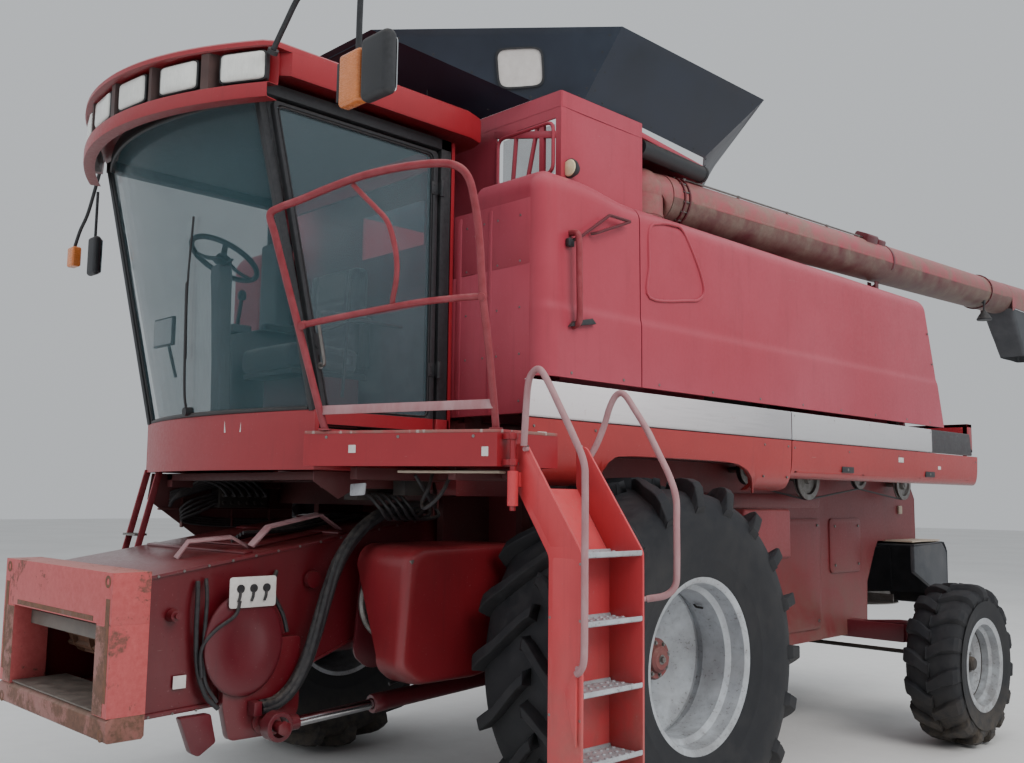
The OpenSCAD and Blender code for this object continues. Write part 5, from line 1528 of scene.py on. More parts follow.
# inner latch bar seen through the glass
tube(b, [(0.800, -1.58, 2.42), (0.795, -1.40, 2.50), (0.795, -1.10, 2.50)], 0.009, 8, 0.03)
tube(b, [(0.800, -1.45, 2.12), (0.797, -1.42, 2.70)], 0.008, 8)
b.make("door_latch", "plastic", "door")
b = Buf()
for z in (2.25, 3.20):
    b.add(*disc_prism((0.868, -0.912, z + 0.001), (0, 0, 1), 0.0118, 0.088, 20))
    b.add(*cuboid(0.8445, 0.868, -0.923, -0.909, z + 0.011, z + 0.079))
    for dz in (0.025, 0.062):
        b.add(*disc_prism((0.8450, -0.945, z + dz), (1, 0, 0), 0.007, 0.005, 10, 0.005))
    b.add(*cuboid(0.8445, 0.848, -0.965, -0.912, z + 0.011, z + 0.079))
b.make("door_hinges", "plastic", "door", bevel=0.0015)

# door frame seal on the cab side
b = Buf()
path = [Vector((0.802, p.x, p.y)) for p in round_poly([(-1.600, 1.970), (-1.615, 2.05), (-1.93, 3.455), (-0.907, 3.455), (-0.907, 1.970)], 0.03)]
v, f = sweep(path, ring(0.006, 6), ref=(1, 0, 0), closed=True)
b.add(v, f)
b.make("door_opening_seal", "hose")

# ------------------------------------------------------------------ cab interior
def cushion(name, x0, x1, y0, y1, z0, z1, body="chassis", tilt=0.0, pivot=None, mat="cloth", sub=2, seams=True):
    """Upholstered block: box, voxel remesh, piping channels and swelling moved into the surface, a little noise, one
    subdivision.
    """
    bm = bmesh.new()
    bmesh.ops.create_cube(bm, size=1.0)
    for v in bm.verts:
        v.co = Vector(((x0 + x1) / 2 + v.co.x * (x1 - x0), (y0 + y1) / 2 + v.co.y * (y1 - y0), (z0 + z1) / 2 + v.co.z * (z1 - z0)))
    bmesh.ops.bevel(bm, geom=list(bm.edges) + list(bm.verts), offset=min(z1 - z0, y1 - y0, x1 - x0) * 0.33, segments=4, profile=0.6, affect="EDGES")
    bmesh.ops.triangulate(bm, faces=bm.faces)
    me = bpy.data.meshes.new(name)
    bm.to_mesh(me)
    bm.free()
    ob = bpy.data.objects.new(name, me)
    scene.collection.objects.link(ob)
    ob.data.remesh_voxel_size = 0.012
    r = ob.modifiers.new("re", "REMESH")
    r.mode = "VOXEL"
    r.voxel_size = 0.012
    apply_all(ob)
    me = ob.data
    start = [v.co.copy() for v in me.vertices]
    cx, cy = (x0 + x1) / 2, (y0 + y1) / 2
    # piping channels pull the surface in, the space between them swells
    for v in me.vertices:
        c = v.co
        if z1 - z0 < y1 - y0:
            u = (c.y - y0) / (y1 - y0)
            k = abs((c.x - cx)) / (x1 - x0)
            face = max(0.0, min(1.0, (c.z - (z0 + z1) / 2) / ((z1 - z0) / 2)))
            g = 0.0
            for s in (0.27, 0.5, 0.73):
                g += math.exp(-((u - s) / 0.022) ** 2)
            for s in (0.33,):
                g += 0.9 * math.exp(-((k - s) / 0.018) ** 2)
            bulge = 0.010 * math.sin(min(max(u, 0), 1) * math.pi) * (1 - (2 * k) ** 2 * 0.6)
            c.z += face * (bulge - 0.012 * min(g, 1.2)) - face * 0.004
        else:
            u = (c.z - z0) / (z1 - z0)
            k = abs((c.x - cx)) / (x1 - x0)
            face = max(0.0, min(1.0, ((y0 + y1) / 2 - c.y) / ((y1 - y0) / 2)))
            g = 0.0
            for s in (0.22, 0.42, 0.62):
                g += math.exp(-((u - s) / 0.022) ** 2)
            g += 0.9 * math.exp(-((k - 0.33) / 0.018) ** 2)
            bulge = 0.010 * math.sin(min(max(u, 0), 1) * math.pi)
            c.y -= face * (bulge - 0.012 * min(g, 1.2)) - face * 0.004
    for v in me.vertices:
        v.co += Vector((noise.noise(v.co * 9), noise.noise(v.co * 9 + Vector((5, 0, 0))), noise.noise(v.co * 9 + Vector((0, 7, 0))))) * 0.0016
    if tilt:
        rot = Matrix.Rotation(tilt, 4, "X")
        pv = Vector(pivot)
        for v in me.vertices:
            v.co = pv + rot @ (v.co - pv)
    for v in me.vertices:
        v.co += OFF
    me.materials.append(M[mat])
    d = ob.modifiers.new("sub", "SUBSURF")
    d.levels = d.render_levels = 1
    apply_all(ob)
    shade(ob, 80)
    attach(ob, body)
    return ob


seat = cushion("seat_cushion", -0.258, 0.258, -1.398, -0.96, 2.315, 2.455)
cushion("seat_back", -0.222, 0.222, -0.982, -0.880, 2.435, 2.925, tilt=0.0, pivot=(0, -0.93, 2.44))
for s in (1, -1):
    cushion("armrest_%s" % ("left" if s > 0 else "right"), *sorted((s * 0.272, s * 0.328)), -1.248, -0.93, 2.588, 2.630)
b = Buf()
b.add(*prism([(-0.235, -1.245), (0.235, -1.245), (0.235, -0.955), (-0.235, -0.955)], 1.842, 1.870, "xy"))
for k in range(11):
    z = 1.872 + k * 0.0375
    s = 0.01 if k % 2 else 0.0
    b.add(*cuboid(-0.215 + s, 0.215 - s, -1.225 + s, -0.975 - s, z, z + 0.034))
b.add(*cuboid(-0.245, 0.245, -1.38, -0.90, 2.286, 2.316))
b.add(*cuboid(-0.19, 0.19, -0.900, -0.874, 2.32, 2.88))
for s in (1, -1):
    b.add(*cuboid(*sorted((s * 0.232, s * 0.276)), -0.955, -0.905, 2.35, 2.625))
b.make("seat_frame", "plastic", bevel=0.005)
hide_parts("operator_seat")

# steering column with cover, wheel with spokes, levers
b = Buf()
a0, a1 = Vector((0, -1.635, 1.848)), Vector((0, -1.672, 2.838))
prof = round_poly([(-0.048, -0.038), (0.048, -0.038), (0.048, 0.038), (-0.048, 0.038)], 0.018, 4)
rows = []
for t, s in ((0, 1.12), (0.05, 1.1), (0.1, 0.98), (0.5, 0.92), (0.85, 1.0), (0.95, 1.08), (1.0, 0.95)):
    c = a0 + (a1 - a0) * t
    rows.append([(c.x + p.x * s, c.y + p.y * s, c.z) for p in prof])
vs = [p for r in rows for p in r]
m = len(prof)
fs = [(i * m + k, i * m + (k + 1) % m, (i + 1) * m + (k + 1) % m, (i + 1) * m + k) for i in range(len(rows) - 1) for k in range(m)] + [tuple(range((len(rows) - 1) * m, len(rows) * m))]
b.add(vs, fs)
col = b.make("steering_column_cover", "grey_plastic", bevel=0.0)
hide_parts("steering_column")
rot = Matrix.Rotation(math.radians(-28), 4, "X")
cw = Vector((0, -1.658, 2.880))
b = Buf()
pth = [cw + rot @ Vector((0.184 * math.cos(t * math.pi / 32), 0.184 * math.sin(t * math.pi / 32), 0)) for t in range(64)]
v, f = sweep(pth, ring(0.0145, 10), ref=(0, 0, 1), closed=True)
b.add(v, f)
for a in (90, 210, 330):
    d = Vector((math.cos(math.radians(a)), math.sin(math.radians(a)), 0))
    pts = [cw + rot @ (d * 0.03 + Vector((0, 0, -0.004))), cw + rot @ (d * 0.10 + Vector((0, 0, -0.012))), cw + rot @ (d * 0.176)]
    v, f = sweep(spline(pts, 4), [(-0.014, -0.004), (0.014, -0.004), (0.014, 0.004), (-0.014, 0.004)], ref=tuple(rot @ Vector((0, 0, 1)).cross(d)))
    b.add(v, f)
v, f = disc_prism(cw + rot @ Vector((0, 0, -0.030)), rot @ Vector((0, 0, 1)), 0.050, 0.038, 28, 0.040)
b.add(v, f)
tube(b, [cw + rot @ Vector((0.02, 0.0, -0.05)), cw + rot @ Vector((0.13, -0.02, -0.06)), cw + rot @ Vector((0.16, -0.02, -0.05))], 0.006, 8, 0.02)
b.make("steering_wheel", "plastic")
b = Buf()
for s, x in ((1, 0.12), (-1, 0.20)):
    b.add(*prism([(-1.66, 1.90), (-1.60, 1.86), (-1.585, 1.875), (-1.645, 1.915)], x - 0.035, x + 0.035, "yz"))
    tube(b, [(x, -1.60, 1.875), (x, -1.55, 1.845)], 0.008, 8)
b.make("pedals", "steel")

# console, monitor, rear post, right-hand levers
b = Buf()
v, f = prism([(-1.398, 1.842), (-0.882, 1.842), (-0.882, 2.570), (-0.93, 2.598), (-1.22, 2.598), (-1.36, 2.56), (-1.398, 2.51)], -0.558, -0.352, "yz")
b.add(v, f)
b.add(*cuboid(-0.520, -0.390, -1.378, -1.252, 2.570, 2.620))
ob = b.make("side_console", "grey_plastic", bevel=0.012, seg=3)
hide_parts("control_console")
b = Buf()
b.add(*cuboid(-0.758, -0.562, -0.998, -0.882, 2.302, 3.198))
b.make("rear_post_trim", "liner", bevel=0.02, seg=3)
b = Buf()
tube(b, [(-0.455, -1.312, 2.615), (-0.455, -1.300, 2.70), (-0.455, -1.290, 2.780)], 0.011, 10, 0.02)
v, f = lathe([(0.0, 0.001), (0.004, 0.018), (0.02, 0.026), (0.045, 0.024), (0.060, 0.014), (0.064, 0.001)], (-0.455, -1.288, 2.770), "z", 24)
b.add(v, f)
for k, (x, y) in enumerate([(-0.50, -1.16), (-0.455, -1.16), (-0.41, -1.16), (-0.50, -1.09), (-0.455, -1.09), (-0.41, -1.09), (-0.50, -1.02), (-0.455, -1.02)]):
    b.add(*disc_prism((x, y, 2.592), (0, 0, 1), 0.012, 0.014, 16, 0.010))
b.make("console_levers", "plastic")
b = Buf()
b.add(*cuboid(-0.64, -0.42, -1.72, -1.70, 2.46, 2.62))
tube(b, [(-0.53, -1.70, 2.53), (-0.60, -1.64, 2.45), (-0.70, -1.55, 2.32)], 0.010, 8, 0.03)
b.make("cab_monitor", "plastic", bevel=0.006)
b = Buf()
b.add(*cuboid(-0.63, -0.43, -1.7215, -1.7195, 2.47, 2.61))
b.make("cab_monitor_screen", "mirror")
# floor mat with ribs
b = Buf()
b.add(*prism([(-0.76, -1.575), (-0.5, -1.64), (0, -1.70), (0.5, -1.64), (0.76, -1.575), (0.76, -0.86), (-0.76, -0.86)], 1.8385, 1.8445, "xy"))
for k in range(24):
    y = -1.55 + k * 0.028
    for x0, x1 in ((0.26, 0.74), (-0.33, -0.26)):
        b.add(*cuboid(x0, x1, y, y + 0.012, 1.8445, 1.8485))
b.make("cab_floor_mat", "mat")
# ------------------------------------------------------------------ work platform, guard, ladder
DECK = [(0.864, -1.697), (1.698, -1.289), (1.698, -0.914), (0.864, -0.914)]
b = Buf()
v, f = prism(DECK, 1.787, 1.930, "xy")
f = [q for q in f if len(q) == 4 and not (set(q) <= set(range(4)))]
f = [q for q in f if not (set(q) <= set(range(4, 8)))]
b.add(v, f)
ob = b.make("platform_skirt", "cabred", solid=0.004)
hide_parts("work_platform")
b = Buf()
b.add(*prism(DECK, 1.930, 1.9445, "xy"))
b.make("platform_deck", "tread", bevel=0.003)
b = Buf()
for t in (0.12, 0.5, 0.88):
    x, y = DECK[0][0] + (DECK[1][0] - DECK[0][0]) * t, DECK[0][1] + (DECK[1][1] - DECK[0][1]) * t
    b.add(*disc_prism((x + 0.0015, y - 0.0005 + 0.0045, 1.915), (0.44, -0.9, 0), 0.007, 0.005, 10))
b.make("platform_bolts", "steel")
# two blank tags on the front panel of the platform
b = Buf()
d = Vector((DECK[1][0] - DECK[0][0], DECK[1][1] - DECK[0][1], 0)).normalized()
nn = Vector((d.y, -d.x, 0))
p0, p1 = Vector((DECK[0][0], DECK[0][1], 1.935)), Vector((DECK[1][0], DECK[1][1], 1.935))
def on_front(t, z, o=0.0):
    return p0 + (p1 - p0) * t + nn * o + Vector((0, 0, z - 1.935))


for t0, z0, w, h in ((0.245, 1.845, 0.035, 0.035), (0.925, 1.83, 0.03, 0.04)):
    q = [on_front(t0, z0, 0.0012), on_front(t0 + w / 0.93, z0, 0.0012), on_front(t0 + w / 0.93, z0 + h, 0.0012), on_front(t0, z0 + h, 0.0012)]
    b.add(q, [(0, 1, 2, 3)])
b.make("platform_blank_tags", "white", solid=0.001)
b = Buf()
for z in (1.79, 1.90):
    b.add(*cuboid(1.700, 1.752, -1.263, -1.227, z + 0.002, z + 0.026))
    b.add(*disc_prism((1.75, -1.245, z + 0.001), (0, 0, 1), 0.020, 0.026, 20))
b.add(*disc_prism((1.75, -1.245, 1.602), (0, 0, 1), 0.0135, 0.318, 16))
b.add(*disc_prism((1.75, -1.245, 1.918), (0, 0, 1), 0.012, 0.012, 6))
b.make("ladder_hinge_bracket", "cabred", bevel=0.002)
# under the platform: beams, hose loop, pale plates
b = Buf()
b.add(*cuboid(0.95, 1.66, -1.02, -0.97, 1.74, 1.786))
b.add(*cuboid(0.95, 1.00, -1.50, -0.93, 1.73, 1.786))
b.add(*cuboid(1.40, 1.45, -1.30, -0.93, 1.73, 1.786))
b.make("platform_beams", "frame", bevel=0.004)
b = Buf()
b.add(*prism([(1.22, -1.44), (1.66, -1.235), (1.62, -1.16), (1.20, -1.36)], 1.760, 1.770, "xy"))
b.make("platform_under_plate", "tan", bevel=0.002)

RA, RB, RTL = Vector((0.952, -1.645, 1.950)), Vector((1.655, -1.256, 1.950)), Vector((1.002, -1.997, 2.856))
gn = (RB - RA).cross(RTL - RA).normalized()
b = Buf()
rail = [RA, Vector((0.958, -1.690, 2.06)), Vector((0.972, -1.79, 2.32)), Vector((0.990, -1.915, 2.64)), Vector((0.997, -1.966, 2.774)),
        RTL, Vector((1.05, -1.978, 2.884)), Vector((1.14, -1.938, 2.907)), Vector((1.28, -1.874, 2.950)), Vector((1.422, -1.808, 2.985)), Vector((1.57, -1.733, 3.004)), Vector((1.700, -1.658, 3.009)),
        Vector((1.768, -1.612, 2.995)), Vector((1.803, -1.577, 2.952)), Vector((1.803, -1.540, 2.870)), Vector((1.785, -1.49, 2.72)), Vector((1.739, -1.422, 2.488)), Vector((1.706, -1.352, 2.272)), Vector((1.673, -1.290, 2.073)), RB]
tube(b, rail, 0.0165, 16, curve=True, ref=tuple(gn))
tube(b, [Vector((1.000, -1.810, 2.399)), Vector((1.12, -1.755, 2.418)), Vector((1.45, -1.590, 2.466)), Vector((1.62, -1.495, 2.482)), Vector((1.737, -1.424, 2.488))], 0.0145, 14, curve=True, ref=tuple(gn))
tube(b, [Vector((1.358, -1.824, 2.956)), Vector((1.39, -1.785, 2.905)), Vector((1.425, -1.755, 2.859)), Vector((1.458, -1.712, 2.797)), Vector((1.464, -1.676, 2.70)), Vector((1.455, -1.655, 2.62)), Vector((1.432, -1.640, 2.555)), Vector((1.400, -1.628, 2.500)), Vector((1.382, -1.617, 2.470))], 0.0115, 12, curve=True, ref=tuple(gn))
ob = b.make("guard_rails", "railred")
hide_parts("platform_rails")
b = Buf()
k0, k1 = Vector((0.955, -1.680, 2.034)), Vector((1.672, -1.292, 2.052))
v, f = sweep([k0 + (k1 - k0) * t / 8 for t in range(9)], [(-0.020, -0.006), (-0.017, -0.008), (0.017, -0.008), (0.020, -0.006), (0.020, 0.004), (-0.020, 0.004)], ref=(0, 0, 1))
b.add(v, f)
b.make("kick_bar", "rail", bevel=0.001)
b = Buf()
for p in (RA, RB):
    b.add(*disc_prism((p.x, p.y, 1.9455), (0, 0, 1), 0.030, 0.007, 20))
for p, q in ((Vector((1.737, -1.424, 2.488)), 0.02), (Vector((1.000, -1.810, 2.399)), 0.02)):
    v, f = disc_prism(p - gn * 0.018, gn, 0.018, 0.036, 16)
    b.add(v, f)
b.make("guard_feet", "railred", bevel=0.002)

# ladder: front plate with its head plate and gusset, folded steps, back sheet
def ladder_plate(y0, y1, name, mat, bulge):
    prof = [(2.108, 0.332), (2.108, 1.438), (1.790, 1.886), (1.732, 1.886), (1.732, 1.702), (1.927, 1.422), (1.927, 0.332)]
    poly = round_poly(prof, 0.02, 3)
    v, f = prism([(p.x, p.y) for p in poly], y0, y1, "xz")
    ob = mk(name, v, f, mat, "ladder_unit", bevel=0.003)
    fix_normals(ob)
    return ob


ob = ladder_plate(-1.2115, -1.1985, "ladder_front_plate", "ladder", True)
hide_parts("ladder")
ladder_plate(-0.829, -0.8165, "ladder_rear_plate", "ladder", False)
b = Buf()
# raised pressing down the front plate, and folded edges
b.add(*prism([(2.090, 0.36), (2.090, 1.40), (2.060, 1.42), (1.955, 1.42), (1.945, 1.40), (1.945, 0.36)], -1.2119, -1.205, "xz"))
b.add(*prism([(1.800, 1.845), (1.752, 1.845), (1.752, 1.72), (1.935, 1.46), (2.06, 1.46)], -1.2119, -1.205, "xz"))
b.make("ladder_plate_pressing", "ladder", "ladder_unit", bevel=0.003)
b = Buf()
for y in (-1.2119,):
    for x, z in ((2.098, 0.42), (2.098, 0.80), (2.098, 1.18), (2.098, 1.40), (1.936, 0.42), (1.936, 0.80), (1.936, 1.18), (1.80, 1.87), (1.745, 1.80)):
        b.add(*disc_prism((x, y + 0.002, z), (0, -1, 0), 0.008, 0.002, 10, 0.006))
b.make("ladder_rivets", "steel", "ladder_unit")
rows = []
for y in (-1.198, -1.05, -1.035, -1.020, -0.829):
    fold = 0.006 if abs(y + 1.035) < 0.003 else 0.0
    rows.append([(1.9245 - fold * 0 + (0.0 if fold == 0 else -0.006), y, z) for z in (0.332, 0.6, 0.9, 1.2, 1.418)] + [(1.83, y, 1.555), (1.738, y, 1.695)])
sheet_grid("ladder_back_sheet", rows, "ladder", "ladder_unit", 0.004)
b = Buf()
g = Buf()
for z in (0.34, 0.61, 0.88, 1.15, 1.42):
    # folded step: tread, front lip and rear upstand, with raised grips
    pr = [(1.928, z + 0.023), (1.928, z + 0.005), (1.932, z + 0.001), (2.103, z + 0.001), (2.1085, z + 0.006), (2.1085, z + 0.022), (2.105, z + 0.0245), (2.100, z + 0.022), (2.100, z + 0.012), (1.94, z + 0.012), (1.936, z + 0.023)]
    b.add(*prism(pr, -1.197, -0.831, "xz"))
    for k in range(9):
        y = -1.18 + k * 0.041
        g.add(*disc_prism((2.02, y, z + 0.0125), (0, 0, 1), 0.010, 0.0045, 12, 0.007))
        g.add(*disc_prism((2.07, y, z + 0.0125), (0, 0, 1), 0.010, 0.0045, 12, 0.007))
        g.add(*disc_prism((1.97, y, z + 0.0125), (0, 0, 1), 0.010, 0.0045, 12, 0.007))
ob = b.make("ladder_steps", "rim", "ladder_unit", bevel=0.001)
fix_normals(ob)
g.make("ladder_step_grips", "rim", "ladder_unit")
b = Buf()
b.add(*disc_prism((1.75, -1.245, 1.622), (0, 0, 1), 0.0235, 0.146, 20, cap=False))
b.add(*disc_prism((1.75, -1.245, 1.622), (0, 0, 1), 0.0150, 0.146, 20, cap=False))
for z in (1.622, 1.768):
    a, bb = disc_prism((1.75, -1.245, z), (0, 0, 1), 0.0235, 0.001, 20)[0][:20], disc_prism((1.75, -1.245, z), (0, 0, 1), 0.0150, 0.001, 20)[0][:20]
    b.add(a + bb, [(k, (k + 1) % 20, 20 + (k + 1) % 20, 20 + k) for k in range(20)])
b.add(*cuboid(1.737, 1.766, -1.226, -1.207, 1.702, 1.763))
b.make("ladder_hinge_sleeve", "ladder", "ladder_unit")
# triangular gusset at the foot of the handrail
b = Buf()
b.add(*prism([(2.09, 0.70), (2.09, 1.00), (2.03, 0.90)], -1.226, -1.2125, "xz"))
b.make("ladder_gusset", "ladder", "ladder_unit", bevel=0.002)
b = Buf()
fr = [Vector(p) for p in [(2.100, -1.232, 0.98), (2.118, -1.232, 0.994), (2.136, -1.232, 1.03), (2.140, -1.232, 1.12), (2.140, -1.232, 1.40), (2.140, -1.232, 1.70), (2.132, -1.232, 1.80), (2.08, -1.232, 1.90), (2.00, -1.232, 2.03), (1.93, -1.232, 2.14), (1.885, -1.232, 2.188), (1.845, -1.232, 2.175), (1.822, -1.232, 2.13), (1.810, -1.232, 2.02), (1.800, -1.232, 1.872)]]
tube(b, fr, 0.0145, 16, curve=True, ref=(0, 1, 0))
rr = [Vector(p) for p in [(2.100, -0.790, 1.240), (2.165, -0.745, 1.258), (2.198, -0.724, 1.30), (2.2035, -0.720, 1.38), (2.2035, -0.720, 1.55), (2.2015, -0.720, 1.66), (2.17, -0.720, 1.75), (2.11, -0.720, 1.855), (2.05, -0.720, 1.955), (1.98, -0.720, 2.05), (1.925, -0.722, 2.118), (1.885, -0.726, 2.122), (1.85, -0.733, 2.07), (1.822, -0.742, 1.98), (1.80, -0.765, 1.90), (1.780, -0.790, 1.840)]]
tube(b, rr, 0.0145, 16, curve=True, ref=(0, 1, 0))
for x, y0, y1, z in ((2.100, -1.230, -1.2115, 1.0), (1.800, -1.230, -1.2115, 1.86), (2.095, -0.8165, -0.790, 1.24), (1.785, -0.8165, -0.790, 1.84)):
    b.add(*disc_prism((x, y0, z), (0, 1, 0), 0.0105, y1 - y0, 14))
ob = b.make("ladder_handrails", "rail", "ladder_unit")
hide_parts("ladder_rails")

# ------------------------------------------------------------------ mirrors
b = Buf()
tube(b, [(0.953, -1.990, 3.605), (1.06, -1.998, 3.69), (1.20, -2.008, 3.785), (1.36, -2.010, 3.802), (1.52, -2.010, 3.798), (1.61, -2.012, 3.745), (1.640, -2.015, 3.66), (1.640, -2.015, 3.50), (1.640, -2.015, 3.318)], 0.0125, 14, curve=True, ref=(0, 1, 0))
b.add(*disc_prism((0.950, -1.987, 3.602), (0.7, -0.1, 0.7), 0.024, 0.020, 16))
b.add(*cuboid(1.652, 1.708, -2.033, -2.012, 3.322, 3.343))
tube(b, [(-0.958, -1.900, 3.560), (-1.03, -1.885, 3.60), (-1.115, -1.868, 3.612), (-1.26, -1.842, 3.50), (-1.41, -1.822, 3.36), (-1.52, -1.820, 3.27), (-1.588, -1.820, 3.182)], 0.0105, 12, curve=True, ref=(0, 1, 0))
tube(b, [(-1.276, -1.822, 3.468), (-1.276, -1.822, 3.188)], 0.0085, 10)
b.make("mirror_arms", "plastic")


def shell_box(name, x0, x1, y0, y1, z0, z1, mat, r=0.03, body="chassis", sub=1):
    """Box with generous soft corners."""
    v, f = cuboid(x0, x1, y0, y1, z0, z1)
    ob = mk(name, v, f, mat, body, bevel=min(r, (x1 - x0) * 0.45, (y1 - y0) * 0.45, (z1 - z0) * 0.45), seg=5, smooth=50)
    return ob


ob = shell_box("mirror_head_left", 1.702, 1.873, -2.058, -1.996, 3.152, 3.408, "plastic", 0.028)
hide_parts("mirrors")
b = Buf()
b.add(*prism([(p.x, p.y) for p in round_poly([(1.716, 3.168), (1.860, 3.168), (1.860, 3.392), (1.716, 3.392)], 0.03)], -1.996, -1.9915, "xz"))
b.add(*prism([(p.x, p.y) for p in round_poly([(-1.322, 2.962), (-1.223, 2.962), (-1.223, 3.178), (-1.322, 3.178)], 0.025)], -1.803, -1.7965, "xz"))
b.make("mirror_glasses", "mirror")
shell_box("mirror_head_right", -1.328, -1.217, -1.848, -1.803, 2.953, 3.188, "plastic", 0.02)
shell_box("side_lamp_left", 1.548, 1.688, -2.047, -1.988, 3.172, 3.388, "amber", 0.018)
b = Buf()
b.add(*cuboid(1.532, 1.550, -2.040, -1.990, 3.20, 3.36))
b.add(*cuboid(1.60, 1.66, -2.020, -1.995, 3.385, 3.389))
b.make("side_lamp_left_base", "plastic", bevel=0.004)
shell_box("side_lamp_right", -1.638, -1.542, -1.848, -1.792, 3.052, 3.178, "amber", 0.014)

# points for a strap handle on the front corner of the body; nothing is built from them
b = Buf()
st = [(1.30, -0.802, 3.05), (1.30, -0.8025, 2.3)]
b.v, b.f, b.m = [], [], []
# ------------------------------------------------------------------ feeder house, face and drives
FY = -2.262
def feeder_shell():
    out = [(FY + 0.001, 0.702), (FY + 0.001, 1.298), (-0.61, 1.558), (-0.49, 1.553), (-0.39, 1.449), (-0.387, 1.292), (-0.49, 1.192), (-1.75, 0.722)]
    b = Buf()
    # outline of the feeder house; the side sheets are drawn as grids in feeder_side
    return out


FO = feeder_shell()


def feeder_side(s):
    n, m = 40, 10
    rows = []
    for i in range(m + 1):
        t = i / m
        row = []
        for k in range(n + 1):
            y = FY + 0.001 + (-0.40 - FY) * k / n
            top = interp([(FY, 1.298), (-0.61, 1.557), (-0.49, 1.552), (-0.38, 1.449)], y)
            bot = interp([(FY, 0.703), (-1.75, 0.723), (-0.49, 1.193), (-0.385, 1.292)], y)
            z = bot + (top - bot) * t
            # two drum bulges near the front and dents behind them
            d = 0.0
            for cy, cz, r_, h in ((-2.05, 0.97, 0.17, 0.010), (-0.62, 1.37, 0.11, 0.008)):
                q = math.hypot(y - cy, z - cz) / r_
                if q < 1.4:
                    d += h * max(0.0, math.cos(min(q, 1.0) * math.pi / 2)) ** 0.5
            d += wav(s, y, z, 0.004, 2.2) - 0.004
            edge = min(t, 1 - t) * 10
            x = 0.552 - 0.011 + min(d, 0.0105) * min(1, edge)
            row.append((x, y, z))
        rows.append(row)
    # the feeder sheets take the red darkened as painted shade
    return sheet_grid("feeder_side_%s" % ("left" if s > 0 else "right"), rows, "feedred", "feeder", 0.006, side=s, smooth=50)


fs_ = feeder_side(1)
feeder_side(-1)
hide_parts("feeder_house")
b = Buf()
for poly in ([(FY, 1.299), (-0.61, 1.559), (-0.61, 1.549), (FY, 1.289)], [(-0.612, 1.559), (-0.49, 1.554), (-0.49, 1.544), (-0.612, 1.549)], [(-0.49, 1.554), (-0.388, 1.449), (-0.396, 1.444), (-0.494, 1.544)],
             [(FY, 0.701), (-1.75, 0.721), (-1.75, 0.731), (FY, 0.711)], [(-1.75, 0.721), (-0.49, 1.191), (-0.494, 1.201), (-1.75, 0.732)]):
    b.add(*prism(poly, -0.550, 0.550, "yz"))
ob = b.make("feeder_top_and_floor", "feedred", "feeder", bevel=0.002)
b = Buf()
# cross ribs on the top sheet and a hatch plate
for t in (0.30, 0.62, 0.86):
    y = FY + (-0.61 - FY) * t
    z = 1.299 + 0.26 * t
    b.add(*prism([(y, z), (y + 0.05, z + 0.008), (y + 0.05, z + 0.020), (y, z + 0.012)], -0.50, 0.50, "yz"))
b.add(*prism([(-1.62, 1.402), (-1.15, 1.476), (-1.15, 1.484), (-1.62, 1.410)], -0.36, 0.36, "yz"))
b.make("feeder_ribs", "feedred", "feeder", bevel=0.003)
b = Buf()
for s in (1, -1):
    b.add(*prism([(FY, 1.285), (-0.61, 1.543), (-0.61, 1.557), (FY, 1.299)], *sorted((s * 0.545, s * 0.5528)), "yz"))
    b.add(*prism([(FY, 0.702), (-1.75, 0.722), (-1.75, 0.742), (FY, 0.722)], *sorted((s * 0.545, s * 0.5528)), "yz"))
    # lift arms with their pins
    v, f = prism([(p.x, p.y) for p in round_poly([(-1.898, 0.72), (-1.86, 0.565), (-1.56, 0.562), (-1.502, 0.66), (-1.502, 0.998), (-1.898, 0.998)], 0.03)], *sorted((s * 0.5535, s * 0.5985)), "yz")
    b.add(v, f)
    b.add(*disc_prism((s * 0.5985, -1.70, 0.63), (s, 0, 0), 0.0245, 0.200, 24))
    b.add(*disc_prism((s * 0.5985, -1.70, 0.63), (s, 0, 0), 0.050, 0.012, 24))
    b.add(*disc_prism((s * 0.787, -1.70, 0.63), (s, 0, 0), 0.034, 0.012, 6))
    b.add(*disc_prism((s * 0.552, -0.55, 1.38), (s, 0, 0), 0.0395, 0.058, 28))
b.make("feeder_arms_and_flanges", "feedred", "feeder", bevel=0.002)
b = Buf()
for s in (1, -1):
    for k in range(14):
        t = (k + 0.5) / 14
        y = FY + (-0.61 - FY) * t
        z = 1.299 + 0.26 * t - 0.0085
        b.add(*disc_prism((s * 0.5515, y, z), (s, 0, 0), 0.0065, 0.005, 6))
    for k in range(5):
        b.add(*disc_prism((s * 0.5515, -2.22 + k * 0.11, 0.7125), (s, 0, 0), 0.006, 0.005, 6))
    for x in (-0.30, -0.1, 0.1, 0.30):
        b.add(*disc_prism((x, -1.60, 1.409), (0, -0.156, 0.988), 0.008, 0.007, 6))
        b.add(*disc_prism((x, -1.17, 1.477), (0, -0.156, 0.988), 0.008, 0.007, 6))
b.make("feeder_bolts", "steel", "feeder")

# front face: welded beam on top, plain columns, bottom sill, worn paint
F0, F1 = FY - 0.170, FY - 0.003
b = Buf()
# top beam with lips, side columns, bottom sill: box sections with softened edges
def add_box(b, x0, x1, y0, y1, z0, z1, mi=0):
    b.add(*cuboid(x0, x1, y0, y1, z0, z1), mi)


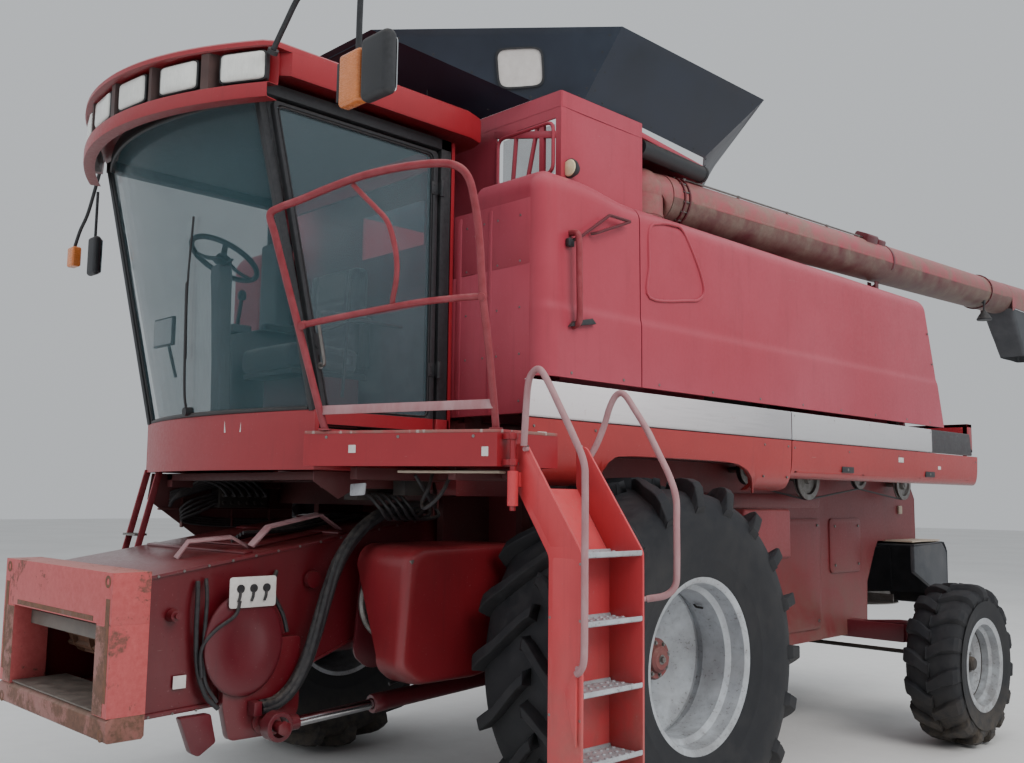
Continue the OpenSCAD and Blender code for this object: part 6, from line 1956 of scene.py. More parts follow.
add_box(b, -0.6185, 0.6185, F0 + 0.002, F1, 1.112, 1.328, 0)
for s in (1, -1):
    add_box(b, *sorted((s * 0.476, s * 0.6185)), F0 + 0.002, F1, 0.742, 1.114, 0)
for s in (1, -1):
    add_box(b, *sorted((s * 0.4765, s * 0.575)), F0 + 0.0006, F0 + 0.0022, 0.745, 1.105, 1)
ob = b.make("feeder_face_frame", ["facepaint", "sill"], "feeder", bevel=0.006, seg=3)
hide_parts("feeder_face")
b = Buf()
b.add(*prism([(F0 + 0.0015, 0.655), (F0 + 0.012, 0.643), (F1 - 0.01, 0.643), (F1, 0.655), (F1, 0.742), (F0 + 0.02, 0.742), (F0 + 0.0015, 0.728)], -0.6185, 0.6185, "yz"))
b.make("feeder_face_sill", "sill", "feeder", bevel=0.003)
b = Buf()
# worn contact strips, inner guide plates and lock holes' rings
for s in (1, -1):
    add_box(b, *sorted((s * 0.478, s * 0.500)), F0 + 0.001, F0 + 0.006, 0.76, 1.10)
    add_box(b, *sorted((s * 0.560, s * 0.600)), F0 + 0.001, F0 + 0.006, 0.80, 1.22)
add_box(b, -0.44, 0.44, F0 + 0.001, F0 + 0.006, 1.118, 1.140)
for x in (-0.57, 0.57):
    for z in (0.670, 1.290):
        ro = disc_prism((x, F0 + 0.0005, z), (0, 1, 0), 0.026, 0.006, 24, cap=False)
        ri = disc_prism((x, F0 + 0.0005, z), (0, 1, 0), 0.0135, 0.006, 24, cap=False)
        b.add(*ro)
        b.add(ri[0], [tuple(reversed(q)) for q in ri[1]])
        b.add(ro[0][:24] + ri[0][:24], [(k, 24 + k, 24 + (k + 1) % 24, (k + 1) % 24) for k in range(24)])
b.make("feeder_face_wear_strips", "rust2", "feeder")
b = Buf()
# hollow behind: slatted drum, pale wear plate in the opening, chain slats
add_box(b, -0.468, 0.468, FY - 0.09, FY - 0.082, 1.020, 1.085)
b.add(*prism([(FY - 0.16, 0.748), (FY + 0.10, 0.748), (FY + 0.10, 0.760), (FY - 0.16, 0.756)], -0.470, 0.470, "yz"))
b.make("feeder_throat_plates", "throat", "feeder", bevel=0.003)
b = Buf()
v, f = disc_prism((-0.498, -2.07, 0.968), (1, 0, 0), 0.085, 0.996, 40)
b.add(v, f)
for x in (-0.40, -0.2, 0.0, 0.2, 0.40):
    v, f = lathe([(-0.006, 0.02), (-0.006, 0.108), (0.006, 0.108), (0.006, 0.02)], (x, -2.07, 0.968), "x", 40)
    b.add(v, f)
for k in range(10):
    a = k * math.pi / 5
    c0 = Vector((-0.49, -2.07 + 0.094 * math.cos(a), 0.968 + 0.094 * math.sin(a)))
    v, f = sweep([c0, c0 + Vector((0.98, 0, 0))], [(-0.011, -0.010), (0.011, -0.010), (0.011, 0.010), (-0.011, 0.010)], ref=(0, math.cos(a), math.sin(a)))
    b.add(v, f)
ob = b.make("feeder_drum", "rust2", "feeder", bevel=0.0)
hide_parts("feeder_chain")
b = Buf()
for i in range(7):
    y, z = -1.93 + i * 0.186, 0.820 + i * 0.060
    b.add(*cuboid(-0.478, 0.478, y + 0.002, y + 0.018, z + 0.004, z + 0.044))
    b.add(*cuboid(-0.478, 0.478, y - 0.006, y + 0.026, z, z + 0.006))
for x in (-0.40, 0.0, 0.40):
    q0, q1 = Vector((x, -1.95, 0.850)), Vector((x, -0.80, 1.222))
    for k in range(34):
        c = q0 + (q1 - q0) * (k + 0.5) / 34
        d = (q1 - q0).normalized()
        for s in (-0.009, 0.009):
            v, f = sweep([c - d * 0.016 + Vector((s, 0, 0)), c + d * 0.016 + Vector((s, 0, 0))], [(-0.010, -0.002), (0.010, -0.002), (0.010, 0.002), (-0.010, 0.002)], ref=(0, -d.z, d.y))
            b.add(v, f)
b.make("feeder_slats_and_chain", "rust2", "feeder")

# drives on the left side of the feeder: oval cover, coupler plate with three couplers, straps, hook
def oval_pts(cy, cz, a, bb, n=40):
    return [(cy + a * math.cos(2 * math.pi * k / n), cz + bb * math.sin(2 * math.pi * k / n)) for k in range(n)]


b = Buf()
lay = [(0.604, 1.0), (0.612, 1.0), (0.618, 0.985), (0.622, 0.95), (0.6245, 0.88), (0.626, 0.7), (0.6262, 0.45), (0.6225, 0.40), (0.6225, 0.0)]
vs, fs = [], []
for x, s in lay:
    vs += [(x, cy, cz) for cy, cz in oval_pts(-1.81, 0.985, 0.198 * s, 0.232 * s)]
for i in range(len(lay) - 1):
    fs += [(i * 40 + k, i * 40 + (k + 1) % 40, (i + 1) * 40 + (k + 1) % 40, (i + 1) * 40 + k) for k in range(40)]
fs.append(tuple(range(39, -1, -1)))
b.add(vs, fs)
b.add(*cuboid(0.556, 0.606, -1.848, -1.772, 1.010, 1.068))
ob = b.make("oval_drive_cover", "maroon", "feeder")
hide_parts("header_drive")
b = Buf()
v, f = prism([(p.x, p.y) for p in round_poly([(-1.908, 1.150), (-1.672, 1.150), (-1.672, 1.287), (-1.908, 1.287)], 0.015)], 0.6345, 0.6400, "yz")
b.add(v, f)
b.make("coupler_plate", "white", "feeder", bevel=0.001)
b = Buf()
for k in range(3):
    y = -1.855 + k * 0.066
    b.add(*disc_prism((0.636, y, 1.235), (1, 0, 0), 0.019, 0.0095, 20))
    tube(b, [(0.640, y, 1.222), (0.6455, y - 0.004, 1.20), (0.6455, y - 0.012, 1.178)], 0.0065, 8, curve=True)
b.add(*cuboid(0.556, 0.636, -1.798, -1.762, 1.237, 1.278))
b.make("couplers", "hose", "feeder")
b = Buf()
# strap hose, short hoses and a cable in front of the side sheet
tube(b, [(0.556, -2.02, 1.27), (0.580, -2.03, 1.20), (0.590, -2.035, 1.05), (0.585, -2.02, 0.90), (0.592, -1.98, 0.78), (0.600, -1.92, 0.715)], 0.011, 10, curve=True)
tube(b, [(0.556, -1.98, 1.28), (0.590, -1.99, 1.18), (0.598, -2.00, 1.00), (0.594, -1.985, 0.84), (0.604, -1.93, 0.745)], 0.009, 10, curve=True)
tube(b, [(0.556, -1.62, 1.30), (0.585, -1.66, 1.22), (0.590, -1.60, 1.10), (0.600, -1.58, 1.02)], 0.010, 10, curve=True)
tube(b, [(0.6405, -1.855, 1.182), (0.6455, -1.88, 1.12), (0.635, -1.97, 1.06), (0.615, -2.02, 0.98), (0.608, -2.01, 0.86)], 0.008, 8, curve=True)
b.make("feeder_side_hoses", "hose", "feeder")
b = Buf()
v, f = prism([(p.x, p.y) for p in round_poly([(-2.098, 0.698), (-1.952, 0.698), (-1.922, 0.572), (-2.004, 0.522), (-2.038, 0.542)], 0.012, 3)], 0.5555, 0.5985, "yz")
b.add(v, f)
b.add(*cuboid(0.602, 0.661, -1.774, -1.734, 0.670, 0.731))
b.make("skid_hook", "maroon", "feeder", bevel=0.004)
b = Buf()
b.add(*disc_prism((0.554, -2.13, 1.13), (1, 0, 0), 0.030, 0.035, 24, 0.024))
b.add(*disc_prism((0.589, -2.13, 1.13), (1, 0, 0), 0.012, 0.018, 16))
b.add(*disc_prism((0.554, -1.42, 1.25), (1, 0, 0), 0.045, 0.022, 28, 0.040))
b.make("feeder_knobs", "feedred", "feeder")
b = Buf()
b.add(*cuboid(0.5535, 0.5555, -2.115, -2.055, 0.815, 0.870))
b.make("feeder_blank_tag", "white", "feeder")

# pale pink bracket strut and small parts on top of the feeder
b = Buf()
v, f = sweep([Vector((0.38, -1.66, 1.4085)), Vector((0.40, -1.58, 1.50)), Vector((0.42, -1.30, 1.56)), Vector((0.42, -1.18, 1.487))], [(-0.03, -0.005), (0.03, -0.005), (0.03, 0.005), (-0.03, 0.005)], ref=(1, 0, 0))
b.add(v, f)
v, f = sweep([Vector((0.20, -1.95, 1.352)), Vector((0.22, -1.90, 1.43)), Vector((0.30, -1.72, 1.45)), Vector((0.32, -1.64, 1.404))], [(-0.025, -0.004), (0.025, -0.004), (0.025, 0.004), (-0.025, 0.004)], ref=(1, 0, 0))
b.add(v, f)
b.make("feeder_top_brackets", "rail", "feeder", bevel=0.001)
b = Buf()
for k in range(5):
    x = 0.05 + k * 0.028
    tube(b, [(x, -0.80, 1.54), (x + 0.02, -1.05, 1.53 + 0.02 * math.sin(k)), (x + 0.05, -1.35, 1.475), (x + 0.04, -1.6, 1.425 + 0.01 * k)], 0.010, 8, curve=True)
b.make("feeder_top_hoses", "hose", "feeder")
# ------------------------------------------------------------------ unloading auger
AP = Vector((1.200, 0.290, 3.413))
SL = math.radians(1.98)
AD = Vector((0, math.cos(SL), math.sin(SL)))
AU = Vector((0, -math.sin(SL), math.cos(SL)))
AR = 0.1465


def ap(s, a, r):
    """Point at length s and angle a round the auger, angle 0 to the left side."""
    return AP + AD * s + (Vector((1, 0, 0)) * math.cos(a) + AU * math.sin(a)) * r


b = Buf()
n = 56
svals = [0.155, 0.16, 0.24] + [0.30 + 0.105 * k for k in range(50)] + [5.50]
vs, fs, mi = [], [], []
for s in svals:
    for k in range(n):
        a = 2 * math.pi * k / n
        # seam fold on the outer flank and soft dents along the tube
        d = -0.0012 + 0.0012 * noise.noise(Vector((s * 1.4, math.cos(a), math.sin(a))))
        if abs(a - math.radians(352)) < 0.10:
            d += 0.0004
        vs.append(ap(s, a, AR + d))
for i in range(len(svals) - 1):
    for k in range(n):
        j = (k + 1) % n
        fs.append((i * n + k, i * n + j, (i + 1) * n + j, (i + 1) * n + k))
        am = 2 * math.pi * (k + 0.5) / n
        # the lower half of the tube gets the darker copy of the paint, as painted shade
        mi.append(1 if math.radians(190) < am < math.radians(352) else 0)
tube_ob = mk_multi("auger_barrel", vs, fs, mi, ["auger", "auger_underside_shade"], "auger", smooth=40, solid=0.004)
fix_normals(tube_ob)
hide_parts("auger_tube")
b = Buf()
# long seam strip, flange rings, clamp box and its bolts
rows = []
for s in [0.35 + 0.2 * k for k in range(26)]:
    rows.append([ap(s, math.radians(a), AR + o) for a, o in ((349.5, 0.0000), (350.5, 0.004), (353, 0.005), (355.5, 0.004), (356.5, 0.0000))])
sheet_grid("auger_seam_strip", rows, "auger", "auger", 0.0, smooth=50)
for s, w, r in ((0.25, 0.012, AR + 0.0135), (0.30, 0.012, AR + 0.0135), (4.98, 0.012, AR + 0.0135)):
    prof = [(s, AR - 0.001), (s, r), (s + w, r), (s + w, AR - 0.001)]
    vs, fs = [], []
    for k in range(n):
        a = 2 * math.pi * k / n
        vs += [ap(q, a, rr_) for q, rr_ in prof]
    for k in range(n):
        j = (k + 1) % n
        for i in range(4):
            fs.append((k * 4 + i, k * 4 + (i + 1) % 4, j * 4 + (i + 1) % 4, j * 4 + i))
    b.add(vs, fs)
ob = b.make("auger_flanges", "maroon", "auger")
fix_normals(ob)
b = Buf()
for s in (0.247, 4.977):
    for k in range(16):
        a = 2 * math.pi * (k + 0.5) / 16
        b.add(*disc_prism(ap(s - 0.004, a, AR + 0.006), AD, 0.0055, 0.072 if s < 1 else 0.022, 6))
# hinge clamp, tie rod of the vertical part and the thin rod along the top
b.add(*disc_prism(ap(0.34, math.radians(62), AR + 0.012), AD, 0.006, 2.30, 10))
for s in (0.36, 0.95, 1.55, 2.1, 2.58):
    b.add(*disc_prism(ap(s, math.radians(62), AR - 0.002), (ap(s, math.radians(62), 1) - ap(s, math.radians(62), 0)), 0.010, 0.022, 10))
b.make("auger_bolts_and_rod", "steel", "auger")
b = Buf()
for s, w, h, l in ((2.72, 0.062, 0.048, 0.085), (2.90, 0.050, 0.034, 0.060)):
    c = ap(s, math.radians(66), AR - 0.010)
    up = (ap(s, math.radians(66), 1) - ap(s, math.radians(66), 0))
    sd_ = up.cross(AD)
    v = []
    for dz, q in ((0.0, 1.0), (h, 0.9), (h + 0.010, 0.7)):
        for a_, s_ in ((-1, -1), (1, -1), (1, 1), (-1, 1)):
            v.append(c + up * dz + sd_ * (w * q * a_) + AD * (l * s_))
    b.add(v, [(0, 1, 5, 4), (1, 2, 6, 5), (2, 3, 7, 6), (3, 0, 4, 7), (4, 5, 9, 8), (5, 6, 10, 9), (6, 7, 11, 10), (7, 4, 8, 11), (8, 9, 10, 11)])
# strap round the upper half of the tube beside the clamp
prof = [(2.985, AR - 0.001), (2.985, AR + 0.007), (3.020, AR + 0.007), (3.020, AR - 0.001)]
vs, fs = [], []
na = 24
for k in range(na + 1):
    a = math.radians(-30 + 150 * k / na)
    vs += [ap(q, a, rr_) for q, rr_ in prof]
for k in range(na):
    for i in range(4):
        fs.append((k * 4 + i, k * 4 + (i + 1) % 4, (k + 1) * 4 + (i + 1) % 4, (k + 1) * 4 + i))
fs += [(3, 2, 1, 0), tuple(na * 4 + q for q in range(4))]
b.add(vs, fs)
ob = b.make("auger_clamp_boxes", "maroon", "auger", bevel=0.004)
fix_normals(ob)
# elbow and vertical part
b = Buf()
def lathe_z(c, prof, n_=48):
    vs = [(c[0] + r * math.cos(2 * math.pi * k / n_), c[1] + r * math.sin(2 * math.pi * k / n_), z) for k in range(n_) for z, r in prof]
    m_ = len(prof)
    fs = [(k * m_ + i, ((k + 1) % n_) * m_ + i, ((k + 1) % n_) * m_ + (i + 1) % m_, k * m_ + (i + 1) % m_) for k in range(n_) for i in range(m_)]
    return vs, fs


v, f = lathe_z((1.2, 0.29), [(3.254, 0.129), (3.254, 0.146), (3.40, 0.146), (3.40, 0.129)])
b.add(v, f)
v, f = lathe_z((1.2, 0.29), [(3.262, 0.146), (3.262, 0.1495), (3.276, 0.1495), (3.276, 0.146)])
b.add(v, f)
# mitred elbow: round cap built from short rings turning from up to along the tube
rings_ = []
for k in range(9):
    t = k / 8 * (math.pi / 2 - SL)
    d = Vector((0, math.sin(t), math.cos(t)))
    e = Vector((0, math.cos(t), -math.sin(t)))
    c = Vector((1.2, 0.29, 3.398)) + Vector((0, 0.158 * (1 - math.cos(t)), 0.158 * math.sin(t) * 0.12))
    rings_.append([c + (Vector((1, 0, 0)) * math.cos(2 * math.pi * j / 48) + e * math.sin(2 * math.pi * j / 48)) * 0.146 for j in range(48)])
vs = [p for r in rings_ for p in r]
fs = [(i * 48 + j, i * 48 + (j + 1) % 48, (i + 1) * 48 + (j + 1) % 48, (i + 1) * 48 + j) for i in range(8) for j in range(48)]
b.add(vs, fs)
# domed back of the elbow
vs, fs = [], []
m_ = 24
for i in range(m_ + 1):
    th = math.pi * i / m_
    for j in range(48):
        ph = 2 * math.pi * j / 48
        vs.append(AP + Vector((0.150 * math.sin(th) * math.cos(ph), 0.150 * math.sin(th) * math.sin(ph), 0.150 * math.cos(th))))
for i in range(m_):
    for j in range(48):
        fs.append((i * 48 + j, (i + 1) * 48 + j, (i + 1) * 48 + (j + 1) % 48, i * 48 + (j + 1) % 48))
b.add(vs, fs)
ob = b.make("auger_elbow", "auger", "auger")
fix_normals(ob)
# end housing: rounded hood that opens downwards
def house_ring(t, inset=0.0):
    """Section of the end housing at t from 0 (at the tube) to 1 (rounded end)."""
    y = 5.785 + t * 0.725
    zc = 3.604 + t * 0.030
    k = 1.0 if t < 0.72 else math.sqrt(max(0.0, 1 - ((t - 0.72) / 0.285) ** 2))
    w = 0.146
    top = zc + 0.1465 * k
    pts = []
    for j in range(17):
        a = math.pi * j / 16
        pts.append((1.2 + w * math.cos(a) * (0.35 + 0.65 * k), y, max(3.4945, zc + 0.146 * k * math.sin(a))))
    z0 = 3.492 if t > 0.02 else 3.462
    out = [(1.2 + w * (0.35 + 0.65 * k), y, z0)] + pts + [(1.2 - w * (0.35 + 0.65 * k), y, z0)]
    return out


rows = [house_ring(t) for t in (0, 0.1, 0.25, 0.4, 0.55, 0.72, 0.8, 0.87, 0.93, 0.97, 0.995)]
ob = sheet_grid("auger_end_hood", rows, "auger", "auger", 0.004, smooth=50)
b = Buf()
tube(b, [(1.347, 5.79, 3.4945), (1.347, 6.20, 3.4945), (1.345, 6.42, 3.4945), (1.30, 6.500, 3.4945), (1.20, 6.509, 3.4945), (1.10, 6.500, 3.4945), (1.055, 6.42, 3.4945), (1.053, 6.20, 3.4945), (1.053, 5.79, 3.4945)], 0.0045, 6, curve=True)
b.make("auger_hood_lip", "maroon", "auger")
# rubber boot with folds
rows = []
T = [0, 0.02, 0.05, 0.12, 0.2, 0.3, 0.4, 0.5, 0.6, 0.7, 0.8, 0.9, 0.96, 1.0]
for t in T:
    z = 3.488 + (3.0725 - 3.488) * t
    y0, y1 = 5.803 + (6.137 - 5.803) * t, 6.503 + (6.643 - 6.503) * t
    hw = 0.140 - 0.016 * t
    base = round_poly([(y0, -hw), (y1, -hw), (y1, hw), (y0, hw)], 0.03, 4)
    # denser points along the edges so that the rubber can wave
    loop = []
    for i, p in enumerate(base):
        q = base[(i + 1) % len(base)]
        m_ = max(1, int((q - p).length / 0.05))
        for k in range(m_):
            loop.append(p + (q - p) * (k / m_))
    c = Vector(((y0 + y1) / 2, 0))
    row = []
    for p in loop:
        w = 0.010 * t * noise.noise(Vector((p.x * 6, p.y * 6, z * 7))) - 0.006 * t
        d = (p - c).normalized() * (w if 0 < t < 1 else w)
        row.append((1.2 + p.y + d.y, p.x + d.x, z))
    rows.append(row)
m_ = min(len(r) for r in rows)
rows2 = []
for r in rows:
    # resample each loop to the same number of points
    r = [Vector(p) for p in r]
    L = [0.0]
    for i in range(len(r)):
        L.append(L[-1] + (r[(i + 1) % len(r)] - r[i]).length)
    out = []
    for k in range(64):
        s = L[-1] * k / 64
        i = max(j for j in range(len(L) - 1) if L[j] <= s + 1e-9)
        u = (s - L[i]) / max(1e-6, L[i + 1] - L[i])
        out.append(r[i] + (r[(i + 1) % len(r)] - r[i]) * u)
    rows2.append(out)
ob = sheet_grid("spout_boot", rows2, "hood", "auger", 0.006, smooth=60, closed=True)
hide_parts("auger_spout")
# lamp that hangs beside the spout, thin rods and its cable
b = Buf()
b.add(*disc_prism((1.300, 5.20, 3.470), (0, 0, -1), 0.007, 0.082, 10))
v, f = lathe([(-0.105, 0.001), (-0.105, 0.062), (-0.094, 0.066), (-0.060, 0.046), (-0.030, 0.024), (-0.012, 0.012), (-0.012, 0.001)], (1.300, 5.20, 3.405), "z", 28)
b.add(v, f)
b.add(*cuboid(1.288, 1.312, 5.182, 5.218, 3.455, 3.52))
b.make("spout_lamp", "plastic", "auger")

# ------------------------------------------------------------------ tank corner: dark cross tube, collar lamp, antenna
b = Buf()
c0, c1 = Vector((1.190, 0.118, 3.56)), Vector((1.190, 0.118, 3.56))
pts = [Vector((1.335, 0.135, 3.620)), Vector((1.325, 0.40, 3.622)), Vector((1.300, 0.78, 3.624))]
v, f = sweep(pts, ring(0.048, 24), ref=(1, 0, 0))
b.add(v, f)
v, f = disc_prism((1.300, 0.776, 3.624), (-0.06, 1, 0.01), 0.051, 0.02, 24)
b.add(v, f)
for y in (0.20, 0.5):
    b.add(*disc_prism((1.332 - 0.04 * y, y, 3.622), (0, 1, 0), 0.050, 0.018, 24))
b.make("dark_roll_tube", "plastic")
b = Buf()
b.add(*disc_prism((1.3805, -0.47, 3.33), (1, 0, 0), 0.016, 0.03, 14))
v, f = lathe([(0.0, 0.001), (0.0, 0.030), (0.03, 0.048), (0.045, 0.050), (0.050, 0.046), (0.050, 0.001)], (1.40, -0.47, 3.33), "y", 28, -1)
b.add(v, f)
b.make("collar_lamp", "plastic")
b = Buf()
v, f = lathe([(0.0, 0.001), (0.0, 0.045), (0.006, 0.040), (0.010, 0.02), (0.011, 0.001)], (1.40, -0.519, 3.33), "y", 28, -1)
b.add(v, f)
b.make("collar_lamp_lens", "lens_warm")
b = Buf()
v, f = disc_prism((0.60, -0.80, 3.694), (0.0, -0.02, 1), 0.005, 0.40, 8, 0.0025)
b.add(v, f)
b.add(*disc_prism((0.60, -0.80, 3.690), (0, 0, 1), 0.016, 0.022, 16))
b.make("antenna", "plastic")
# round beacon base and small deflector on the roof
b = Buf()
b.add(*disc_prism((0.0, -1.2, 3.684), (0, 0, 1), 0.055, 0.018, 28))
v, f = lathe([(0.0, 0.001), (0.0, 0.045), (0.06, 0.043), (0.085, 0.032), (0.092, 0.001)], (0, -1.2, 3.70), "z", 28)
b.add(v, f, 1)
b.make("roof_beacon", ["plastic", "amber"])

# light pane in the front-left chamfer of the extension
def on_ext(i, u, t, o=0.0):
    return ext_point(i, u, t) + ext_normal(i) * o


b = Buf()
loop = []
for k in range(32):
    a = 2 * math.pi * k / 32
    cu, cv = math.copysign(abs(math.cos(a)) ** 0.38, math.cos(a)), math.copysign(abs(math.sin(a)) ** 0.38, math.sin(a))
    loop.append((cu, cv))
pane, frame_ = [], []
Q = [Vector(p) for p in ((1.053, -0.683, 3.803), (1.224, -0.535, 3.815), (1.248, -0.577, 3.997), (1.074, -0.730, 3.991))]


def on_quad(cu, cv, k):
    u, w = 0.5 + 0.5 * cu * k, 0.5 + 0.5 * cv * k
    p = Q[0] * (1 - u) * (1 - w) + Q[1] * u * (1 - w) + Q[2] * u * w + Q[3] * (1 - u) * w
    n_ = ext_normal(2)
    return p - n_ * (p - ext_point(2, 0.5, 0.5)).dot(n_) + n_ * 0.0008


for cu, cv in loop:
    pane.append(on_quad(cu, cv, 1.0))
    frame_.append(on_quad(cu, cv, 1.10))
b.add(pane, [tuple(range(32))], 0)
vs = frame_ + [p + ext_normal(2) * 0.006 for p in frame_] + [p + ext_normal(2) * 0.006 for p in pane] + pane
fs = []
for r_ in range(3):
    fs += [(r_ * 32 + k, r_ * 32 + (k + 1) % 32, (r_ + 1) * 32 + (k + 1) % 32, (r_ + 1) * 32 + k) for k in range(32)]
b.add(vs, fs, 1)
b.make("extension_window", ["white", "plastic"])

# ------------------------------------------------------------------ top of the body: deck, cooling box, exhaust, air cleaner
DT = PT - 0.030
b = Buf()
b.add(*cuboid(-1.243, 1.243, 1.442, 3.398, PT - 0.058, DT - 0.0005))
ob = b.make("deck_sheet", "tread", bevel=0.003)
b = Buf()
b.add(*prism([(3.441, PT - 0.062), (3.401, PT - 0.062), (3.641, 2.062), (3.679, 2.062)], -1.243, 1.243, "yz"))
b.make("upper_back_wall", "panel", bevel=0.006)
b = Buf()
for x in (-1.05, -0.62, -0.2, 0.2, 0.62, 1.05):
    b.add(*prism([(3.442, 3.14), (3.674, 2.10), (3.679, 2.10), (3.4475, 3.14)], x - 0.018, x + 0.018, "yz"))
b.make("back_wall_ribs", "panel", bevel=0.002)
b = Buf()
# cooling box with rounded edges, air screen with mesh bars on its right side
v, f = cuboid(-1.166, -0.422, 1.702, 2.748, DT, 3.558)
b.add(v, f)
ob = b.make("cooling_box", "panel", bevel=0.02, seg=4)
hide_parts("engine_deck")
b = Buf()
for (y0, y1, z0, z1) in ((1.702, 2.748, DT, 3.238), (1.702, 2.748, 3.502, 3.558), (1.702, 1.788, 3.238, 3.502), (2.662, 2.748, 3.238, 3.502)):
    b.add(*cuboid(-1.199, -1.166, y0, y1, z0, z1))
b.make("air_screen_frame", "panel", bevel=0.003)
b = Buf()
for k in range(34):
    y = 1.80 + k * 0.0258
    b.add(*cuboid(-1.182, -1.178, y, y + 0.005, 3.238, 3.502))
for k in range(10):
    z = 3.25 + k * 0.0268
    b.add(*cuboid(-1.178, -1.174, 1.79, 2.66, z, z + 0.005))
b.make("air_screen_mesh", "steel")
b = Buf()
v, f = cuboid(-0.298, 0.698, 1.902, 2.898, DT, 3.378)
b.add(v, f)
b.make("engine_cover", "panel", bevel=0.03, seg=4)
b = Buf()
for k in range(9):
    y = 2.02 + k * 0.09
    b.add(*prism([(y, 3.379), (y + 0.055, 3.379), (y + 0.050, 3.3935 - 0.008), (y + 0.01, 3.3935 - 0.008)], 0.25, 0.60, "yz"))
for k in range(7):
    z = 3.225 + k * 0.02
    b.add(*cuboid(0.696, 0.7, 2.1, 2.7, z, z + 0.010))
b.make("engine_cover_louvres", "maroon", bevel=0.002)
b = Buf()
v, f = lathe_z((0.15, 2.65), [(3.376, 0.052), (3.376, 0.0595), (3.40, 0.0595), (3.405, 0.056), (3.795, 0.056), (3.7985, 0.054), (3.7985, 0.052)], 36)
b.add(v, f)
for z in (3.43, 3.62):
    v, f = lathe_z((0.15, 2.65), [(z, 0.0555), (z, 0.0598), (z + 0.02, 0.0598), (z + 0.02, 0.0555)], 36)
    b.add(v, f)
ob = b.make("exhaust_stack", "rust2")
fix_normals(ob)
b = Buf()
v, f = lathe([(0.0, 0.001), (0.0, 0.129), (0.012, 0.1295), (0.05, 0.122), (0.19, 0.122), (0.20, 0.1295), (0.215, 0.1295), (0.225, 0.118), (0.252, 0.085), (0.2595, 0.001)], (0.48, 2.20, 3.378), "z", 48)
b.add(v, f)
ob = b.make("air_cleaner", "plastic")
fix_normals(ob)
b = Buf()
b.add(*cuboid(1.167, 1.233, 3.202, 3.258, DT - 0.008, 3.30))
v, f = prism([(1.166, 3.30), (1.234, 3.30), (1.234, 3.358), (1.226, 3.358), (1.222, 3.33), (1.20, 3.322), (1.178, 3.33), (1.174, 3.358), (1.166, 3.358)], 3.202, 3.258, "xz")
b.add(v, f)
b.make("auger_cradle", "maroon", bevel=0.003)
# hand rail on the deck, grab handles on the engine cover
b = Buf()
for x in (-0.25, 0.65):
    tube(b, [(x, 2.05, 3.378), (x, 2.05, 3.42), (x, 2.25, 3.42), (x, 2.25, 3.378)], 0.008, 8, 0.02)
tube(b, [(-1.10, 3.30, DT), (-1.10, 3.30, 3.56), (-0.30, 3.30, 3.56), (-0.30, 3.30, DT)], 0.014, 12, 0.06)
tube(b, [(-0.70, 3.30, DT), (-0.70, 3.30, 3.556)], 0.012, 10)
b.make("deck_hand_rail", "rail")
# ------------------------------------------------------------------ threshing body sides and what hangs below the shields
SIDE = [(-0.30, 1.18), (-0.30, 1.66), (-0.76, 1.66), (-0.76, 2.05), (4.38, 2.05), (4.64, 1.68), (4.64, 1.33), (3.90, 1.33), (3.72, 1.01), (3.70, 0.62), (1.05, 0.60), (0.78, 1.00), (0.33, 1.18)]


def side_lo(y):
    return interp([(-0.76, 1.66), (-0.301, 1.66), (-0.30, 1.18), (0.33, 1.18), (0.78, 1.0), (1.05, 0.60), (3.70, 0.62), (3.72, 1.01), (3.90, 1.33), (4.64, 1.33)], y)


def side_hi(y):
    return interp([(4.38, 2.049), (4.64, 1.68)], y) if y > 4.38 else 2.049


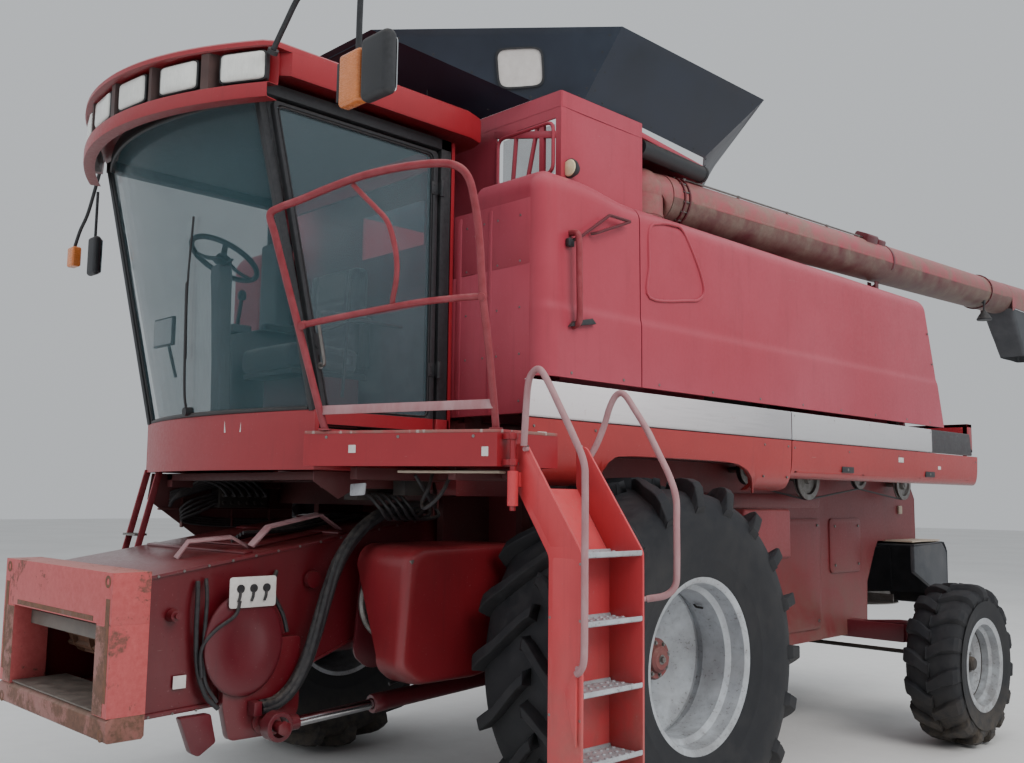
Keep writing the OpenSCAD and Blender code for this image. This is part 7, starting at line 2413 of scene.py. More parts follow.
for s in (1, -1):
    nm = "left" if s > 0 else "right"
    ys = [-0.758 + (4.638 + 0.758) * k / 90 for k in range(91)] + [-0.302, -0.298, 3.699, 3.721]
    ys = sorted(ys)
    rows = []
    for i in range(13):
        t = i / 12
        row = []
        for y in ys:
            lo, hi = side_lo(y) + 0.001, side_hi(y)
            z = lo + (hi - lo) * t
            d = wav(3 * s, y, z, 0.003, 1.8) - 0.003
            # vertical folds between the side covers
            for fy in (0.35, 1.22, 2.15, 3.02, 3.66):
                d -= 0.006 * math.exp(-((y - fy) / 0.012) ** 2)
            row.append((0.8495 + d, y, z))
        rows.append(row)
    ob = sheet_grid("body_side_%s" % nm, rows, "body", "chassis", 0.0, side=s, smooth=50)
    b = Buf()
    # pressed covers with rolled edges on the lower body; latches and bolts follow
    for (y0, y1, z0, z1) in ((1.30, 2.08, 0.70, 1.52), (2.22, 2.95, 0.70, 1.52), (3.10, 3.60, 1.10, 1.52), (1.30, 2.95, 1.60, 1.70)):
        poly = round_poly([(y0, z0), (y1, z0), (y1, z1), (y0, z1)], 0.05)
        inn = round_poly([(y0 + 0.018, z0 + 0.018), (y1 - 0.018, z0 + 0.018), (y1 - 0.018, z1 - 0.018), (y0 + 0.018, z1 - 0.018)], 0.05)
        m_ = len(poly)
        vs = [(s * 0.846, p.x, p.y) for p in poly] + [(s * 0.858, p.x, p.y) for p in poly] + [(s * 0.866, p.x, p.y) for p in inn]
        fs = [(k, (k + 1) % m_, m_ + (k + 1) % m_, m_ + k) for k in range(m_)] + [(m_ + k, m_ + (k + 1) % m_, 2 * m_ + (k + 1) % m_, 2 * m_ + k) for k in range(m_)]
        fs.append(tuple(range(2 * m_, 3 * m_)))
        b.add(vs, fs)
    ob = b.make("body_covers_%s" % nm, "body")
    fix_normals(ob)
    b = Buf()
    for (y, z) in ((1.36, 1.47), (2.02, 1.47), (2.28, 1.47), (2.89, 1.47), (1.36, 0.76), (2.02, 0.76), (2.28, 0.76), (2.89, 0.76), (3.16, 1.16), (3.54, 1.16), (3.16, 1.46), (3.54, 1.46)):
        b.add(*disc_prism((s * 0.862, y, z), (s, 0, 0), 0.012, 0.012, 14, 0.009))
    for y in [-0.70 + 0.22 * k for k in range(24)]:
        b.add(*disc_prism((s * 0.846, y, side_hi(y) - 0.05), (s, 0, 0), 0.0075, 0.008, 6))
    b.make("body_bolts_%s" % nm, "steel")
    # belt drives between body and shield: pulleys, belts and a long guard rail
    b = Buf()
    bl = Buf()
    pul = [(1.75, 1.86, 0.10), (2.55, 1.82, 0.16), (3.35, 1.86, 0.11), (4.12, 1.80, 0.13)]
    for y, z, r in pul:
        v, f = lathe([(0.0, 0.02), (0.0, r), (0.008, r), (0.018, r - 0.018), (0.028, r), (0.036, r), (0.036, r * 0.75), (0.020, r * 0.70), (0.020, 0.045), (0.045, 0.04), (0.045, 0.02)], (s * 0.960, y, z), "x", 40, s)
        b.add(v, f)
        b.add(*disc_prism((s * 0.85, y, z), (s, 0, 0), 0.022, 0.16, 16))
    ob = b.make("pulleys_%s" % nm, "steel")
    fix_normals(ob)
    for (a, c) in ((0, 1), (1, 2), (2, 3)):
        (y0, z0, r0), (y1, z1, r1) = pul[a], pul[c]
        off = 0.970 if a != 1 else 0.982
        dy, dz = y1 - y0, z1 - z0
        L = math.hypot(dy, dz)
        beta = math.acos(max(-1, min(1, (r0 - r1) / L)))
        base = math.atan2(dz, dy)
        path = []
        for k in range(15):
            t = base + beta + (2 * math.pi - 2 * beta) * k / 14
            path.append(Vector((s * off, y0 + (r0 - 0.004) * math.cos(t), z0 + (r0 - 0.004) * math.sin(t))))
        for k in range(15):
            t = base - beta + (2 * beta) * k / 14
            path.append(Vector((s * off, y1 + (r1 - 0.004) * math.cos(t), z1 + (r1 - 0.004) * math.sin(t))))
        v, f = sweep(path, [(-0.005, -0.008), (0.005, -0.006), (0.005, 0.006), (-0.005, 0.008)], ref=(0, 1, 0), closed=True)
        bl.add(v, f)
    bl.make("drive_belts_%s" % nm, "hose")
    # small beige lamps and blank plates low on the rear side
    b = Buf()
    for y, z, w, h in ((4.42, 1.86, 0.05, 0.06), (4.30, 1.55, 0.06, 0.07)):
        v, f = prism([(p.x, p.y) for p in round_poly([(y, z), (y + w, z), (y + w, z + h), (y, z + h)], 0.012)], *sorted((s * 0.8495, s * 0.866)), "yz")
        b.add(v, f)
    b.make("body_side_lamps_%s" % nm, "tan", bevel=0.003)
b = Buf()
# floor, front and back walls of the threshing body, with the inlet and the straw outlet left open
def quad_wall(b, x0, x1, p, q, t=0.004, holes=()):
    (y0, z0), (y1, z1) = p, q
    xs = sorted(set([x0, x1] + [h[0] for h in holes] + [h[1] for h in holes]))
    for xa, xb in zip(xs, xs[1:]):
        segs = [(0.0, 1.0)]
        for h in holes:
            if h[0] <= (xa + xb) / 2 <= h[1]:
                segs = [(0.0, h[2]), (h[3], 1.0)]
        for u, w in segs:
            if w - u < 1e-3:
                continue
            a = (y0 + (y1 - y0) * u, z0 + (z1 - z0) * u)
            c = (y0 + (y1 - y0) * w, z0 + (z1 - z0) * w)
            b.add([(xa, a[0], a[1]), (xb, a[0], a[1]), (xb, c[0], c[1]), (xa, c[0], c[1])], [(0, 1, 2, 3)])


W = 0.848
pts = SIDE
holes = {0: (-0.47, 0.47, (1.23 - 1.18) / 0.48, (1.56 - 1.18) / 0.48), 5: (-0.78, 0.78, (1.68 - 1.60) / 0.35, 1.0)}
for i in range(len(pts)):
    p, q = pts[i], pts[(i + 1) % len(pts)]
    h = holes.get(i)
    if i == 6:
        h = (-0.78, 0.78, 0.0, (4.64 - 4.10) / 0.74)
    quad_wall(b, -W, W, p, q, holes=[h] if h else ())
# inlet tunnel and outlet hollow
for (x0, x1, y0, y1, z0, z1) in ((-0.47, 0.47, -0.298, 0.055, 1.232, 1.558),):
    b.add([(x0, y0, z0), (x1, y0, z0), (x1, y1, z0), (x0, y1, z0)], [(0, 1, 2, 3)])
    b.add([(x0, y0, z1), (x1, y0, z1), (x1, y1, z1), (x0, y1, z1)], [(0, 3, 2, 1)])
    b.add([(x0, y0, z0), (x0, y1, z0), (x0, y1, z1), (x0, y0, z1)], [(0, 1, 2, 3)])
    b.add([(x1, y0, z0), (x1, y1, z0), (x1, y1, z1), (x1, y0, z1)], [(0, 3, 2, 1)])
    b.add([(x0, y1, z0), (x1, y1, z0), (x1, y1, z1), (x0, y1, z1)], [(0, 1, 2, 3)])
x0, x1, y0, y1, z0, z1 = -0.778, 0.778, 4.102, 4.636, 1.332, 1.598
b.add([(x0, y0, z1), (x1, y0, z1), (x1, y1, z1), (x0, y1, z1)], [(0, 3, 2, 1)])
b.add([(x0, y0, z0), (x0, y1, z0), (x0, y1, z1), (x0, y0, z1)], [(0, 1, 2, 3)])
b.add([(x1, y0, z0), (x1, y1, z0), (x1, y1, z1), (x1, y0, z1)], [(0, 3, 2, 1)])
b.add([(x0, y0, z0), (x1, y0, z0), (x1, y0, z1), (x0, y0, z1)], [(0, 3, 2, 1)])
walls = b.make("body_walls", "body", solid=0.003, offset=-1)
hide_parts("separator_housing")
b = Buf()
# rotor fins seen in the inlet, straw walkers' slats in the outlet
for k in range(5):
    x = -0.36 + 0.18 * k
    b.add(*prism([(-0.27, 1.24), (0.03, 1.24), (0.03, 1.36 + 0.01 * (k % 2)), (-0.20, 1.30)], x - 0.006, x + 0.006, "yz"))
for k in range(7):
    x = -0.66 + 0.22 * k
    b.add(*prism([(4.12, 1.34), (4.56, 1.34), (4.56, 1.36), (4.40, 1.40), (4.12, 1.42)], x - 0.008, x + 0.008, "yz"))
b.make("crop_guides", "steel", bevel=0.001)

# ------------------------------------------------------------------ rear: frame, tail lamps, deflector hood, spreader discs
b = Buf()
for s in (1, -1):
    b.add(*cuboid(*sorted((s * 0.902, s * 1.460)), 4.302, 4.306, 2.067, 2.298))
    for z0, z1 in ((2.067, 2.089), (2.271, 2.298)):
        b.add(*cuboid(*sorted((s * 0.902, s * 1.460)), 4.302, 4.398, z0, z1))
    for x0, x1 in ((0.902, 0.939), (1.423, 1.460)):
        b.add(*cuboid(*sorted((s * x0, s * x1)), 4.302, 4.398, 2.067, 2.298))
    b.add(*cuboid(*sorted((s * 0.855, s * 0.899)), 4.002, 4.298, 2.067, 2.138))
    b.add(*cuboid(*sorted((s * 0.855, s * 0.933)), 4.202, 4.318, 1.962, 2.060))
b.add(*cuboid(-0.899, 0.899, 4.302, 4.378, 2.067, 2.298))
ob = b.make("tail_frame", "cabred", bevel=0.005)
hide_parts("rear_tail")
b = Buf()
le = Buf()
for s in (1, -1):
    v, f = prism([(p.x, p.y) for p in round_poly([(s * 1.302, 2.112), (s * 1.453, 2.112), (s * 1.453, 2.258), (s * 1.302, 2.258)], 0.015)], 4.398, 4.412, "xz")
    b.add(v, f)
    v, f = prism([(p.x, p.y) for p in round_poly([(s * 1.310, 2.122), (s * 1.445, 2.122), (s * 1.445, 2.182), (s * 1.310, 2.182)], 0.012)], 4.412, 4.4235, "xz")
    le.add(v, f, 0)
    v, f = prism([(p.x, p.y) for p in round_poly([(s * 1.310, 2.190), (s * 1.445, 2.190), (s * 1.445, 2.250), (s * 1.310, 2.250)], 0.012)], 4.412, 4.4235, "xz")
    le.add(v, f, 1)
ob = b.make("tail_lamp_bodies", "plastic", bevel=0.002)
fix_normals(ob)
ob = le.make("tail_lamp_lenses", ["redlens", "amber"], bevel=0.004, seg=3)
fix_normals(ob)
b = Buf()
for x in (-0.7, -0.35, 0, 0.35, 0.7):
    b.add(*disc_prism((x, 4.376, 2.18), (0, 1, 0), 0.010, 0.010, 6))
b.add(*cuboid(-0.20, 0.20, 4.378, 4.386, 2.10, 2.26), 1)
b.make("tail_bolts_and_blank_plate", ["steel", "white"], bevel=0.001)
# hood: bent sheet with ribs and a pale straw board lying on top
rows = []
PR = [(4.052, 1.298), (4.35, 1.306), (4.60, 1.316), (4.640, 1.312), (4.678, 1.268), (4.697, 1.235), (4.694, 1.05), (4.688, 0.865), (4.66, 0.846), (4.56, 0.803)]
for k in range(29):
    x = -1.098 + 2.196 * k / 28
    rows.append([(x, y + (0.004 * noise.noise(Vector((x * 3, y * 4, z * 4))) - 0.003 if 0 < i < 9 else -0.002), z - (0.003 if i else 0)) for i, (y, z) in enumerate(PR)])
ob = sheet_grid("deflector_sheet", rows, "hood", "chassis", 0.008, smooth=50)
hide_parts("spreader_hood")
b = Buf()
for s in (1, -1):
    v, f = prism([(4.052, 1.292), (4.60, 1.308), (4.665, 1.255), (4.690, 1.22), (4.682, 0.868), (4.56, 0.806), (4.382, 0.944), (4.052, 1.084)], *sorted((s * 1.062, s * 1.097)), "yz")
    b.add(v, f)
for x in (-0.62, 0.0, 0.62):
    v, f = prism([(4.10, 1.270), (4.60, 1.286), (4.652, 1.226), (4.650, 0.88), (4.630, 0.88), (4.632, 1.22), (4.59, 1.268), (4.10, 1.250)], x - 0.006, x + 0.006, "yz")
    b.add(v, f)
ob = b.make("deflector_sides_and_ribs", "hood", bevel=0.003)
fix_normals(ob)
rows = []
for k in range(25):
    x = -1.078 + 2.156 * k / 24
    rows.append([(x, y, 1.3265 - 0.006 * abs(noise.noise(Vector((x * 4, y * 5, 0)))) - 0.001) for y in (4.062, 4.2, 4.33, 4.46, 4.598)])
sheet_grid("straw_board", rows, "tan", "chassis", 0.012, smooth=50)
for s in (1, -1):
    nm = "left" if s > 0 else "right"
    b = Buf()
    prof = [(0.0, 0.001), (0.0, 0.329), (0.008, 0.3295), (0.014, 0.322), (0.0145, 0.06), (0.099, 0.059), (0.100, 0.0255), (0.4645, 0.0245), (0.4645, 0.001)]
    v, f = lathe(prof, (s * 0.52, 4.2, 0.8005), "z", 56)
    b.add(v, f)
    for k in range(6):
        a = math.radians(60 * k)
        d, t = Vector((math.cos(a), math.sin(a), 0)), Vector((-math.sin(a), math.cos(a), 0))
        c = Vector((s * 0.52, 4.2, 0))
        pts = []
        for r_ in (0.082, 0.16, 0.24, 0.318):
            bend = 0.0
            pts.append(c + d * r_)
        vs = []
        for p in pts:
            for dz, w in ((0.8145, 0.005), (0.8145, -0.005), (0.878, -0.005), (0.878, 0.005)):
                vs.append(p + t * w + Vector((0, 0, dz)))
        fs = [(i * 4 + q, i * 4 + (q + 1) % 4, (i + 1) * 4 + (q + 1) % 4, (i + 1) * 4 + q) for i in range(3) for q in range(4)] + [(3, 2, 1, 0), (12, 13, 14, 15)]
        b.add(vs, fs)
        for r_ in (0.11, 0.29):
            b.add(*disc_prism(c + d * r_ + t * 0.012 + Vector((0, 0, 0.814)), (0, 0, 1), 0.007, 0.008, 6))
    ob = b.make("spreader_rotor_%s" % nm, "steel", "spreader_%s" % nm, bevel=0.0)
    fix_normals(ob)
    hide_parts("spreader_disc_%s" % nm)

# ------------------------------------------------------------------ axles and drives
b = Buf()
v, f = lathe([(-1.06, 0.001), (-1.06, 0.120), (-1.0, 0.1245), (-0.95, 0.110), (-0.30, 0.108), (-0.26, 0.1245), (-0.16, 0.1245), (-0.10, 0.118), (0.10, 0.118), (0.16, 0.1245), (0.26, 0.1245), (0.30, 0.108), (0.95, 0.110), (1.0, 0.1245), (1.06, 0.120), (1.06, 0.001)], (0, 0, 0.85), "x", 48)
b.add(v, f)
for s in (1, -1):
    v, f = lathe([(1.052, 0.05), (1.052, 0.215), (1.062, 0.2245), (1.15, 0.2245), (1.17, 0.205), (1.30, 0.190), (1.33, 0.2245), (1.385, 0.2245), (1.3945, 0.21), (1.3945, 0.060), (1.499, 0.058), (1.499, 0.03)], (0, 0, 0.85), "x", 56, s)
    b.add(v, f)
    for k in range(14):
        a = 2 * math.pi * k / 14
        b.add(*disc_prism((s * 1.160, 0.211 * math.cos(a), 0.85 + 0.211 * math.sin(a)), (s, 0, 0), 0.009, 0.030, 6))
    v, f = cuboid(*sorted((s * 0.682, s * 0.843)), -0.138, 0.188, 0.702, 0.968)
    b.add(v, f)
    for x in (0.684, 0.764):
        v, f = prism([(p.x, p.y) for p in round_poly([(-0.238, 0.682), (-0.132, 0.682), (-0.132, 0.748), (-0.238, 0.748)], 0.02)], *sorted((s * (x + 0.0005), s * (x + 0.0115))), "yz")
        b.add(v, f)
    b.add(*disc_prism((s * 0.678, -0.20, 0.715), (s, 0, 0), 0.0245, 0.104, 24))
ob = b.make("drive_axle_housing", "chassis", bevel=0.0)
fix_normals(ob)
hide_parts("drive_axle")
b = Buf()
tube(b, [(0.65, -0.30, 1.10), (0.655, -0.26, 0.98), (0.655, -0.27, 0.86), (0.650, -0.30, 0.765)], 0.010, 8, curve=True)
tube(b, [(0.62, -0.40, 1.12), (0.60, -0.60, 0.95), (0.635, -0.85, 0.765), (0.640, -1.0, 0.72)], 0.009, 8, curve=True)
for k in range(4):
    x = -0.3 + 0.12 * k
    tube(b, [(x, -0.28, 1.16), (x + 0.03, -0.16, 1.05), (x + 0.1, 0.1, 1.03), (x + 0.05, 0.4, 1.08), (x, 0.7, 0.98)], 0.012, 8, curve=True)
b.make("axle_hoses", "hose")

# steered axle beam with gussets, end blocks and knuckle sleeves
b = Buf()
v, f = prism([(3.3715, 0.602), (3.5085, 0.602), (3.5085, 0.733), (3.3715, 0.733)], -1.298, 1.298, "yz")
b.add(v, f)
for s in (1, -1):
    v, f = lathe([(0.561, 0.027), (0.561, 0.054), (0.566, 0.0575), (0.600, 0.0575), (0.603, 0.052), (0.735, 0.052), (0.738, 0.0575), (0.774, 0.0575), (0.779, 0.054), (0.779, 0.027)], (s * 1.38, 3.44, 0.0), "z", 36)
    b.add(v, f)
    b.add(*cuboid(*sorted((s * 1.292, s * 1.343)), 3.397, 3.483, 0.602, 0.733))
    b.add(*prism([(0.95, 0.7335), (1.30, 0.7335), (1.30, 0.758), (1.22, 0.758)] if s > 0 else [(-0.95, 0.7335), (-1.30, 0.7335), (-1.30, 0.758), (-1.22, 0.758)], 3.40, 3.48, "xz"))
ob = b.make("steered_axle_beam", "maroon", bevel=0.005)
fix_normals(ob)
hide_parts("steering_axle")
b = Buf()
b.add(*disc_prism((-0.55, 3.56, 0.665), (1, 0, 0), 0.032, 0.40, 24))
b.add(*disc_prism((-0.15, 3.56, 0.665), (1, 0, 0), 0.014, 0.22, 16))
for x in (-0.53, -0.2):
    tube(b, [(x, 3.56, 0.695), (x, 3.55, 0.76), (x - 0.1, 3.50, 0.79)], 0.008, 8, curve=True)
b.make("steering_cylinder", "chassis")
# ------------------------------------------------------------------ hose bundle from the body to the feeder house (free cord)
HP = [(0.675, -0.802, 1.600), (0.675, -0.960, 1.600), (0.672, -1.110, 1.560), (0.668, -1.240, 1.475), (0.662, -1.335, 1.350), (0.655, -1.395, 1.200),
      (0.648, -1.445, 1.040), (0.641, -1.500, 0.880), (0.636, -1.565, 0.770), (0.633, -1.645, 0.712), (0.632, -1.727, 0.700)]
path = spline(HP, 14)
v, f = [], []
NH = 40
arc = [0.0]
for i in range(1, len(path)):
    arc.append(arc[-1] + (path[i] - path[i - 1]).length)
a_, b_ = frame_of(path[1] - path[0], (1, 0, 0))
for i, p in enumerate(path):
    t = (path[min(i + 1, len(path) - 1)] - path[max(i - 1, 0)]).normalized()
    a_ = (a_ - t * a_.dot(t)).normalized()
    b_ = t.cross(a_)
    for k in range(NH):
        an = 2 * math.pi * k / NH
        # five hoses under a wrap: lobes that turn slowly along the bundle
        r = 0.0262 + 0.0078 * abs(math.cos(2.5 * (an + arc[i] * 2.2))) ** 0.6 + 0.0012 * (1 if (arc[i] / 0.16) % 1 < 0.12 else 0)
        v.append(p + a_ * (r * math.cos(an)) + b_ * (r * math.sin(an)))
for i in range(len(path) - 1):
    f += [(i * NH + k, i * NH + (k + 1) % NH, (i + 1) * NH + (k + 1) % NH, (i + 1) * NH + k) for k in range(NH)]
f += [tuple(range(NH - 1, -1, -1)), tuple(range((len(path) - 1) * NH, len(path) * NH))]
me = bpy.data.meshes.new("header_hose_bundle")
me.from_pydata([q + OFF for q in v], [], f)
me.materials.append(M["hose"])
hose_ob = bpy.data.objects.new("header_hose_bundle", me)
scene.collection.objects.link(hose_ob)
shade(hose_ob, 60)
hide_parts("header_hose")
[tuple(p + OFF) for p in path]
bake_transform(hose_ob)

# ------------------------------------------------------------------ lift cylinders
LA, LB = Vector((0.730, -0.200, 0.715)), Vector((0.730, -1.700, 0.630))


def bar_lathe(p, q, prof, n=36, sx=1):
    """Profile (distance from p, radius) turned around the line from p to q."""
    d = (q - p).normalized()
    a, c = frame_of(d, (1, 0, 0))
    m_ = len(prof)
    vs = [p + d * s + (a * math.cos(2 * math.pi * k / n) + c * math.sin(2 * math.pi * k / n)) * r for k in range(n) for s, r in prof]
    fs = [(k * m_ + i, ((k + 1) % n) * m_ + i, ((k + 1) % n) * m_ + (i + 1) % m_, k * m_ + (i + 1) % m_) for k in range(n) for i in range(m_)]
    return [Vector((w.x * sx, w.y, w.z)) for w in vs], fs


def eye(c, ro, ri, half, n=36, sx=1):
    vs, fs = [], []
    prof = [(-half, ri), (-half, ro - 0.003), (-half + 0.003, ro), (half - 0.003, ro), (half, ro - 0.003), (half, ri)]
    for k in range(n):
        a = 2 * math.pi * k / n
        for x, r in prof:
            vs.append(Vector(((c.x + x) * sx, c.y + r * math.cos(a), c.z + r * math.sin(a))))
    m_ = len(prof)
    for k in range(n):
        for i in range(m_):
            fs.append((k * m_ + i, ((k + 1) % n) * m_ + i, ((k + 1) % n) * m_ + (i + 1) % m_, k * m_ + (i + 1) % m_))
    return vs, fs


for s in (1, -1):
    nm = "left" if s > 0 else "right"
    b = Buf()
    v, f = bar_lathe(LA, LB, [(0.057, 0.0275), (0.057, 0.043), (0.062, 0.0455), (0.090, 0.0455), (0.094, 0.0435), (0.90, 0.0435), (0.905, 0.0455), (0.972, 0.0455), (0.979, 0.042), (0.979, 0.0275)], 36, s)
    b.add(v, f)
    v, f = bar_lathe(LA, LB, [(0.032, 0.001), (0.032, 0.025), (0.070, 0.025), (0.070, 0.001)], 24, s)
    b.add(v, f)
    v, f = eye(LA, 0.0495, 0.0262, 0.028, 36, s)
    b.add(v, f)
    d = (LB - LA).normalized()
    c = LA + d * 0.15
    v, f = disc_prism((s * c.x, c.y, c.z + 0.040), (0, -0.05, 1), 0.014, 0.020, 6)
    b.add(v, f)
    ob = b.make("lift_barrel_body_%s" % nm, "maroon", "barrel_%s" % nm)
    fix_normals(ob)
    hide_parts("lift_barrel_%s" % nm)
    b = Buf()
    L = (LB - LA).length
    v, f = bar_lathe(LA, LB, [(0.482, 0.001), (0.482, 0.0245), (L - 0.060, 0.0245), (L - 0.060, 0.001)], 32, s)
    b.add(v, f)
    ob = b.make("lift_rod_bar_%s" % nm, "chrome", "rod_%s" % nm)
    fix_normals(ob)
    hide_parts("lift_rod_%s" % nm)
    b = Buf()
    v, f = eye(LB, 0.0655, 0.0453, 0.034, 36, s)
    b.add(v, f)
    v, f = bar_lathe(LA, LB, [(L - 0.105, 0.0247), (L - 0.105, 0.034), (L - 0.064, 0.034), (L - 0.064, 0.0247)], 24, s)
    b.add(v, f)
    ob = b.make("lift_rod_eye_%s" % nm, "maroon", "rod_%s" % nm)
    fix_normals(ob)

# ------------------------------------------------------------------ big drive cover in front of the left drive wheel
CP = [(-1.258, 0.86), (-1.209, 1.418), (-0.421, 1.418), (-0.362, 1.16), (-0.362, 1.002), (-0.701, 0.782), (-1.159, 0.782)]
outer_ = [(p.x, p.y) for p in round_poly(CP, 0.10, 6)]
inner_ = [(p.x, p.y) for p in round_poly([(-1.225, 0.88), (-1.180, 1.388), (-0.445, 1.388), (-0.392, 1.15), (-0.392, 1.02), (-0.71, 0.812), (-1.14, 0.812)], 0.09, 6)]
m_ = len(outer_)
cy, cz = -0.82, 1.08
lay = [(0.645, outer_, 1.0), (0.80, outer_, 1.0), (0.985, outer_, 1.0), (1.012, outer_, 0.992), (1.030, outer_, 0.970), (1.037, outer_, 0.93), (1.0385, outer_, 0.86), (1.0385, outer_, 0.5), (1.0385, outer_, 0.0)]
vs, fs = [], []
for x, poly, s in lay:
    for (y, z) in poly:
        yy, zz = cy + (y - cy) * s, cz + (z - cz) * s
        dd = wav(x, yy, zz, 0.006, 1.6) - 0.004 if s < 0.9 else 0.0
        # open underneath, inside the outer skin, where the lift cylinder swings up
        x0 = 0.645 + (0.862 - 0.645) * max(0.0, min(1.0, (0.99 - zz) / 0.05))
        vs.append((max(x + dd, x0 + (x - 0.645) * 0.02), yy, zz))
for i in range(len(lay) - 1):
    fs += [(i * m_ + k, i * m_ + (k + 1) % m_, (i + 1) * m_ + (k + 1) % m_, (i + 1) * m_ + k) for k in range(m_)]
# the cover takes the red darkened as painted shade
ob = mk_multi("drive_cover_shell", vs, fs, [0] * len(fs), ["deepred"], "chassis", smooth=45, solid=0.004)
fix_normals(ob)
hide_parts("drive_shields")
b = Buf()
b.add(*prism(inner_, 0.626, 0.640, "yz"))
b.make("drive_cover_back", "maroon", bevel=0.002)
b = Buf()
for (y, z, r) in ((-1.02, 1.14, 0.20), (-0.62, 1.18, 0.15)):
    v, f = lathe([(0.0, 0.03), (0.0, r), (0.010, r), (0.024, r - 0.02), (0.038, r), (0.048, r), (0.048, r * 0.8), (0.028, r * 0.76), (0.028, 0.06), (0.055, 0.05), (0.055, 0.03)], (0.66, y, z), "x", 44)
    b.add(v, f)
ob = b.make("drive_cover_pulleys", "steel")
fix_normals(ob)
b = Buf()
for y, z in ((-1.19, 1.35), (-0.50, 1.37), (-0.43, 1.12), (-1.10, 0.84), (-0.72, 0.85)):
    b.add(*disc_prism((1.026, y, z), (1, 0, 0), 0.013, 0.012, 14, 0.010))
b.make("drive_cover_bolts", "steel")

# ------------------------------------------------------------------ under the cab: frame beams, valve block, hoses, plates
b = Buf()
b.add(*cuboid(-0.80, 0.80, -1.00, -0.93, 1.728, 1.768))
b.add(*cuboid(-0.80, 0.80, -1.52, -1.46, 1.728, 1.768))
for s in (1, -1):
    b.add(*cuboid(*sorted((s * 0.74, s * 0.80)), -1.52, -0.80, 1.69, 1.768))
b.make("cab_subframe", "frame", bevel=0.004)
b = Buf()
b.add(*cuboid(0.625, 0.735, -1.30, -1.06, 1.635, 1.695))
for k in range(5):
    b.add(*disc_prism((0.735, -1.275 + 0.048 * k, 1.665), (1, 0, 0), 0.013, 0.025, 6))
b.add(*cuboid(0.86, 0.95, -1.18, -1.02, 1.66, 1.76))
ob = b.make("valve_block", "chassis", bevel=0.003)
b = Buf()
for k in range(5):
    y = -1.275 + 0.048 * k
    tube(b, [(0.758, y, 1.665), (0.80, y, 1.655), (0.83, y + 0.04, 1.60), (0.80, y + 0.12, 1.545), (0.74, y + 0.22 + 0.02 * k, 1.56), (0.70, -0.82, 1.60 + 0.01 * k)], 0.010, 8, curve=True)
for k in range(4):
    tube(b, [(0.86, -0.92, 1.72 - 0.02 * k), (0.99, -1.02, 1.66 - 0.02 * k), (1.08, -1.16, 1.68), (1.10, -1.24, 1.755)], 0.0085, 8, curve=True)
loop = [(1.18, -1.20, 1.770), (1.20, -1.24, 1.70), (1.19, -1.27, 1.63), (1.24, -1.29, 1.605), (1.30, -1.26, 1.66), (1.31, -1.22, 1.73), (1.29, -1.19, 1.77)]
tube(b, loop, 0.009, 8, curve=True)
b.make("under_cab_hoses", "hose")
b = Buf()
b.add(*prism([(p.x, p.y) for p in round_poly([(0.90, 1.655), (1.01, 1.660), (1.02, 1.715), (0.90, 1.71)], 0.01)], -1.462, -1.456, "xz"))
b.make("under_cab_plate", "rim", bevel=0.001)
# support walls under the cab: right side, back, stiffening folds, valve bank with its hoses
b = Buf()
b.add(*prism([(-1.60, 1.768), (-1.62, 1.62), (-1.30, 1.40), (-0.66, 1.40), (-0.66, 1.768)], -0.835, -0.827, "yz"))
b.add(*prism([(-1.60, 1.768), (-1.60, 1.72), (-1.46, 1.64), (-1.30, 1.72), (-1.30, 1.768)], 0.800, 0.808, "yz"))
b.add(*cuboid(-0.827, 0.600, -0.768, -0.760, 1.602, 1.768))
for y in (-1.42, -1.10, -0.84):
    b.add(*cuboid(-0.827, -0.800, y, y + 0.012, 1.46, 1.765))
b.add(*cuboid(-0.827, -0.795, -1.56, -0.68, 1.560, 1.572))
b.make("cab_support_walls", "frame", bevel=0.003)
b = Buf()
b.add(*cuboid(-0.795, -0.700, -1.24, -0.92, 1.575, 1.690))
for k in range(6):
    y = -1.215 + 0.052 * k
    b.add(*disc_prism((-0.700, y, 1.648), (1, 0, 0), 0.014, 0.022, 6))
    b.add(*disc_prism((-0.748, y, 1.690), (0, 0, 1), 0.013, 0.030, 12))
    b.add(*disc_prism((-0.700, y, 1.605), (1, 0, 0), 0.012, 0.014, 6))
b.make("right_valve_bank", "chassis", bevel=0.003)
b = Buf()
for k in range(6):
    y = -1.215 + 0.052 * k
    tube(b, [(-0.680, y, 1.648), (-0.660, y, 1.652), (-0.665, y - 0.05, 1.70), (-0.70, y - 0.14, 1.735), (-0.76, -1.40 - 0.01 * k, 1.70 - 0.012 * k), (-0.80, -1.50, 1.66 - 0.016 * k)], 0.0095, 8, curve=True)
for k in range(4):
    tube(b, [(-0.72, -1.25, 1.60 + 0.02 * k), (-0.75, -1.34 - 0.02 * k, 1.55 + 0.02 * k), (-0.80, -1.42, 1.50 + 0.015 * k), (-0.815, -1.2, 1.47 + 0.012 * k), (-0.815, -0.75, 1.46 + 0.012 * k)], 0.010, 8, curve=True)
b.make("right_valve_hoses", "hose")
b = Buf()
b.add(*cuboid(-0.42, 0.30, -1.36, -1.24, 1.730, 1.766))
b.add(*cuboid(-0.62, -0.50, -1.40, -0.80, 1.730, 1.766))
b.make("under_cab_trays", "chassis", bevel=0.006)
b = Buf()
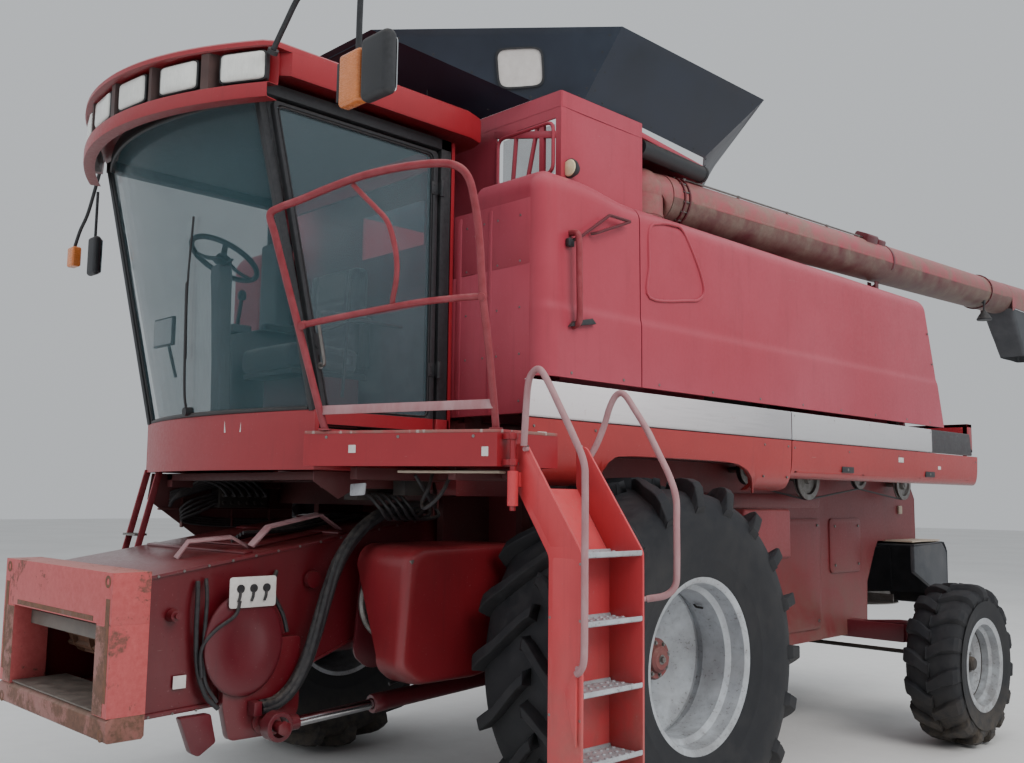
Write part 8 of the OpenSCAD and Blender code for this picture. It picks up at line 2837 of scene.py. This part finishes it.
# grab rail with a folded bracket on the front corner of the body
for sd in (1, -1):
    b = Buf()
    X1 = 1.497
    tube(b, [(sd * 1.480, -0.600, 2.96), (sd * 1.535, -0.600, 2.955), (sd * 1.540, -0.598, 2.90), (sd * 1.540, -0.590, 2.56), (sd * 1.535, -0.588, 2.50), (sd * 1.480, -0.588, 2.49)], 0.016, 14, 0.03, ref=(0, 1, 0))
    b.make("grab_rail_%s" % ("left" if sd > 0 else "right"), "railred")
    b = Buf()
    tube(b, [(sd * 1.494, -0.590, 2.925), (sd * 1.522, -0.575, 2.935), (sd * 1.522, -0.345, 3.095), (sd * 1.522, -0.175, 3.095), (sd * 1.522, -0.44, 2.985), (sd * 1.494, -0.46, 2.98)], 0.0085, 10, 0.012, ref=(0, 1, 0))
    b.make("folded_bracket_%s" % ("left" if sd > 0 else "right"), "maroon")
    b = Buf()
    b.add(*cuboid(*sorted((sd * 1.488, sd * 1.512)), -0.640, -0.600, 2.885, 2.925))
    b.add(*prism([(-0.63, 2.485), (-0.44, 2.520), (-0.47, 2.545), (-0.60, 2.515)], *sorted((sd * 1.488, sd * 1.520)), "yz"))
    b.make("grab_rail_feet_%s" % ("left" if sd > 0 else "right"), "plastic", bevel=0.003)
# a box behind each drive wheel, with brackets
b = Buf()
b.add(*cuboid(-1.30, -0.90, 1.10, 1.70, 1.20, 1.56))
b.make("battery_box", "plastic", bevel=0.02, seg=3)
b = Buf()
b.add(*cuboid(0.92, 1.28, 1.25, 1.80, 1.28, 1.60))
b.make("tool_box", "body", bevel=0.02, seg=3)
b = Buf()
b.add(*cuboid(-0.90, -0.858, 1.2, 1.25, 1.25, 1.50))
b.add(*cuboid(-0.90, -0.858, 1.55, 1.60, 1.25, 1.50))
b.add(*cuboid(0.858, 0.92, 1.3, 1.35, 1.30, 1.55))
b.add(*cuboid(0.858, 0.92, 1.7, 1.75, 1.30, 1.55))
b.make("box_brackets", "frame", bevel=0.003)
b = Buf()
# rear access ladder on the right rear corner of the body
for x in (-0.52, -0.22):
    tube(b, [(x, 3.745, 2.20), (x, 3.745, 2.98), (x, 3.68, 3.16), (x, 3.42, 3.22), (x, 3.36, PT - 0.035)], 0.012, 12, 0.05)
for k in range(4):
    b.add(*disc_prism((-0.52, 3.745, 2.28 + 0.22 * k), (1, 0, 0), 0.0105, 0.30, 12))
for x in (-0.52, -0.22):
    for z in (2.24, 2.94):
        yb = 3.68 - (z - 2.062) * (3.68 - 3.441) / (PT - 0.062 - 2.062)
        b.add(*cuboid(x - 0.012, x + 0.012, yb - 0.004, 3.745, z - 0.01, z + 0.01))
b.make("rear_access_ladder", "rail")
# ------------------------------------------------------------------ materials of the nodes that stay as drawn
KEEP = {"main_frame": "frame", "drive_axle": "chassis", "separator_housing": "body", "upper_side_panels": "panel", "front_side_shields": "shield",
        "front_bulkhead": "panel", "grain_tank": "panel", "tank_extension": "ext", "engine_block": "chassis", "engine_deck": "panel", "spreader_hood": "hood",
        "rear_tail": "frame", "steering_axle": "maroon", "cab_floor": "frame", "cab_frame": "panel", "cab_roof": "panel", "cab_glass": "glass",
        "operator_seat": "cloth", "steering_column": "plastic", "control_console": "grey_plastic", "work_platform": "shield", "platform_rails": "railred",
        "mirrors": "plastic", "drive_shields": "shield", "header_hose": "hose", "cab_door": "plastic", "door_glass": "glass", "ladder": "ladder",
        "ladder_rails": "rail", "feeder_house": "body", "feeder_face": "facepaint", "feeder_chain": "rust2", "header_drive": "maroon",
        "lift_barrel_left": "frame", "lift_barrel_right": "frame", "lift_rod_left": "chrome", "lift_rod_right": "chrome", "auger_tube": "auger",
        "auger_spout": "hood", "front_tyre_left": "tyre", "front_rim_left": "rim", "front_tyre_right": "tyre", "front_rim_right": "rim",
        "rear_tyre_left": "tyre", "rear_rim_left": "rim", "rear_tyre_right": "tyre", "rear_rim_right": "rim", "knuckle_left": "chassis",
        "knuckle_right": "chassis", "tie_rod": "chassis", "rear_shield_left": "shield", "rear_shield_right": "shield",
        "spreader_disc_left": "steel", "spreader_disc_right": "steel"}
for name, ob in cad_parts.items():
    m = M[KEEP.get(name, "frame")]
    if not ob.material_slots:
        ob.data.materials.append(m)
    for s in ob.material_slots:
        s.material = m


# ------------------------------------------------------------------ studio: pale floor and soft light
def studio():
    t = Tree("studio_floor")
    a = t.noise(0.35, 4, 0.55)
    b = t.noise(7, 6, 0.6)
    col = t.mix(t.ramp(a, 0.3, 0.7), (0.60, 0.595, 0.585), (0.67, 0.665, 0.655))
    col = t.mix(t.math("MULTIPLY", t.ramp(b, 0.4, 0.7), 0.12), col, (0.48, 0.475, 0.465))
    t.done(col, t.ramp(b, 0.3, 0.7, 0.62, 0.8), t.bump(b, 0.08, 0.002), 0.0)
    me = bpy.data.meshes.new("studio_floor")
    s = 60
    me.from_pydata([(-s, -s, 0), (s, -s, 0), (s, s, 0), (-s, s, 0)], [], [(0, 1, 2, 3)])
    me.materials.append(t.mat)
    fl = bpy.data.objects.new("studio_floor", me)
    scene.collection.objects.link(fl)
    w = bpy.data.worlds.new("studio_sky")
    scene.world = w
    w.use_nodes = True
    n, l = w.node_tree.nodes, w.node_tree.links
    n.clear()
    out = n.new("ShaderNodeOutputWorld")
    bg = n.new("ShaderNodeBackground")
    co = n.new("ShaderNodeTexCoord")
    sep = n.new("ShaderNodeSeparateXYZ")
    l.new(co.outputs["Generated"], sep.inputs[0])
    ramp = n.new("ShaderNodeMapRange")
    ramp.inputs["From Min"].default_value = -0.1
    ramp.inputs["From Max"].default_value = 0.9
    l.new(sep.outputs[2], ramp.inputs["Value"])
    mx = n.new("ShaderNodeMix")
    mx.data_type = "RGBA"
    mx.inputs[6].default_value = (0.74, 0.77, 0.80, 1)
    mx.inputs[7].default_value = (0.92, 0.96, 1.0, 1)
    l.new(ramp.outputs[0], mx.inputs[0])
    l.new(mx.outputs[2], bg.inputs[0])
    bg.inputs[1].default_value = 0.72
    l.new(bg.outputs[0], out.inputs[0])

    def area(name, loc, target, size, power, color):
        d = bpy.data.lights.new(name, "AREA")
        d.shape = "RECTANGLE"
        d.size, d.size_y = size
        d.energy = power
        d.color = color
        o = bpy.data.objects.new(name, d)
        o.location = loc
        o.rotation_euler = (Vector(target) - Vector(loc)).to_track_quat("-Z", "Y").to_euler()
        scene.collection.objects.link(o)
        o.visible_glossy = False

    area("key", (9.5, -3.0, 9.0), (0.6, -0.6, 1.9), (7, 7), 1150, (1.0, 0.985, 0.96))
    area("front_fill", (-3.5, -12.0, 5.5), (0, -2.5, 1.6), (6, 5), 420, (0.94, 0.97, 1.0))
    area("top", (0.0, 0.5, 12.5), (0, 0, 2), (10, 12), 800, (0.97, 0.985, 1.0))


studio()
